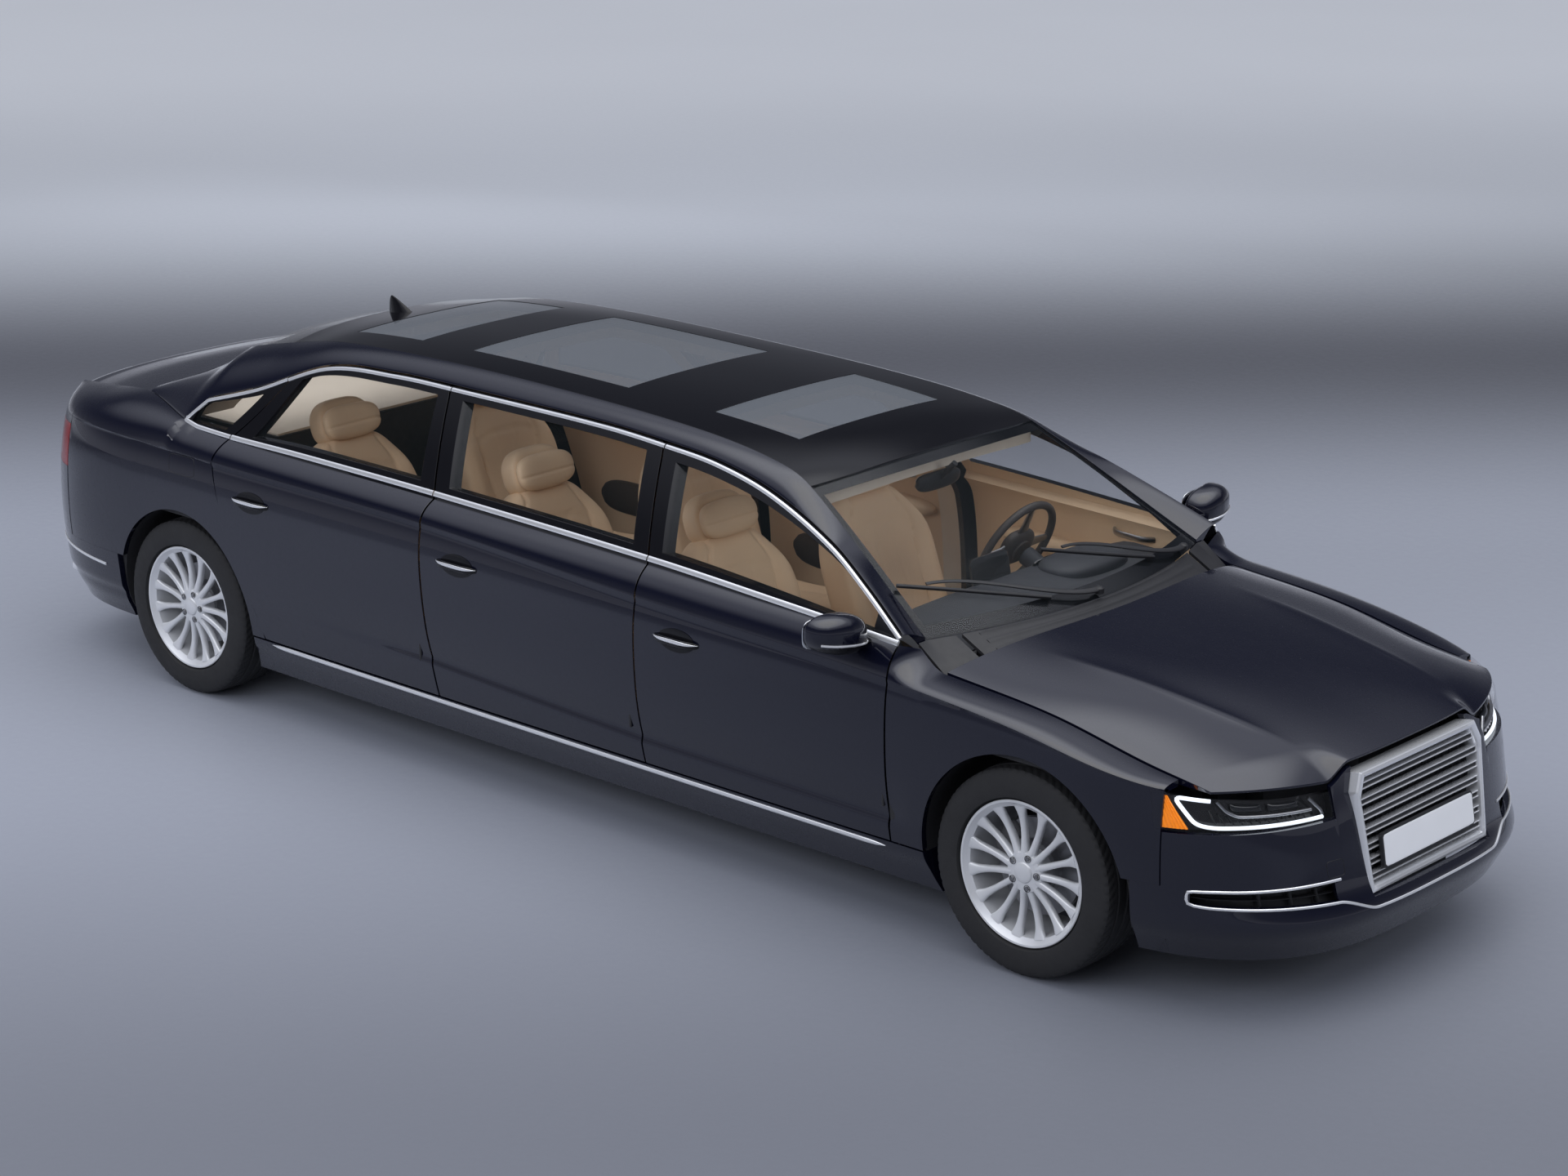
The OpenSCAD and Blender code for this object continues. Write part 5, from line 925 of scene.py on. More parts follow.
def quarter_parts():
    """Rear quarter: straight lines in station and level between its lower edge round the arch and its upper edge."""
    turns = [0.0, 16, 34, 52, 70, 86, 102, 118, 134, 148, 180 - quarter_seam_turn]
    cells = 7
    arch = np.radians(through(turns, cells))
    x, z = round_axle(rear_x, arch_r, arch)
    z[0] = door_low_z
    back = station_x(runs((float(x_station(x[-1])), -0.53, cells), (-0.53, tail_lamp_share + 0.005, cells)))[1:]
    end = station_x(steps(tail_lamp_share, -0.885, cells))
    x = np.concatenate([x, back, end])
    z = np.concatenate([z, np.full(len(back), quarter_seam_z), np.full(len(end), lamp_top_z)])
    s_low = x_station(x)
    h_low = level_of(s_low, z)
    levels = [foot_level, 0.55, 0.78, 1, 1.4, 2]
    h_line = through(levels, cells)
    s_line = back_station(h_line)
    h_line[0] = level_of(s_line[0], door_low_z)
    marks = [float(s_line[-1]), -0.02, -0.13, -0.24, -0.33, -0.375, -0.53, -0.668]
    s_belt = through(marks, cells)[1:]
    s_belt = np.concatenate([s_belt, steps(-0.678, -0.885, cells)])
    s_high = np.concatenate([s_line, s_belt])
    h_high = np.concatenate([h_line, np.full(len(s_belt), 2.0)])
    row = runs((0, 0.45, 16), (0.45, 0.575, 10), (0.575, 0.6, 5), (0.6, 0.7, 8), (0.7, 1, 14))[:, None]
    at_crease = np.clip((1 - h_low) / np.maximum(1e-6, h_high - h_low), 0.08, 0.92)
    v = np.where(row < 0.6, at_crease * row / 0.6, mix(at_crease, 1, (row - 0.6) / 0.4))
    s = mix(s_low, s_high, v)
    h = np.minimum(mix(h_low, h_high, v), 2 - 0.012)
    return shell_parts(carve(skin(s, h)), skin(s, h, np.full(h.shape, panel_t)))


C_WINDOW = (0.30, 0.88, 0.16, 0.84)


def c_station(u, h):
    """Station across the upper quarter: u runs from the rear end of the windows to the rear door."""
    return mix(window_end, back_station(h), u)


def c_panel_parts():
    """Upper quarter round the small fixed window."""
    w = C_WINDOW
    us = runs((0, w[0], 8), (w[0], w[1], 14), (w[1], 1, 4))
    vs = runs((2.004, 2 + w[2], 4), (2 + w[2], 2 + w[3], 12), (2 + w[3], 3, 4))
    u, h = np.meshgrid(us, vs)
    s = c_station(u, h)
    room = 1 - 0.006 / np.maximum(0.012, window_h(s))
    level = 2 + (h - 2) * np.clip(room, 0.2, 1)
    return shell_parts(skin(s, level), skin_flat(s, level, frame_t), ~window_hole(us, vs, w))


def sill_parts():
    """Sill from arch to arch, its ends cut by circles round the axles, from the skin to an upright inner face."""
    u, z = np.meshgrid(steps(0, 1, 90), steps(sill_low_z, door_low_z - shut_gap, 12))
    reach = np.sqrt((arch_r + 0.003)**2 - (z - tyre_r)**2)
    x = mix(rear_x + reach, front_x - reach, u)
    return shell_parts(point(x, side_y(x, z), z), point(x, 0.765 * half_w + 0 * x, z))


def sill_strip_parts():
    """Bright strip along the sill, tapering at its ends."""
    x = steps(-1.51, 1.62, 80)
    z = np.interp(x, [-1.51, 1.62], [0.314, 0.303])
    s = x_station(x)
    return strip_parts(s, level_of(s, z), 0.017, 0.008, taper=0.02)


house_y = 0.490


def wheelhouse_parts(axle):
    """Black liner over a wheel: an arc from the inner wall out to the skin, and a wall on its inner side."""
    a, t = grid(np.radians(steps(-13, 193, 60)), steps(0, 1, 10))
    walls = []
    for r in (arch_r + 0.004, arch_r + 0.009):
        x, z = round_axle(axle, r, a)
        walls.append(point(x, mix(house_y, side_y(x, z) - panel_t - 0.002, t), z))
    a, r = grid(np.radians(steps(4, 176, 60)), steps(0.20, arch_r + 0.008, 8))
    x, z = round_axle(axle, r, a)
    wall = shell_parts(point(x, house_y, z), point(x, house_y - 0.006, z))
    a, r = grid(np.radians(steps(-13, 193, 60)), steps(arch_r + 0.005, arch_r + 0.036, 4))
    x, z = round_axle(axle, r, a)
    y = side_y(x, z) - panel_t
    return join_parts([shell_parts(*walls), wall, shell_parts(point(x, y - 0.003, z), point(x, y - 0.007, z))])


both("fender_panel", fender_parts(), [PAINT, UNDER], "paint", ["fender_{side}"], bevel=0.002)
both("quarter_panel", quarter_parts(), [PAINT, UNDER], "paint", ["quarter_{side}"], bevel=0.002)
for end, x in AXLES:
    both(f"wheelhouse_{end}", wheelhouse_parts(x), [UNDER, UNDER], "underbody")
both("quarter_upper", c_panel_parts(), [BLACK_PAINT, CREAM], "paint", bevel=0.0015)
c_panes = pane_parts(c_station, C_WINDOW, (0.006, 0.006), (14, 8))
single("quarter_panes", mirrored(c_panes), [GLASS], "glass", ["quarter_glass"])
c_strips = surround_parts(c_station, steps(0.999, 0.03, 30), 0.014, 0.018, 0.015)
both("quarter_strip", c_strips, [CHROME], "chrome", weld=WELD)
jack_pads = [pad_at((0.035, 0.025, 0.014), 8.0, 6, 1, (place_x(s), 0.86 * half_w, sill_low_z - 0.002))
             for s in (0.165, 0.83)]
single("sill_panels", mirrored(join_parts([sill_parts()] + jack_pads)), [PAINT, UNDER], "paint", ["sills"], bevel=0.002)
both("sill_strip", sill_strip_parts(), [CHROME], "chrome", weld=WELD)


# Roof, side frames and the large panes
ROOF_PANES = ((0.105, 0.195), (0.262, 0.458), (0.560, 0.656))
pane_y = 0.39 * half_w
roof_power = 2.4
screen_foot = 0.869
pane_gap = 0.0004


def column_y(v, line, edge):
    """Half width of a column: 0.6 falls on a line, 1 on the edge."""
    return np.where(np.abs(v) <= 0.6, v / 0.6 * line, np.sign(v) * mix(line, edge, (np.abs(v) - 0.6) / 0.4))


def roof_z(x, y):
    """Height of the roof: edge height plus the rise of the middle line times one less a power of the half width."""
    s = x_station(x)
    r = roof_edge(s)
    rise = body_h * curve(ROOF_SHARES, s) - r[..., 1]
    return r[..., 1] + rise * (1 - np.minimum(1, np.abs(y) / r[..., 0])**roof_power)


def roof_parts():
    """Roof panel with three openings: rows bow at its two ends and run straight along the openings."""
    marks = [0.043] + [s for p in ROOF_PANES for s in p] + [0.732]
    ss = through(marks, (10, 14, 10, 28, 14, 14, 12))
    vs = runs((-1, -0.6, 14), (-0.6, 0.6, 24), (0.6, 1, 14))
    s, v = grid(ss, vs)
    rear = np.clip((marks[1] - s) / (marks[1] - marks[0]), 0, 1)
    front = np.clip((s - marks[-2]) / (marks[-1] - marks[-2]), 0, 1)
    s = s + rear * 0.013 * v**2 - front * 0.0155 * v**2
    edge = roof_edge(s)[..., 0] - touch
    y = column_y(v, pane_y, edge)
    x = station_x(s)
    z = roof_z(x, y)
    sm, vm = middles(ss), middles(vs)
    hole = np.zeros((len(sm), len(vm)), bool)
    for a, b in ROOF_PANES:
        hole |= ((sm > a) & (sm < b))[:, None] & (np.abs(vm) < 0.6)[None]
    return shell_parts(point(x, y, z), point(x, y, z - roof_t), ~hole)


def roof_pane_parts():
    """Three panes set in the roof, a little under its skin."""
    parts = []
    for a, b in ROOF_PANES:
        x, y = grid(steps(place_x(a) + pane_gap, place_x(b) - pane_gap, 30),
                    steps(-pane_y + pane_gap, pane_y - pane_gap, 30))
        z = roof_z(x, y) - 0.002
        parts.append(shell_parts(point(x, y, z), point(x, y, z - glass_t)))
    return join_parts(parts)


def pane_point(rows, bow, s, v, depth):
    """Bowed pane: the roof edge line, pushed out by a parabola across it, its bow changing from low to high end."""
    t = ((s - rows[0]) / (rows[1] - rows[0]))[..., None]
    b = mix(np.array(bow[0]), np.array(bow[1]), t) * body_h * (1 - v**2)[..., None]
    r = roof_edge(s)
    return point(station_x(s) + b[..., 0], v * (r[..., 0] - touch), r[..., 1] + b[..., 1] - depth)


SCREEN_PANE = ((screen_foot, 0.7175), ((0.105, 0.004), (0.043, 0.022)))
BACK_PANE = ((-0.405, 0.0535), ((-0.09, -0.012), (-0.036, 0.016)))
screen_t = 0.007


def screen_parts(pane, depth=0.0, thick=screen_t, keep=None, margin=0.0):
    """Windshield or rear window, or a part of it."""
    rows, bow = pane
    s, v = grid(steps(rows[0], rows[1], 36), steps(-1 + margin, 1 - margin, 56))
    return shell_parts(pane_point(rows, bow, s, v, depth), pane_point(rows, bow, s, v, depth + thick), keep)


def border(low, high, wide, rows=36, cols=56):
    """Cells along the edge of a pane: counts of cells at the low end, the high end and the sides."""
    keep = np.zeros((rows, cols), bool)
    keep[:low] = True
    keep[rows - high:] = True
    keep[:, :wide] = True
    keep[:, cols - wide:] = True
    return keep


def strip_under(s, h):
    """Point under the roof side, straight below its skin and above the doors."""
    p = section(s, h)
    w = window_top(s)
    d = 0.0025 + 0.6 * np.maximum(0, w[..., 0] - p[..., 0] - frame_depth(s) - 0.015)
    return point(station_x(s), p[..., 0], np.minimum(w[..., 1] - 0.002, p[..., 1] - d))


def roof_side_parts():
    """Roof side from the tail along the cabin to the foot of the windshield."""
    ss = np.concatenate([steps(-0.405, 0.0535, 40), steps(0.056, 0.7165, 110), steps(0.7175, screen_foot, 36)])
    h, s = grid(steps(3.003, 4, 18), ss)
    return shell_parts(skin(s, h), strip_under(s, h))


def pillar_parts(line, shift=-0.043 / wheelbase, half=0.0105):
    """Post behind a pair of doors, following their shut line."""
    h, e = grid(runs((foot_level, 1, 10), (1, 2, 14), (2, 3.08, 14)), steps(-half, half, 6))
    s = line_at(line, np.minimum(3, h)) + e + shift
    level = np.where(h <= foot_level, level_of(s, door_low_z - shut_gap + touch), h)
    deep = mix(door_t, frame_t, smooth((h - 1.7) / 0.12)) + 0.022 + 0.004 * (e / half)**4
    return shell_parts(skin_flat(s, level, deep), skin_flat(s, level, deep + 0.040))


roof_sides = join_parts([roof_side_parts()] + [pillar_parts(line) for line in (SHUT_MIDDLE, SHUT_REAR)])
both("roof_side", roof_sides, [PAINT, CREAM], "roof_black", ["side_frame_{side}"], bevel=0.0015)
single("roof_skin", roof_parts(), [BLACK_PAINT, CREAM], "roof_black", ["roof_panel"], bevel=0.0015)
single("roof_panes", roof_pane_parts(), [ROOF_GLASS], "glass", ["roof_glass"])
single("windshield_pane", screen_parts(SCREEN_PANE), [GLASS], "glass", ["windshield"])
single("rear_pane", screen_parts(BACK_PANE), [GLASS], "glass", ["rear_window"])
for name, pane, cells in (("windshield_border", SCREEN_PANE, (3, 2, 1)), ("rear_border", BACK_PANE, (3, 3, 3))):
    single(name, screen_parts(pane, 0.0078, 0.0008, border(*cells), 0.004), [BLACK_PAINT], "trim_black")


# Nose: bumper, grille, lamps
def end_w(z, inset, start):
    """Half width where the nose or tail begins."""
    return half_w * curve(SIDE_SHARES, z / body_h) * barrel(start) - inset


NOSE = (nose_x, 1, nose_power, nose_len)
TAIL = (tail_x, -1, tail_power, tail_len)


def end_point(end, turn, z, inset=0.0):
    """Superellipse in plan: turn 0 at the tip, 90 degrees at the side; inset under the skin."""
    start, way, power, reach = end
    c, s = np.abs(np.cos(turn))**(2 / power), np.abs(np.sin(turn))**(2 / power)
    return point(start + way * (reach(z) - inset) * c, np.sign(turn) * end_w(z, inset, start) * s, z)


def end_turn_y(end, y, z):
    """Turn at which an end is y wide."""
    return np.arcsin(np.clip(y / end_w(z, 0, end[0]), 0, 1)**(end[2] / 2))


def end_turn_x(end, x, z):
    """Turn at which an end is at x."""
    start, way, power, reach = end
    return np.arccos(np.clip(way * (x - start) / reach(z), 0, 1)**(power / 2))


def end_skin_x(end, y, z):
    """Place of an end's skin at a half width and a height."""
    start, way, power, reach = end
    return start + way * reach(z) * np.maximum(0, 1 - (np.abs(y) / end_w(z, 0, start))**power)**(1 / power)


nose_point, tail_point = partial(end_point, NOSE), partial(end_point, TAIL)
nose_turn_y = partial(end_turn_y, NOSE)
nose_turn_x, tail_turn_x = partial(end_turn_x, NOSE), partial(end_turn_x, TAIL)
tail_skin_x = partial(end_skin_x, TAIL)


def banded(counts):
    """Number and share of each step along spans that are cut into counts of steps."""
    number = np.concatenate([np.full(n, k) for k, n in enumerate(counts)] + [[len(counts) - 1]])
    return number, np.concatenate([np.arange(n) / n for n in counts] + [[1.0]])


def stacked(*values):
    """Values as the rows of one array."""
    return np.stack(np.broadcast_arrays(*values))


def end_shell(skin_at, columns, rows, turns_at, rough_z, edges_at, gaps):
    """Wall round an end: columns between breaks in turn, rows between edges in height, both halves as one.

    Each gap is left open: a span of columns, and its first and last band of rows.
    """
    seg, frac = banded(columns)
    band, step = banded(rows)

    def turn_grid(z):
        """Turns of the columns at their heights."""
        marks = turns_at(z)
        i, j = np.indices(z.shape)
        return mix(marks[seg[None], i, j], marks[seg[None] + 1, i, j], frac)

    edges = edges_at(turn_grid(np.full((1, len(seg)), rough_z))[0])
    z = mix(edges[band], edges[band + 1], step[:, None])
    turn = turn_grid(z)
    walls = [skin_at(turn, z, depth) for depth in (0.0, panel_t)]
    for wall in walls:
        wall[:, 0, 1] = 0
    drop = np.zeros((len(band) - 1, len(seg) - 1), bool)
    for column, first, last in gaps:
        drop |= (seg[None, :-1] == column) & ((band[:-1] >= first) & (band[:-1] <= last))[:, None]
    walls = [np.concatenate([wall[:, :0:-1], wall * [1, -1, 1]], 1) for wall in walls]
    return shell_parts(*walls, ~np.concatenate([drop[:, ::-1], drop], 1))


hood_half = half_w * hood_w_share - shut_gap
hood_edge_t = 0.008
hood_clear = 0.008


def hood_front_x(y):
    """Front edge of the hood, just behind the nose."""
    return end_skin_x(NOSE, y, 0.515 * body_h) - 0.006


def hood_surface(u, y):
    """Hood from its rear edge (u 0) to its front edge (u 1), rolled down over the lamps."""
    v = y / hood_half
    x = mix(station_x(mix(0.924, 0.9005, v**2)), hood_front_x(y), u)
    a, b = 0.345 * half_w, 0.450 * half_w
    fall = np.clip((hood_half - np.abs(y)) / (hood_half - b), 0, 1)
    roll = 0.032 * body_h * smooth((np.abs(y) - a) / (b - a)) * fall
    ahead = np.maximum(0, (u - 0.88) / 0.12)
    return x, hood_z(x, y) - roll * ahead**2, ahead


def hood_edge_z(y):
    """Height of the hood's front edge."""
    return hood_surface(np.ones_like(y), y)[1]


def under_hood(y):
    """Height just under the hood's front edge."""
    return hood_edge_z(np.minimum(y, hood_half)) - hood_edge_t - hood_clear


grille_z0 = 0.242 * body_h
grille_z1 = 0.509 * body_h
grille_low_y = 0.352 * half_w
grille_top_y = 0.378 * half_w
grille_chamfer = 0.060
grille_x = place_x(1.945)
grille_lean = radians(10)


def grille_edge(z):
    """Half width of the grille opening by height, with its upper corners cut."""
    side = mix(grille_low_y, grille_top_y, np.clip((z - grille_z0) / (grille_z1 - grille_chamfer - grille_z0), 0, 1))
    return side - 0.5 * np.maximum(0, z - grille_z1 + grille_chamfer)


def grille_point(depth, y, z):
    """Point of the leaning grille plane: depth along its axis, z up along the plane."""
    up = z - grille_z0
    return point(grille_x + depth * np.cos(grille_lean) - up * np.sin(grille_lean), y,
                 grille_z0 + depth * np.sin(grille_lean) + up * np.cos(grille_lean))


def lean_z(z):
    """Plane height of a world height on the grille's front."""
    return grille_z0 + (z - grille_z0) / np.cos(grille_lean)


BUMPER_LOW = 0.134 * body_h
LAMP_LOW = 0.4205 * body_h
riser_turn = radians(18)
nose_top_z = 0.513 * body_h


def intake_low(y):
    """Lower edge of grille and intakes across the nose."""
    return np.interp(np.abs(y) / half_w, [0.37, 0.49, 0.86, 0.90], np.array([0.242, 0.251, 0.262, 0.268]) * body_h)


def intake_high(y):
    """Upper edge of the intakes."""
    return np.interp(np.abs(y) / half_w, [0.37, 0.49, 0.84, 0.90], np.array([0.295, 0.297, 0.2985, 0.2960]) * body_h)


def bumper_parts():
    """Front bumper: columns break at grille, riser, intakes and fender seam; rows lie in bands of height."""
    def turns_at(z):
        """Turns of the breaks at a height."""
        return stacked(0 * z, nose_turn_y(grille_edge(lean_z(z)), z), riser_turn, riser_turn + 0.005,
                       nose_turn_y(0.50 * half_w, z), nose_turn_y(0.885 * half_w, z),
                       nose_turn_x(fender_front + seam_gap, z), nose_turn_x(front_x + arch_r + 0.019, z))

    def edges_at(turn):
        """Heights of the bands' edges at a turn."""
        y = nose_point(turn, 0.42 + 0 * turn)[:, 1]
        top = np.where(turn <= riser_turn + 1e-6, np.minimum(nose_top_z, under_hood(y)), LAMP_LOW)
        return stacked(BUMPER_LOW, intake_low(y), intake_high(y), fender_seam_z - touch, top)

    return end_shell(nose_point, (10, 6, 1, 4, 28, 10, 10), (14, 10, 3, 18), turns_at, 0.42, edges_at,
                     ((0, 1, 3), (4, 1, 1), (6, 3, 3)))


def grille_outline(o, n=12):
    """Outline of the grille inset by o, its edges cut into n steps."""
    z0, z1, y0, y1, c = grille_z0 + o, grille_z1 - o, grille_low_y - o, grille_top_y - o, grille_chamfer
    corners = np.array([[-y0, z0], [y0, z0], [y1, z1 - c], [y1 - c / 2, z1], [-y1 + c / 2, z1], [-y1, z1 - c]])
    nxt = np.roll(corners, -1, 0)
    t = np.arange(n)[None, :, None] / n
    return mix(corners[:, None], nxt[:, None], t).reshape(-1, 2)


def grille_parts():
    """Bright frame as a loft of outlines, a ribbed black back, and bars with two bright lips."""
    loft = [(0.0004, -0.058), (0.0004, 0.006), (0.004, 0.012), (0.012, 0.014), (0.020, 0.010),
            (0.024, 0.000), (0.024, -0.050), (0.0004, -0.058)]
    rows = [grille_point(d, *grille_outline(o).T) for o, d in loft]
    parts = [tube(np.stack(rows))]
    z, f = grid(steps(grille_z0 + 0.012, grille_z1 - 0.012, 40), steps(-1, 1, 240))
    y = f * (grille_edge(z) - 0.012)
    rib = 0.010 * np.maximum(0, np.cos(y / 0.042 * 2 * np.pi))**8
    parts.append(recolour(shell_parts(grille_point(-0.044 + rib, y, z), grille_point(-0.052 + 0 * rib, y, z)), 1))
    pitch = (grille_z1 - grille_z0) / 8
    up = (-np.sin(grille_lean), 0, np.cos(grille_lean))
    for k in range(1, 8):
        zc = grille_z0 + k * pitch
        half = grille_edge(np.array(zc)) - 0.010
        y = steps(-1, 1, 30) * half
        for dz, high, deep, kind in ((0, 0.0085, 0.014, 1), (0.0090, 0.0034, 0.018, 0), (-0.0090, 0.0034, 0.018, 0)):
            bar = grille_point(-0.016 + 0.05 * (deep - 0.014), y, np.full(y.shape, zc + dz))
            parts.append(sweep_parts(bar, ring(deep, high, 12, 3.0), up, kind))
    return join_parts(parts)


def intake_parts():
    """Lower intakes: a black back with cross bars, set in behind each opening."""
    parts = []
    y, b = grid(steps(0.44, 0.905, 60) * half_w, steps(-0.25, 1.2, 20))
    z = mix(intake_low(y), intake_high(y), b)
    turn = nose_turn_y(y, z)
    parts.append(shell_parts(nose_point(turn, z, 0.045), nose_point(turn, z, 0.052)))
    for share in (0.36, 0.70):
        y = steps(0.49, 0.885, 40) * half_w
        z = mix(intake_low(y), intake_high(y), share)
        parts.append(sweep_parts(nose_point(nose_turn_y(y, z), z, 0.030), ring(0.003, 0.012, 10), (1, 0, 0), 0))
    for share in (0.57, 0.66, 0.75):
        z = mix(intake_low(share * half_w), intake_high(share * half_w), steps(0, 1, 8))
        y = np.full(z.shape, share * half_w)
        parts.append(sweep_parts(nose_point(nose_turn_y(y, z), z, 0.028), ring(0.004, 0.012, 10), (1, 0, 0), 0))
    return join_parts(parts)


def intake_strip_parts():
    """Bright line round each intake and across the nose under the grille, in one run."""
    y = steps(0.475, 0.880, 40) * half_w
    top = pair(y, intake_high(y) - 0.002)
    end_y = np.array([0.8885, 0.8900, 0.8900, 0.8880]) * half_w
    end = pair(end_y, mix(intake_high(end_y), intake_low(end_y), np.array([0.10, 0.38, 0.66, 0.93])))
    y = steps(0.879, 0, 70) * half_w
    dip = 0.030 * smooth((0.50 - y / half_w) / 0.16)
    bottom = pair(y, intake_low(y) - 0.001 - dip)
    run = np.concatenate([top, end, bottom])
    run = np.concatenate([run, run[-2::-1] * [-1, 1]])
    z = run[:, 1]
    turn = np.sign(run[:, 0]) * nose_turn_y(np.abs(run[:, 0]), z)
    p = nose_point(turn, z, 0.0)
    p[np.abs(run[:, 0]) < 1e-9, 1] = 0
    q = nose_point(turn, z, 0.02)
    return sweep_parts(p, ring(0.0052, 0.0045, 10), outward(p, q), 0)


def tow_cover_parts():
    """Outline of the tow cover beside the grille: a fine dark groove in the bumper's skin."""
    o = ring(0.034, 0.026, 80, 6.0)
    y, z = 0.475 + o[:, 0], 0.478 + o[:, 1]
    turn = -nose_turn_y(y, z)
    p, q = nose_point(turn, z, 0.0002), nose_point(turn, z, 0.02)
    return sweep_parts(p, ring(0.0013, 0.0009, 6), outward(p, q), 0, closed=True)


plate_half = 0.262


def plate_parts(x_at, y, z0, z1, lean, forward):
    """Blank plate in a black holder: two rounded slabs, one in front of the other."""
    parts = []
    for grow, deep, thick, kind in ((0.006, 0.0, 0.008, 1), (0.0, 0.007, 0.003, 0)):
        p, q, k = pad_parts((thick, y + grow, (z1 - z0) / 2 + grow), 26.0, 18, kind)
        p = turned(p + [forward * deep, 0, 0], -lean)
        parts.append((p + [x_at, 0, (z0 + z1) / 2], q, k))
    return join_parts(parts)


single("bumper_front", bumper_parts(), [PAINT, UNDER], "paint", ["front_bumper"], bevel=0.0018)
single("grille_front", grille_parts(), [CHROME, MESH_BLACK], "chrome", ["grille"], weld=WELD, bevel=0.0008)
both("intake_mesh", intake_parts(), [MESH_BLACK, MESH_BLACK], "trim_black", weld=WELD)
single("intake_strip", intake_strip_parts(), [CHROME], "chrome", weld=WELD)
single("tow_cover_line", tow_cover_parts(), [MESH_BLACK], "trim_black", weld=WELD)
plate_x = float(grille_point(0.012, 0.0, 0.485)[0])
single("plate_front", plate_parts(plate_x, plate_half, 0.432, 0.537, 10, 1), [PLATE, TRIM], "trim_black", weld=WELD)


def hood_parts():
    """Hood with a pressed ridge on each side that fades at both ends, thinner towards its front edge."""
    us = runs((0, 0.86, 46), (0.86, 1, 22))
    vs = runs((-1, -0.6, 26), (-0.6, 0.6, 46), (0.6, 1, 26))
    u, v = grid(us, vs)
    ridge_y = mix(0.520, 0.415, u)
    y = column_y(v, ridge_y, hood_half)
    x, z, ahead = hood_surface(u, y)
    fade = smooth((u - 0.06) / 0.35) * smooth((0.97 - u) / 0.30)
    z = z + 0.0065 * fade * np.exp(-np.abs(np.abs(y) - ridge_y) / 0.045) - 0.0015 * fade
    return shell_parts(point(x, y, z), point(x, y, z - mix(lid_t, hood_edge_t, ahead)))


def hood_arm_parts():
    """Hinge arms of the hood, from the pins to its under side."""
    axis = np.array([place_x(0.8835), 0.66 * half_w, 0.592 * body_h])
    x1 = place_x(hood_rear_share) + 0.10
    end = np.array([x1, axis[1], float(hood_z(np.array(x1), np.array(axis[1]))) - lid_t - 0.002])
    t = steps(0, 1, 12)[:, None]
    path = bend(axis, np.array([mix(axis[0], end[0], 0.2), axis[1], end[2] - 0.02]), end, t)
    return sweep_parts(path, ring(0.006, 0.013, 12, 3.0), (0, 0, 1), 1)


single("hood_panel", join_parts([hood_parts(), mirrored(hood_arm_parts())]), [PAINT, UNDER], "paint", ["hood"],
       body="hood", bevel=0.0018)


# Headlamps
seam_turn = nose_turn_x(fender_front + seam_gap, np.array(fender_seam_z))
lamp_turn = radians(18.6)


def lamp_edge_low(turn):
    """Lower edge of a headlamp."""
    return body_h * np.interp(np.degrees(turn), [18.6, 45, 67.2], [0.4212, 0.4220, 0.4265])


def lamp_edge_high(turn):
    """Upper edge of a headlamp, under the hood's edge where the hood covers it."""
    z = body_h * curve([[18.6, 0.478], [34, 0.484], [52, 0.497], [67.22, 0.512]], np.degrees(turn))
    y = nose_point(turn, nose_top_z + 0 * turn)[..., 1]
    return np.where(y > hood_half + shut_gap, z, np.minimum(z, under_hood(y)))


def lamp_point(a, b, depth):
    """Point of a headlamp: a from inner to outer end, b from lower to upper edge, depth under the lens."""
    turn = mix(lamp_turn, seam_turn, a)
    room = mix(0.014, 0.060, np.clip((seam_turn - turn) / (seam_turn - radians(45)), 0, 1))
    inset = depth * room
    return nose_point(turn, mix(lamp_edge_low(turn), lamp_edge_high(turn) - depth * 0.018, b), inset)


def lamp_line(marks, depth, n=60):
    """Line inside a lamp through marks (a, b), with evenly spread points and rounded corners."""
    m = np.asarray(marks, float)
    run = np.r_[0, np.cumsum(np.linalg.norm(np.diff(m, axis=0) * [3, 1], axis=1))]
    t = steps(0, run[-1], n)
    a, b = np.interp(t, run, m[:, 0]), np.interp(t, run, m[:, 1])
    kernel = np.ones(5) / 5
    soft = [np.convolve(np.pad(c, 2, mode="edge"), kernel, "valid") for c in (a, b)]
    return lamp_point(soft[0], soft[1], np.full(n + 1, depth))


def lamp_shells(point_at, n, lens, bowl):
    """Lens of a lamp and the dark bowl behind it, from their depths."""
    a, b = grid(steps(0, 1, n), steps(0, 1, 16))
    return [recolour(shell_parts(point_at(a, b, front + 0 * a), point_at(a, b, back + 0 * a)), kind)
            for front, back, kind in ((0.0, lens, 0), (bowl, 0.98, 1))]


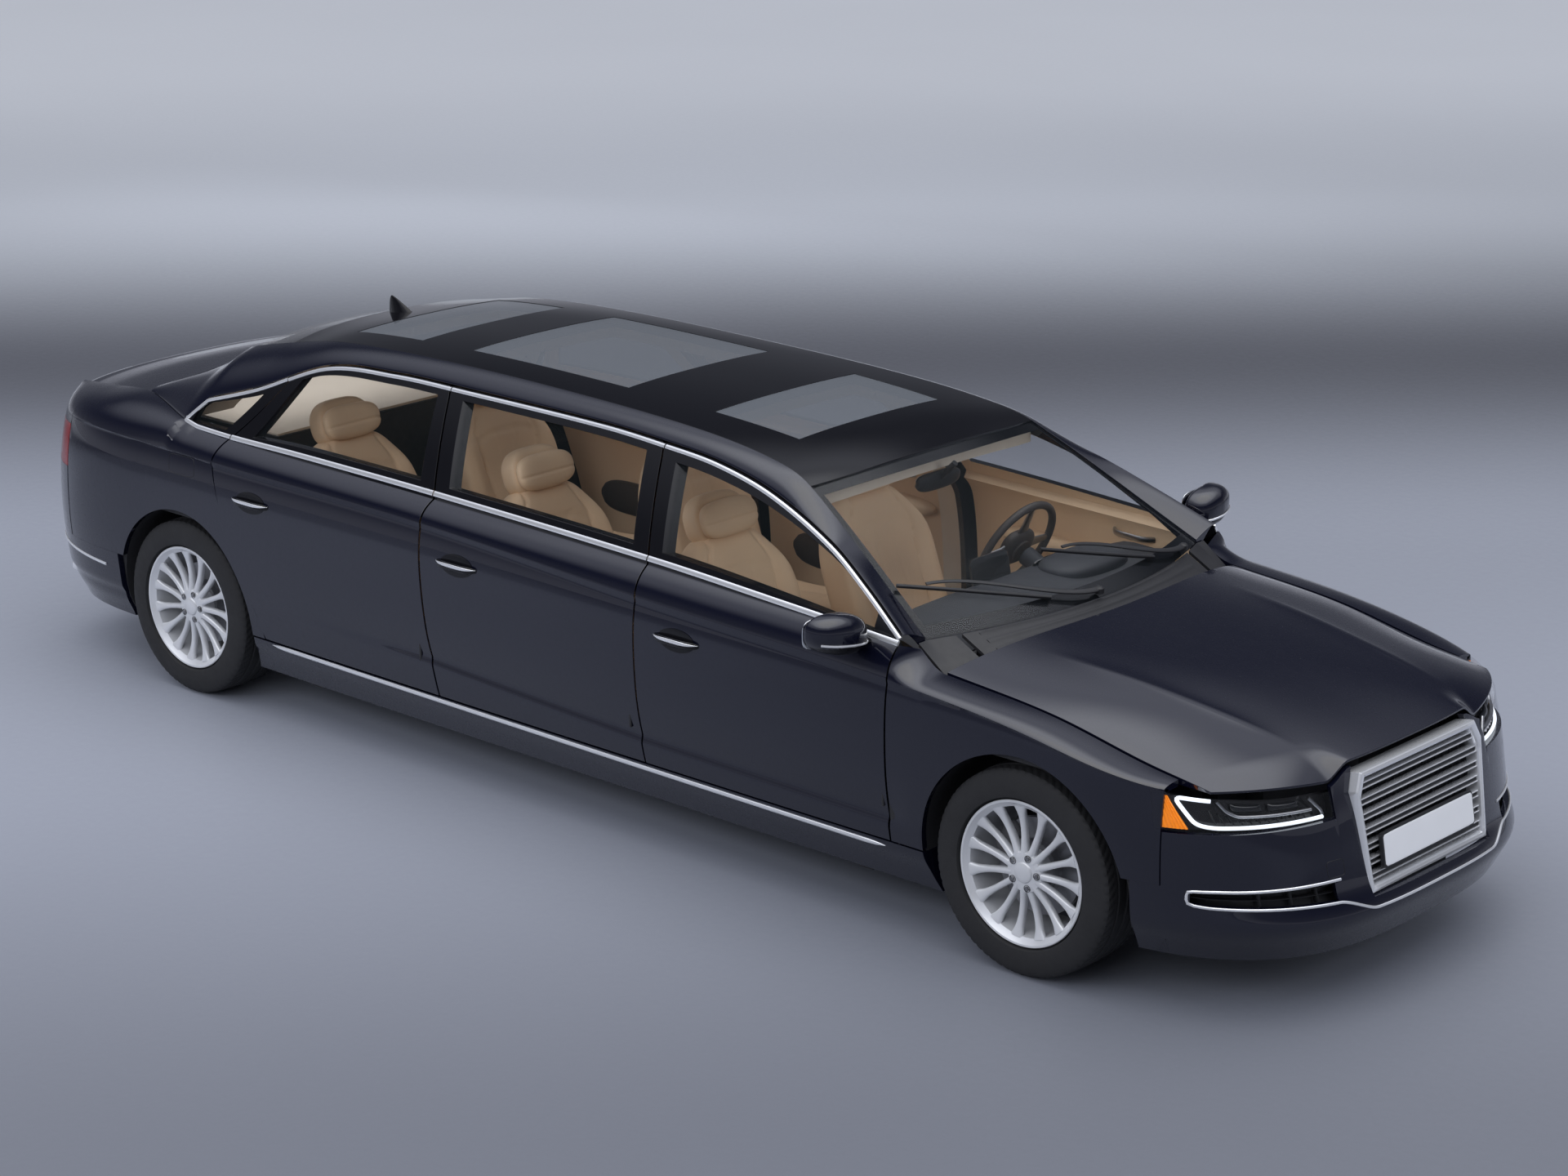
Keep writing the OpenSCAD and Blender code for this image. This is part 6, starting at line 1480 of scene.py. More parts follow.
def headlamp_parts():
    """Headlamp: clear lens, black bowl, an L-shaped light bar, satin bracket and fins, two lenses, an amber end."""
    parts = lamp_shells(lamp_point, 60, 0.06, 0.80)
    up = (0.8, 0.6, 0)
    bar = lamp_line([(0.66, 0.93), (0.875, 0.93), (0.775, 0.20), (0.68, 0.12), (0.04, 0.12)], 0.30)
    parts.append(sweep_parts(bar, ring(0.0065, 0.006, 12), up, 2))
    hook = lamp_line([(0.05, 0.12), (0.05, 0.35), (0.11, 0.92)], 0.36, 24)
    parts.append(sweep_parts(hook, ring(0.006, 0.007, 12), up, 3))
    bracket = lamp_line([(0.64, 0.95), (0.59, 0.62), (0.53, 0.46), (0.10, 0.46)], 0.42)
    parts.append(sweep_parts(bracket, ring(0.006, 0.009, 12), up, 3))
    for k in range(11):
        at = 0.14 + 0.052 * k
        top = np.interp(at, [0.10, 0.53, 0.62, 0.72], [0.42, 0.42, 0.55, 0.80])
        fin = lamp_line([(at, 0.18), (at + 0.03, top)], 0.55, 8)
        parts.append(sweep_parts(fin, ring(0.0022, 0.010, 8), up, 3))
    for a0, a1 in ((0.16, 0.34), (0.38, 0.56)):
        a, b = grid(steps(a0, a1, 14), steps(0.56, 0.84, 8))
        dome = np.sin(np.pi * (a - a0) / (a1 - a0)) * np.sin(np.pi * (b - 0.56) / 0.28)
        front = lamp_point(a, b, 0.62 - 0.16 * dome**0.5)
        parts.append(recolour(shell_parts(front, lamp_point(a, b, 0.70 + 0 * a)), 4))
    b, f = np.meshgrid(steps(0.05, 0.93, 16), steps(0, 1, 16))
    a = mix(mix(0.815, 0.915, b), 0.996, f)
    ripple = 0.05 * np.cos(f * 16 * np.pi)
    parts.append(recolour(shell_parts(lamp_point(a, b, 0.30 + ripple), lamp_point(a, b, 0.62 + 0 * a)), 5))
    return join_parts(parts)


LAMP_BLACK = finish("lamp_bowl", (0.010, 0.010, 0.011), (0.12, 0.2), tone=(20, 0.1), grain=(900, 0.4, 0.00004))
lamp_looks = [LENS, LAMP_BLACK, LIGHT_BAR, SATIN, SCREEN, AMBER]
single("headlamp_pair", mirrored(headlamp_parts()), lamp_looks, "lamp_clear", ["headlamps"], weld=WELD)


# Tail: boot lid, bumper, lamps
lip_share = 0.706
lip_w_share = 0.616
boot_lip_z = lip_share * body_h
BOOT_DECK = [[0, 0.742], [0.5, 0.733], [0.85, 0.716], [1, lip_share]]


def boot_deck(u, v):
    """Deck of the boot lid: u from the rear window to the lip, v across it."""
    x0 = station_x(mix(-0.556, -0.435, v**2))
    x1 = tail_skin_x(v * half_w * lip_w_share, np.full(np.shape(v), boot_lip_z))
    x = mix(x0, x1, u)
    y = v * half_w * (curve(BELT_SHARES, x_station(x)) - 0.012)
    return point(x, y, body_h * (curve(BOOT_DECK, u) - 0.010 * v**2))


def boot_face(r, v):
    """Rear face of the boot lid, from its lower edge (r 0) to the lip (r 1)."""
    z = body_h * mix(0.480, lip_share - 0.010 * v**2, r)
    y = v * half_w * mix(0.550, lip_w_share, r)
    return point(tail_skin_x(y, z), y, z)


def boot_parts():
    """Boot lid: the deck and the rear face as one sheet, with a small lip where they meet."""
    v = steps(-1, 1, 64)
    deck, face = steps(0, 0.985, 40), steps(0.985, 0, 40)
    u, vv = grid(deck, v)
    top = boot_deck(u, vv)
    top[..., 2] += 0.006 * smooth((u - 0.86) / 0.12)
    r, vw = grid(face, v)
    rear = boot_face(r, vw)
    rear[..., 0] += 0.006 * smooth((0.62 - r) / 0.08) * smooth((0.55 - np.abs(vw)) / 0.1) * 1.6
    outer = np.concatenate([top, rear])
    top_in = top + point(lid_t * (u > 0.9), 0, -lid_t)
    rear_in = rear + point(lid_t, 0, -lid_t * (r > 0.95))
    return shell_parts(outer, np.concatenate([top_in, rear_in]))


def boot_arm_parts():
    """Goosenecks of the boot lid: a short leg down from the pin, an elbow, and back up to the lid's under side."""
    y = 0.50 * half_w
    pin = np.array([place_x(-0.409), y, 0.732 * body_h])
    elbow = pin + 0.095 * np.array([np.cos(radians(245)), 0, np.sin(radians(245))])
    p = boot_deck(np.array(0.10), np.array(0.72))
    seat = np.array([p[0], y, p[2] - lid_t])
    t = steps(0, 1, 16)[:, None]
    leg, rise = mix(pin, elbow, 0.8), mix(elbow, seat, 0.3)
    path = np.concatenate([mix(pin, leg, t[:-1]), bend(leg, elbow, rise, t[:-1]), mix(rise, seat, t)])
    return sweep_parts(path, ring(0.006, 0.010, 12, 3.0), (0, 1, 0), 1)


def boot_strip_parts():
    """Bright bar across the rear face over the plate."""
    v = steps(-0.80, 0.80, 60)
    p = boot_face(np.full(v.shape, 0.66), v)
    return sweep_parts(p + [-0.003, 0, 0], ring(0.010, 0.006, 12, 2.5), (-1, 0, 0), 0)


REAR_LOW = 0.148 * body_h
tail_lamp_turn = radians(27.2)
TAIL_LAMP_LOW = 0.530 * body_h
rear_mid_turn = radians(23.5)
tail_seam_x = place_x(tail_lamp_share) - seam_gap


def rear_bumper_parts():
    """Rear bumper: columns break at the plate field and the quarter seam; rows lie in bands of height."""
    def turns_at(z):
        """Turns of the breaks at a height."""
        return stacked(0 * z, rear_mid_turn, rear_mid_turn + 0.005, tail_turn_x(tail_seam_x, z),
                       tail_turn_x(rear_x - arch_r - 0.012, z))

    def edges_at(turn):
        """Heights of the bands' edges at a turn."""
        top = np.where(turn <= rear_mid_turn + 1e-6, 0.470 * body_h, TAIL_LAMP_LOW) - touch
        return stacked(REAR_LOW, quarter_seam_z - touch, top)

    def stepped(turn, z, depth):
        """Point of the tail, drawn in under a step low on it."""
        return tail_point(turn, z, depth + 0.010 * smooth((0.36 - z) / 0.03))

    return end_shell(stepped, (16, 1, 34, 16), (20, 16), turns_at, 0.45, edges_at, ((3, 1, 1),))


def tail_strip_parts():
    """Bright line low on the rear bumper, from arch to arch."""
    side = float(tail_turn_x(-2.535, 0.438))
    turn = side * steps(-1, 1, 160)
    z = np.interp(np.abs(turn) / side, [0, 0.6, 1], [0.470, 0.462, 0.436])
    p, q = tail_point(turn, z, -0.001), tail_point(turn, z, 0.02)
    p[80, 1] = q[80, 1] = 0
    return sweep_parts(p, ring(0.006, 0.004, 10), outward(p, q), 0)


def tail_lamp_point(a, b, depth):
    """Point of a tail lamp: a from the boot lid to the quarter, b upwards, depth under the lens."""
    z = mix(TAIL_LAMP_LOW + touch, lamp_top_z - 0.0006, b)
    turn = mix(tail_lamp_turn + 0 * z, tail_turn_x(tail_seam_x, z), a)
    room = mix(0.014, 0.060, np.clip((turn - tail_lamp_turn) / radians(17.8), 0, 1))
    return tail_point(turn, z, depth * room)


def tail_lamp_parts():
    """Tail lamp: red lens with a smooth skin, a dark bowl, and two bright bars that follow its outline."""
    parts = lamp_shells(tail_lamp_point, 50, 0.08, 0.85)
    for high in (0.18, 0.80):
        a = steps(0.06, 0.94, 40)
        line = tail_lamp_point(a, np.full(a.shape, high), 0.35 + 0 * a)
        parts.append(sweep_parts(line, ring(0.006, 0.006, 12), (-0.8, 0.6, 0), 2))
    a = np.full(17, 0.94)
    line = tail_lamp_point(a, steps(0.18, 0.80, 16), 0.35 + 0 * a)
    parts.append(sweep_parts(line, ring(0.005, 0.005, 12), (-0.8, 0.6, 0), 2))
    return join_parts(parts)


pipe_z = 0.270


def tail_pipe_parts():
    """Pair of tail pipes: flattened bright sleeves with closed ends, each with a black disc of painted shade for its
    dark throat, set in the lower bumper.
    """
    parts = []
    for y in (0.50, 0.66):
        x0 = float(tail_skin_x(np.array(y), np.array(0.30)))
        t = steps(0, 1, 8)
        path = point(x0 - 0.010 + 0.13 * t, y + 0 * t, pipe_z + 0 * t)
        wall = np.array([1.0, 1.03, 1.0, 0.98, 0.97, 0.97, 0.97, 0.97, 0.97])[:, None, None]
        parts.append(sweep_parts(path, ring(0.028, 0.058, 28, 3.5)[:, ::-1] * wall, (0, 0, 1), 0))
        # Thin black disc just behind the sleeve's closed end: painted shade standing for the hollow inside the pipe.
        path = point(np.array([x0 - 0.0112, x0 - 0.0106]), y + np.zeros(2), pipe_z + np.zeros(2))
        parts.append(sweep_parts(path, ring(0.022, 0.051, 28, 3.5)[:, ::-1], (0, 0, 1), 1))
    return join_parts(parts)


single("boot_panel", join_parts([boot_parts(), mirrored(boot_arm_parts())]), [PAINT, UNDER], "paint", ["boot_lid"],
       body="boot_lid", bevel=0.0018)
single("boot_strip", boot_strip_parts(), [CHROME], "chrome", body="boot_lid", weld=WELD)
single("bumper_rear", rear_bumper_parts(), [PAINT, UNDER], "paint", ["rear_bumper"], bevel=0.0018)
single("bumper_strip_rear", tail_strip_parts(), [CHROME], "chrome", weld=WELD)
single("tail_lamp_pair", mirrored(tail_lamp_parts()), [RED_LENS, LAMP_BLACK, CHROME], "lamp_red", ["tail_lamps"],
       weld=WELD)
both("tail_pipes", tail_pipe_parts(), [CHROME, LAMP_BLACK], "chrome", weld=WELD)
plate_back = float(tail_skin_x(np.array(0.0), np.array(0.79)))
single("plate_rear", plate_parts(plate_back - 0.002, plate_half, 0.735, 0.840, -4, -1), [PLATE, TRIM], "trim_black",
       body="boot_lid", weld=WELD)


# Cowl, wipers, roof fin and small fittings
def cowl_parts():
    """Black cowl from the foot of the windshield to the rear edge of the hood, ribbed across."""
    v, u = grid(steps(-1, 1, 60), steps(0, 1, 16))
    back = pane_point(*SCREEN_PANE, np.full(v.shape, screen_foot), v * 0.76, screen_t) + [0.003, 0, -0.003]
    y = back[..., 1]
    x, z, _ = hood_surface(np.zeros_like(y), y)
    front = point(x - 0.012, y, z - 0.020)
    p = mix(back, front, u[..., None])
    p[..., 2] += 0.003 * np.maximum(0, np.sin(u * 5 * np.pi)) * (u > 0.1) * (u < 0.95)
    floor = p.copy()
    floor[..., 2] = 0.588 * body_h + touch
    return shell_parts(p, floor)


def wiper_parts(y0, y1, lift):
    """Wiper: an arm from its pivot up the glass, and a blade lying along it."""
    def on_glass(y, s, gap):
        """Point over the windshield at a half width and a station."""
        v = y / (roof_edge(s)[..., 0] - touch)
        return pane_point(*SCREEN_PANE, s, v, 0.0) + point(gap * 0.5, 0, gap * 0.85)
    t = steps(0, 1, 30)
    s = 0.8665 - lift * smooth(t)
    arm = on_glass(mix(y0, y1, t), s, 0.020 - 0.006 * t)
    blade = on_glass(mix(mix(y0, y1, 0.36), mix(y0, y1, 1.16), t), 0.8685 - lift * (0.20 + 0.95 * t), 0.011 + 0 * t)
    pivot = revolve_parts([(0.0005, -0.012), (0.016, -0.012), (0.017, 0.006), (0.010, 0.013), (0.0005, 0.013)],
                          (0, 0, 0), 20)
    pivot = moved(pivot, 90, 0, arm[0] + [0, 0, -0.004])
    size = mix(1.3, 0.7, t)[:, None, None]
    return join_parts([sweep_parts(arm, ring(0.009, 0.004, 12, 2.6) * size, (0.5, 0, 0.85), 0),
                       sweep_parts(blade, ring(0.007, 0.007, 10, 2.2), (0.5, 0, 0.85), 0), pivot])


def fin_parts():
    """Roof fin: lens-shaped sections that shrink and lean back towards the tip."""
    t, a = grid(steps(0, 1, 16), around(28))
    long = 0.062 * (1 - t)**0.8 + 0.006
    wide = 0.020 * (1 - t)**1.2 + 0.003
    x = -1.755 - 0.052 * t + long * np.cos(a)
    y = wide * np.sin(a) * np.abs(np.sin(a))**0.3
    base = roof_z(np.clip(x, place_x(0.045), None), y) - 0.002
    z = mix(base, base + 0.068, t)
    points = point(x, y, z)
    tip = points[-1].mean(0) + [0, 0, 0.002]
    return tube(np.concatenate([points, np.broadcast_to(tip, (1, 28, 3))]))


def flap_parts():
    """Outline of the filler flap on the right quarter: a fine dark groove in the skin."""
    o = ring(0.078, 0.036, 80, 6.0)
    x, z = -2.02 + o[:, 0] - 0.25 * o[:, 1], 0.944 + o[:, 1] + 0.02 * o[:, 0]
    y = side_y(x, z)
    p = carve(point(x, y, z))
    return sweep_parts(p * [1, -1, 1] + [0, 0.0002, 0], ring(0.0013, 0.0009, 6), (0, -1, 0), 0, closed=True)


def cowl_corner_parts(y0, y1):
    """Cover beside a hood arm, from the foot of the windshield to under the hood, between two half widths."""
    y, u = grid(steps(y0, y1, 12), steps(0, 1, 10))
    edge = float(roof_edge(np.array(screen_foot))[0]) - touch
    back = pane_point(*SCREEN_PANE, np.full(y.shape, screen_foot), np.minimum(y / edge, 0.995), screen_t)
    back += [0.003, 0, -0.003]
    x, z, _ = hood_surface(np.zeros_like(y), np.minimum(y, hood_half))
    top = mix(point(back[..., 0], y, back[..., 2]), point(x - 0.012, y, z - 0.020), u[..., None])
    return shell_parts(top, top - [0, 0, 0.012])


corners = join_parts([cowl_corner_parts(0.560, 0.632), cowl_corner_parts(0.656, 0.800)])
both("cowl_corner", corners, [TRIM, TRIM], "trim_black")
single("cowl_panel", cowl_parts(), [TRIM, TRIM], "trim_black", ["cowl"], bevel=0.001)
wipers = join_parts([wiper_parts(0.60, 0.02, 0.040), wiper_parts(-0.02, -0.60, 0.040)])
single("wiper_pair", wipers, [TRIM], "trim_black", weld=WELD)
single("roof_fin", fin_parts(), [BLACK_PAINT], "roof_black", weld=WELD)
single("filler_flap_line", flap_parts(), [MESH_BLACK], "trim_black", weld=WELD)


# Wheels
rim_out = wheel_y + tyre_w / 2 - 0.0105
rim_in = wheel_y - tyre_w / 2 + 0.0075
disc_y = wheel_y - 0.005
bolt_r = 0.0535


def about_axle(parts, count, x):
    """Copies of a part set round an axle along y."""
    points, quads, kinds = parts
    a = around(count)
    c, s = np.cos(a)[:, None], np.sin(a)[:, None]
    px, pz = points[:, 0], points[:, 2]
    spun = point(c * px - s * pz + x, points[:, 1], s * px + c * pz + tyre_r).reshape(-1, 3)
    n = np.arange(count)[:, None, None] * len(points)
    return spun, (quads + n).reshape(-1, 4), np.tile(np.broadcast_to(kinds, len(quads)), count)


def wheel_parts(x):
    """Wheel: turned rim, spokes that flare into it, domed hub with bolts and a plain cap, brake disc behind."""
    axle = (x, 0, tyre_r)
    lip = [(0.214, rim_in + 0.004), (0.222, rim_in), (0.248, rim_in), (0.2475, rim_in + 0.007),
           (0.236, rim_in + 0.012), (0.231, 0.745), (0.226, 0.800), (0.231, 0.895), (0.236, rim_out - 0.014),
           (0.2465, rim_out - 0.007), (0.2485, rim_out - 0.002), (0.246, rim_out), (0.240, rim_out - 0.001),
           (0.232, rim_out - 0.011), (0.222, rim_out - 0.020), (0.217, 0.880), (0.214, 0.800), (0.214, rim_in + 0.004)]
    parts = [revolve_parts(lip, axle, 160, 0)]
    r0, r1 = 0.050, 0.2285
    t = steps(0, 1, 26)
    r = mix(r0, r1, t)
    wide = np.interp(t, [0, 0.25, 0.6, 0.85, 1], [0.0130, 0.0115, 0.0108, 0.0150, 0.0270])
    wide = np.convolve(np.pad(wide, 2, mode="edge"), np.ones(5) / 5, "valid")
    face = rim_out - 0.017 - 0.010 * np.sin(np.pi * t)**1.2 + 0.004 * t**6
    deep = mix(0.017, 0.012, t)
    o = ring(1, 1, 20, 2.6)
    profile = o[None] * np.stack([wide, deep], -1)[:, None]
    spoke = sweep_parts(point(r, face - deep, 0 * r), profile, (0, 1, 0), 0)
    parts.append(about_axle(spoke, 15, x))
    hub = [(0.0006, disc_y + 0.004), (0.070, disc_y + 0.004), (0.072, 0.890), (0.0715, rim_out - 0.030),
           (0.067, rim_out - 0.021), (0.052, rim_out - 0.018), (0.036, rim_out - 0.018), (0.034, rim_out - 0.014),
           (0.031, rim_out - 0.012), (0.018, rim_out - 0.010), (0.0006, rim_out - 0.0095)]
    parts.append(revolve_parts(hub, axle, 96, 0))
    well = revolve_parts([(0.0006, 0), (0.0125, 0), (0.0125, 0.003), (0.0112, 0.0035), (0.0108, -0.001),
                          (0.0006, -0.001)], (bolt_r, rim_out - 0.019, 0), 20, 2)
    bolt = revolve_parts([(0.0006, 0), (0.0078, 0), (0.0082, 0.005), (0.0066, 0.0075), (0.0006, 0.008)],
                         (bolt_r, rim_out - 0.020, 0), 6, 1)
    parts.append(about_axle(join_parts([well, bolt]), 5, x))
    disc = [(0.0735, disc_y + 0.001), (0.165, disc_y + 0.001), (0.165, disc_y + 0.009), (0.158, disc_y + 0.010),
            (0.158, disc_y + 0.014), (0.165, disc_y + 0.015), (0.165, disc_y + 0.023), (0.095, disc_y + 0.023),
            (0.090, disc_y + 0.044), (0.0735, disc_y + 0.044), (0.0735, disc_y + 0.001)]
    parts.append(revolve_parts(disc, axle, 96, 1))
    return join_parts(parts)


def tyre_parts(x):
    """Tyre: a turned profile with rounded shoulders, four grooves round it and slanted cuts across the outer ribs."""
    half = tyre_w / 2
    count = 288
    wall_q = np.array([0.930, 0.945, 0.975, 0.992, 1.000, 0.992, 0.965, 0.925, 0.885, 0.840])
    wall_r = np.array([0.2345, 0.2520, 0.2580, 0.2680, 0.2850, 0.3050, 0.3250, 0.3390, 0.3465, 0.3510])
    q = np.concatenate([wall_q, steps(0.80, -0.80, 64), -wall_q[::-1]])
    crown = tyre_r - 0.0046 * np.abs(steps(0.80, -0.80, 64) / 0.80)**2.4
    r = np.concatenate([wall_r, crown, wall_r[::-1]])
    a = around(count)
    tread = (np.abs(q) < 0.78)[:, None]
    groove = np.zeros_like(q)
    for c in (-0.50, -0.17, 0.17, 0.50):
        groove = np.maximum(groove, smooth((0.052 - np.abs(q - c)) / 0.018))
    slant = np.abs(((a[None] * 72 / (2 * np.pi) + 3.2 * np.abs(q)[:, None]) % 1.0) - 0.5)
    cut = (slant < 0.13) & (np.abs(q) > 0.56)[:, None] & (np.abs(q) < 0.90)[:, None]
    rr = r[:, None] - 0.0075 * groove[:, None] * tread - 0.0035 * cut
    rr = rr + (0.0012 * smooth((0.004 - np.abs(r - 0.272)) / 0.002) * (np.abs(q) > 0.8))[:, None]
    q = np.concatenate([q, [-0.930, 0.930]])
    rr = np.concatenate([rr, np.full((2, count), 0.2330)])
    q, rr = np.concatenate([q, q[:1]]), np.concatenate([rr, rr[:1]])
    bead = np.clip(wheel_y + q * half, rim_in + 0.0105, rim_out - 0.0105)
    y = np.where(rr[:, 0] < 0.2535, bead, wheel_y + q * half)
    return tube(point(x + rr * np.cos(a), y[:, None], tyre_r + rr * np.sin(a)))


def calliper_parts(x):
    """Brake calliper: a rounded bridge over the edge of the disc."""
    a = np.radians(152 + steps(-27, 27, 20))
    path = point(x + 0.142 * np.cos(a), disc_y + 0.012 + 0 * a, tyre_r + 0.142 * np.sin(a))
    size = (1 - np.abs(steps(-1, 1, 20))**8 * 0.5)[:, None, None]
    return sweep_parts(path, ring(0.030, 0.036, 20, 3.2)[:, ::-1] * size, (0, 1, 0), 0)


for end, x in AXLES:
    wheel = f"wheel_{end}_" + "{side}"
    both(f"alloy_wheel_{end}", wheel_parts(x), [ALLOY, STEEL, CAST], "wheel_alloy", [wheel], wheel, weld=WELD)
    both(f"road_tyre_{end}", tyre_parts(x), [RUBBER], "tyre", [f"tyre_{end}_" + "{side}"], wheel, weld=WELD, sharp=32)
    carrier = "knuckle_{side}" if end == "front" else "body"
    both(f"calliper_{end}", calliper_parts(x), [CAST], "cast_metal", (), carrier, weld=WELD)


# Cabin
floor_z = 0.104 * body_h
floor_top = floor_z + 0.030
front_face = place_x(0.8744)
dash_x = front_face - 0.030
SEATS = {"front": 0.745, "middle": 0.522, "rear": 0.262}
seat_y = 0.395 * half_w
STEER_HUB = np.array([1.12023, 0.37, 0.949325])
steer_lean = 65
vent_z = 0.592 * body_h


def seam(line, deep, wide=0.006):
    """Sewn channel: points are drawn in near a line, given as their distance from it."""
    return deep * np.exp(-(line / wide)**2)


def seat_parts(x):
    """Seat: crowned cushion, backrest with bolsters and a sewn middle panel, headrest and pillow, on a plinth."""
    parts = []
    long, wide = 0.265, 0.262
    p, q, k = pad_parts((long, wide, 0.080), 4.6, 44, 0)
    top = smooth(p[:, 2] / 0.04)
    side = np.abs(p[:, 1]) / wide
    p[:, 2] += top * (0.022 * smooth((side - 0.58) / 0.3) + 0.014 * (1 - (p[:, 0] / long)**2) * (1 - side**2))
    p[:, 2] += 0.020 * top * smooth(p[:, 0] / long)
    p[:, 1] *= 1 - 0.035 * (1 - np.abs(p[:, 0] / long)**3)
    line = np.abs(np.abs(p[:, 1]) - (0.148 + 0.018 * p[:, 0] / long))
    p[:, 2] -= top * (seam(line, 0.008) + seam(p[:, 0] - 0.165, 0.006) * (side < 0.60))
    p[:, 2] -= top * seam(np.abs(p[:, 1]) - 0.052, 0.0035) * (p[:, 0] < 0.16)
    parts.append((p + [x - 0.255, seat_y, floor_top + 0.228], q, k))
    wide, high = 0.258, 0.350
    p, q, k = pad_parts((0.078, wide, high), 4.2, 48, 0)
    rise = p[:, 2] / high
    p[:, 1] *= 1 - 0.20 * smooth((rise - 0.25) / 0.75) - 0.05 * smooth(-rise)
    fore = smooth(p[:, 0] / 0.03)
    side = np.abs(p[:, 1]) / wide
    p[:, 0] += fore * 0.034 * smooth((side - 0.55) / 0.32) * smooth((0.95 - rise) / 0.5)
    p[:, 0] += fore * 0.020 * np.exp(-((rise + 0.35) / 0.35)**2) * (1 - side**2)
    arc = np.abs(np.abs(p[:, 1]) - (0.150 + 0.020 * rise - 0.055 * smooth((rise - 0.55) / 0.4)))
    p[:, 0] -= fore * (seam(arc, 0.008) + seam(p[:, 2] - 0.215 + 1.2 * p[:, 1]**2, 0.006) * (side < 0.60))
    p[:, 0] -= fore * seam(np.abs(p[:, 1]) - 0.050, 0.0035) * (p[:, 2] < 0.21) * (side < 0.5)
    lean = 20
    foot = np.array([x - 0.52, seat_y, floor_top + 0.150])
    parts.append((turned(p + [0, 0, 0.375], -lean) + foot, q, k))
    p, q, k = pad_parts((0.050, 0.138, 0.092), 3.2, 26, 0)
    p[:, 0] += 0.018 * (p[:, 1] / 0.138)**2 * smooth(p[:, 0] / 0.03)
    p[:, 1] *= 1 - 0.12 * smooth(p[:, 2] / 0.092)
    parts.append((turned(p + [0.004, 0, 0.782], -lean) + foot, q, k))
    p, q, k = pad_parts((0.036, 0.140, 0.074), 2.7, 30, 0)
    p[:, 2] *= 1 - 0.16 * (1 - (p[:, 1] / 0.14)**2) * 0.5
    p[:, 0] += 0.014 * (p[:, 1] / 0.14)**2
    p[:, 0] -= smooth(p[:, 0] / 0.02) * seam(p[:, 2] + 0.012, 0.004)
    parts.append((turned(p + [0.066, 0, 0.772], -lean) + foot, q, k))
    for y in (-0.06, 0.06):
        t = steps(0, 1, 6)
        stem = turned(point(0.002 + 0 * t, y + 0 * t, mix(0.66, 0.72, t)), -lean) + foot
        parts.append(sweep_parts(stem, ring(0.006, 0.006, 10), (1, 0, 0), 2))
    parts.append(pad_at((0.225, 0.190, 0.080), 7.0, 14, 1, (x - 0.25, seat_y, floor_top + 0.0805)))
    return join_parts(parts)


def dash_parts():
    """Dashboard: a rounded section carried across the cabin, a hood over the dials, a middle screen and vents."""
    x1 = dash_x
    prof = np.array([[0.004, 0.46], [0.10, 0.455], [0.19, 0.462], [0.235, 0.50], [0.262, 0.560], [0.290, 0.600],
                     [0.318, 0.616], [0.328, 0.628], [0.318, 0.637], [0.27, 0.640], [0.16, 0.637], [0.07, 0.626],
                     [0.004, 0.590]])
    y = steps(-0.735, 0.735, 60) * half_w
    path = point(x1 + 0 * y, y, 0 * y)
    aside = np.abs(steps(-1, 1, 60))
    drop = 0.012 * aside**4
    reach = np.broadcast_to(prof[:, 0], (61, 13)) - 0.035 * (aside**3)[:, None] * (prof[:, 0] > 0.1)
    profile = np.stack([reach, prof[:, 1] * body_h - drop[:, None] * (prof[:, 1] > 0.6)], -1)
    parts = [sweep_parts(path, profile, (0, 0, 1), 0)]
    parts.append(pad_at((0.110, 0.190, 0.042), 2.8, 20, 0, (x1 - 0.205, 0.370, 0.636 * body_h)))
    parts.append(pad_at((0.006, 0.160, 0.038), 6.0, 10, 1, (x1 - 0.309, 0.370, 0.628 * body_h), 14))
    parts.append(pad_at((0.007, 0.105, 0.055), 7.0, 12, 1, (x1 - 0.325, -0.01, 0.676 * body_h - 0.022), -12))
    for yy in (-0.60, -0.20, 0.185, 0.60):
        loop = ring(0.058, 0.024, 40, 3.4)
        path = point(x1 - 0.302, yy + loop[:, 0], vent_z + loop[:, 1])
        parts.append(sweep_parts(path, ring(0.004, 0.004, 8), (1, 0, 0), 2, closed=True))
        for dz in (-0.012, 0, 0.012):
            path = point(np.full(7, x1 - 0.300), yy + steps(-0.05, 0.05, 6), np.full(7, vent_z + dz))
            parts.append(sweep_parts(path, ring(0.002, 0.006, 8), (1, 0, 0), 1))
    y = steps(-0.70, 0.70, 60) * half_w
    inlay = point(x1 - 0.286 + 0.035 * aside**3, y, np.full(61, 0.560 * body_h))
    parts.append(sweep_parts(inlay, ring(0.004, 0.014, 12, 3.0)[:, ::-1], (1, 0, 0), 3))
    axis = np.array([-np.sin(radians(steer_lean)), 0, np.cos(radians(steer_lean))])
    t = steps(0.052, 0.26, 10)
    parts.append(sweep_parts(STEER_HUB - t[:, None] * axis, ring(0.036, 0.036, 20), (0, 1, 0), 0))
    return join_parts(parts)


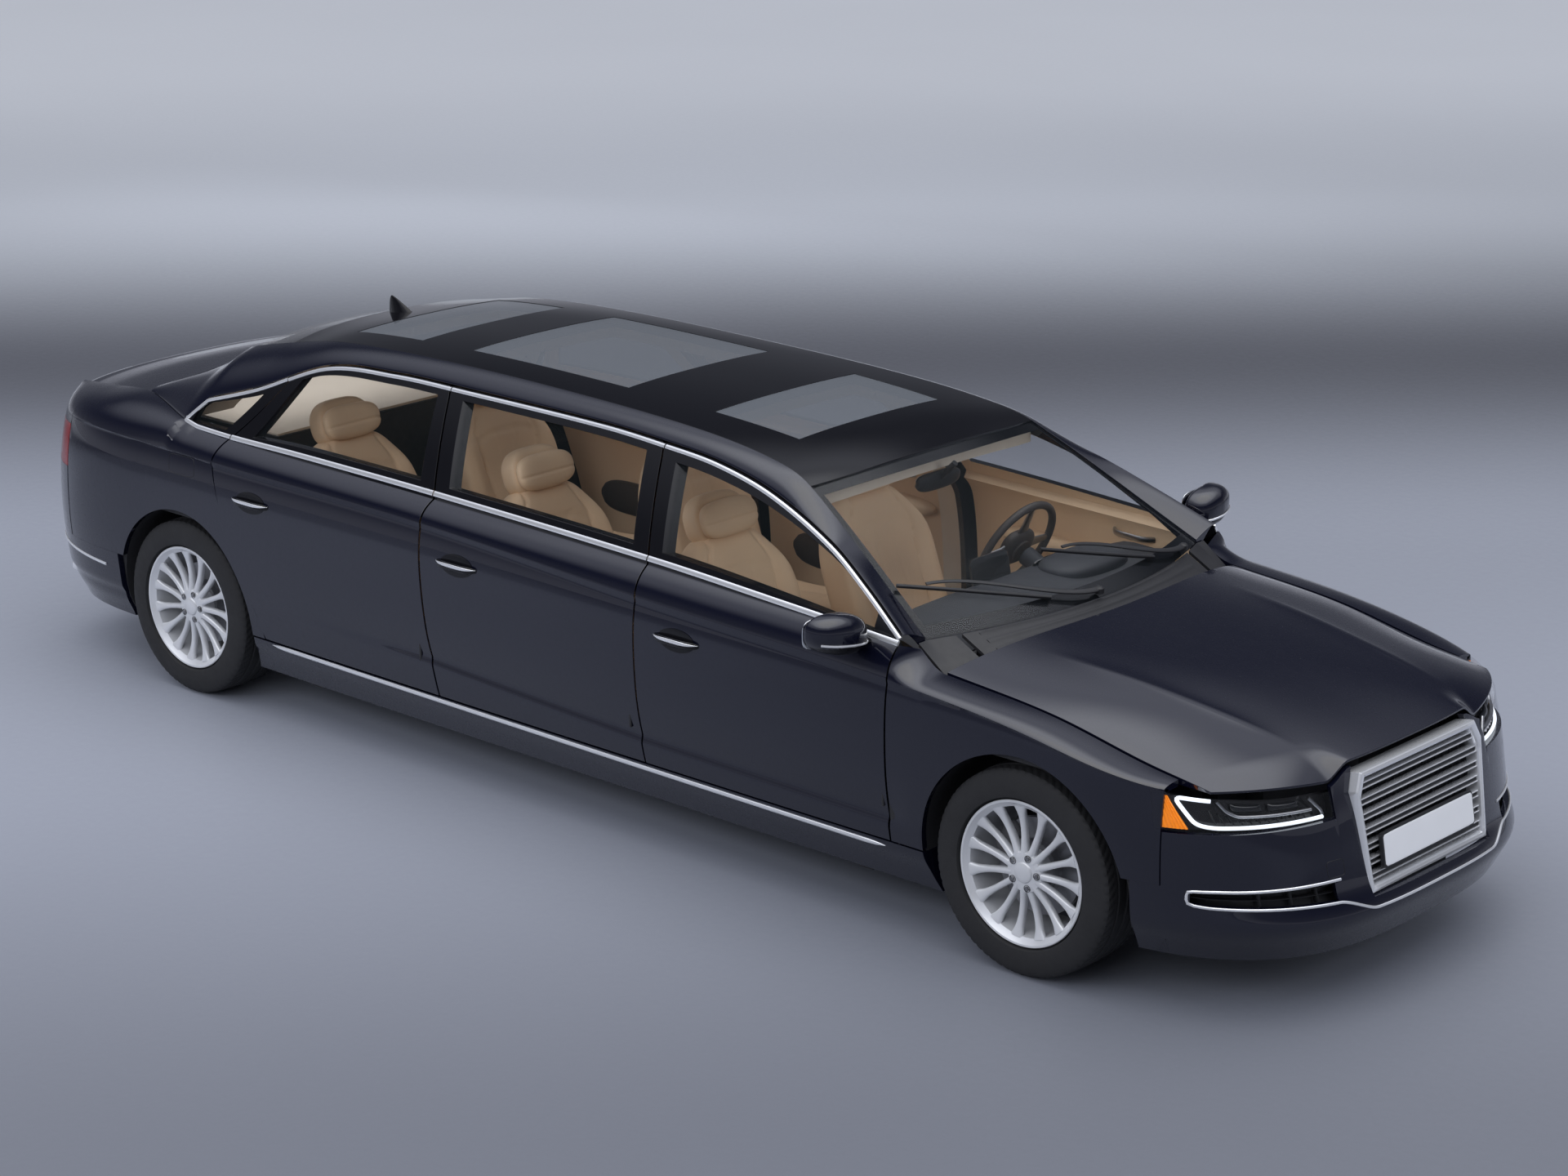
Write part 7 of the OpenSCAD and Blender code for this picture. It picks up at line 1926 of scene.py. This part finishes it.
def steering_parts():
    """Steering wheel: a round rim, a middle pad, three spokes that widen towards it, and a hub."""
    a = around(96)
    path = point(0.185 * np.cos(a), 0.185 * np.sin(a), 0 * a)
    parts = [sweep_parts(path, ring(0.0145, 0.0145, 20), (0, 0, 1), 0, closed=True)]
    parts.append(pad_at((0.072, 0.082, 0.026), 3.0, 20, 0, (0, 0, 0.002)))
    for turn in (90, 270, 0):
        t = steps(0.05, 0.180, 16)
        wide = np.interp(t, [0.05, 0.10, 0.180], [0.038, 0.020, 0.014])[:, None]
        o = ring(1, 1, 16, 2.6)[None]
        profile = np.concatenate([o[..., :1] * wide[..., None], o[..., 1:] * 0.007 + 0 * wide[..., None]], -1)
        spoke = sweep_parts(point(t, 0 * t, 0 * t), profile, (0, 0, 1), 1)
        parts.append(moved(spoke, turn, 2, 0))
    hub = revolve_parts([(0.0006, -0.030), (0.042, -0.030), (0.045, 0.0), (0.0006, 0.0)], (0, 0, 0), 40, 0)
    parts.append(moved(hub, 90, 0, 0))
    return moved(join_parts(parts), -steer_lean, 1, STEER_HUB)


def console_parts():
    """Centre console from the dash back between the seats: a crowned box with lids, a trim plate and a shift knob."""
    z0 = floor_z + 0.175
    x0, x1 = place_x(0.12) + 0.02, dash_x - 0.335
    x = steps(x0, x1, 60)
    high = np.interp(x, [x0, -1.0, -0.2, 0.4, 0.85, x1], [0.25, 0.255, 0.24, 0.255, 0.235, 0.255])
    o = ring(1, 1, 28, 5.0)
    profile = np.stack([np.broadcast_to(o[:, 0] * 0.093, (61, 28)), o[:, 1] * high[:, None] / 2], -1)
    parts = [sweep_parts(point(x, 0 * x, z0 + high / 2), profile, (0, 0, 1), 0)]
    for xa, xb in ((0.25, 0.62), (-0.80, -0.30), (-1.45, -1.0)):
        parts.append(pad_at(((xb - xa) / 2, 0.088, 0.028), 4.0, 20, 1, ((xa + xb) / 2, 0, z0 + 0.252)))
    x = steps(0.70, 1.02, 20)
    parts.append(sweep_parts(point(x, 0 * x, z0 + 0.243 + 0 * x), ring(0.075, 0.004, 20, 4), (0, 0, 1), 2))
    parts.append(pad_at((0.030, 0.026, 0.028), 2.6, 14, 0, (0.86, 0, z0 + 0.285)))
    return join_parts(parts)


def liner_parts():
    """Headliner: the roof's sheet with its three openings, set under the roof."""
    points, quads, kinds = roof_parts()
    return points - [0, 0, roof_t + 0.002], quads, kinds


def carpet_parts():
    """Carpet on the floor beside the tunnel, with a fine wave in it."""
    x, y = grid(steps(float(rear_x + arch_r) + 0.020, front_face - 0.036, 70), steps(0.102, 0.740, 24))
    wave = 0.0008 * np.sin(x * 90) * np.sin(y * 80)
    return shell_parts(point(x, y, floor_top + 0.005 + wave), point(x, y, floor_top + 0.0006 + 0 * x))


def shelf_parts():
    """Cloth-covered shelf behind the rear seats, falling a little towards its sides."""
    x, y = grid(steps(-2.49, -1.885, 30), steps(-0.555, 0.555, 40))
    z = 0.667 * body_h + 0.0146
    return shell_parts(point(x, y, z + 0.010 - 0.003 * np.abs(y / 0.555)**6), point(x, y, z + 0 * x))


def cabin_mirror_parts():
    """Inside mirror on a short stalk behind the windshield."""
    base = pane_point(*SCREEN_PANE, np.array(0.732), np.array(0.0), 0.012)
    at = base + [-0.075, 0, -0.075]
    parts = [pad_at((0.018, 0.115, 0.034), 3.0, 16, 0, at, 12)]
    parts.append(pad_at((0.003, 0.105, 0.027), 5.0, 8, 1, at + [-0.018, 0, 0.004], 12))
    t = steps(0, 1, 8)[:, None]
    parts.append(sweep_parts(mix(base, at, t), ring(0.011, 0.011, 12), (0, 1, 0), 0))
    return join_parts(parts)


for row, share in SEATS.items():
    one = seat_parts(place_x(share))
    pads = single(f"seat_pair_{row}", mirrored(one), [LEATHER, TRIM, CHROME], "leather", [f"{row}_seats"],
                  weld=WELD, sharp=60)
single("dash_board", dash_parts(), [DASH, SCREEN, SATIN, SATIN], "dash", ["dashboard"], weld=WELD)
single("steering_rim", steering_parts(), [LEATHER_DARK, SATIN], "dash", ["steering_wheel"], "steering_wheel",
       weld=WELD)
single("console", console_parts(), [DASH, LEATHER, SATIN], "dash", ["centre_console"], weld=WELD)
single("headliner", liner_parts(), [CREAM, CREAM], "leather")
both("floor_carpet", carpet_parts(), [CARPET, CARPET], "underbody")
single("rear_shelf", shelf_parts(), [CREAM, CREAM], "leather")
single("cabin_mirror", cabin_mirror_parts(), [TRIM, MIRROR], "trim_black", weld=WELD)


# Studio
# Floor bands along the camera's line of sight are painted studio light and shade: darker near the camera, a dark band
# behind the car, pale far behind it.
FLOOR_SPAN = (-4.0, 21.0)
FLOOR_LIGHT_AND_SHADE = [(0.016, (0.13, 0.138, 0.163)), (0.16, (0.26, 0.276, 0.325)), (0.27, (0.22, 0.234, 0.275)),
               (0.41, (0.055, 0.058, 0.070)), (0.60, (0.42, 0.44, 0.48)), (0.84, (0.55, 0.57, 0.61))]
FLOOR_WAY = (-0.684, 0.7295, 0)


def blend_stops(ramp_node, stops):
    """Sets the stops of a colour ramp, eased from one to the next."""
    ramp_node.color_ramp.interpolation = "EASE"
    for _ in stops[2:]:
        ramp_node.color_ramp.elements.new(0.5)
    for stop, (height, colour) in zip(ramp_node.color_ramp.elements, stops):
        stop.position = height
        stop.color = (*colour, 1)


def floor_finish():
    """Floor colour with painted studio light and shade: bands from near the front corner to far behind the car, a
    painted dark band behind it and painted light at the far end.
    """
    m = finish("studio_floor", FLOOR_LIGHT_AND_SHADE[1][1], (0.50, 0.60), tone=(0.4, 0.03))
    tree = m.node_tree
    spot = add(tree, "TexCoord")
    along = add(tree, "VectorMath", {1: FLOOR_WAY}, operation="DOT_PRODUCT")
    share = add(tree, "MapRange", {"From Min": FLOOR_SPAN[0], "From Max": FLOOR_SPAN[1]})
    bands = add(tree, "ValToRGB")
    blend_stops(bands, FLOOR_LIGHT_AND_SHADE)
    hue = next(n for n in tree.nodes if n.type == "GROUP" and n.node_tree == TONE)
    wire(tree, (spot, "Object", along, 0), (along, "Value", share, "Value"), (share, "Result", bands, "Fac"),
         (bands, "Color", hue, "Color"))
    return m


def studio_floor():
    """Wide floor: rings round the middle, just under the ground."""
    r, a = grid(np.r_[0, steps(2, 40, 38)], around(64))
    points, quads, _ = tube(point(r * np.cos(a), r * np.sin(a), -0.0005))
    floor = mesh_object("studio_floor", points, quads[:, ::-1], [floor_finish()])


def soft_box(name, at, aim, size, power):
    """Large soft lamp that looks at a point and doesn't show in glossy surfaces."""
    lamp_data = bpy.data.lights.new(name, "AREA")
    lamp_data.shape = "RECTANGLE"
    lamp_data.size, lamp_data.size_y = size
    lamp_data.energy = power
    lamp_data.color = (0.90, 0.93, 1.0)
    obj = bpy.data.objects.new(name, lamp_data)
    bpy.context.collection.objects.link(obj)
    obj.location = at
    obj.rotation_euler = (Vector(aim) - Vector(at)).to_track_quat("-Z", "Y").to_euler()
    obj.visible_glossy = False


studio_floor()
for lamp_at in (("near_side", (1.5, -9.0, 5.5), (0.3, 0, 0.5), (12.0, 3.0), 400),
                ("near_low", (-3.5, -8.5, 3.6), (-0.5, 0, 0.8), (26.0, 4.6), 400),
                ("far_low", (-3.5, 8.5, 2.7), (-0.5, 0, 0.5), (15.0, 2.6), 90),
                ("far_side", (0.0, 9.0, 5.5), (0.2, 0, 0.5), (12.0, 3.0), 220),
                ("nose_side", (9.5, 0.0, 4.0), (2.0, 0, 0.6), (4.0, 3.0), 190),
                ("tail_side", (-9.5, 0.0, 4.0), (-2, 0, 0.6), (4.0, 3.0), 190)):
    soft_box(*lamp_at)

SKY = [(0.0, (0.15, 0.155, 0.18)), (0.16, (0.055, 0.058, 0.070)), (0.45, (0.020, 0.022, 0.030)),
       (0.70, (0.25, 0.26, 0.30)), (0.86, (0.78, 0.80, 0.86)), (0.96, (1.0, 1.0, 1.0))]
world = bpy.data.worlds.new("studio")
bpy.context.scene.world = world
world.use_nodes = True
sky = world.node_tree
coords, split, ramp = add(sky, "TexCoord"), add(sky, "SeparateXYZ"), add(sky, "ValToRGB")
blend_stops(ramp, SKY)
wire(sky, (coords, "Generated", split, "Vector"), (split, "Z", ramp, "Fac"),
     (ramp, "Color", sky.nodes["Background"], "Color"))
sky.nodes["Background"].inputs["Strength"].default_value = 2.1

camera = bpy.data.objects.new("camera", bpy.data.cameras.new("camera"))
bpy.context.collection.objects.link(camera)
camera.location = (8.67106, -9.24673, 4.60077)
camera.rotation_euler = (radians(72.665), 0, radians(42.077))
camera.data.lens = 80.72
camera.data.sensor_width = 36
camera.data.sensor_fit = "HORIZONTAL"
bpy.context.scene.camera = camera
bpy.context.scene.view_settings.view_transform = "Standard"

bpy.context.view_layer.update()
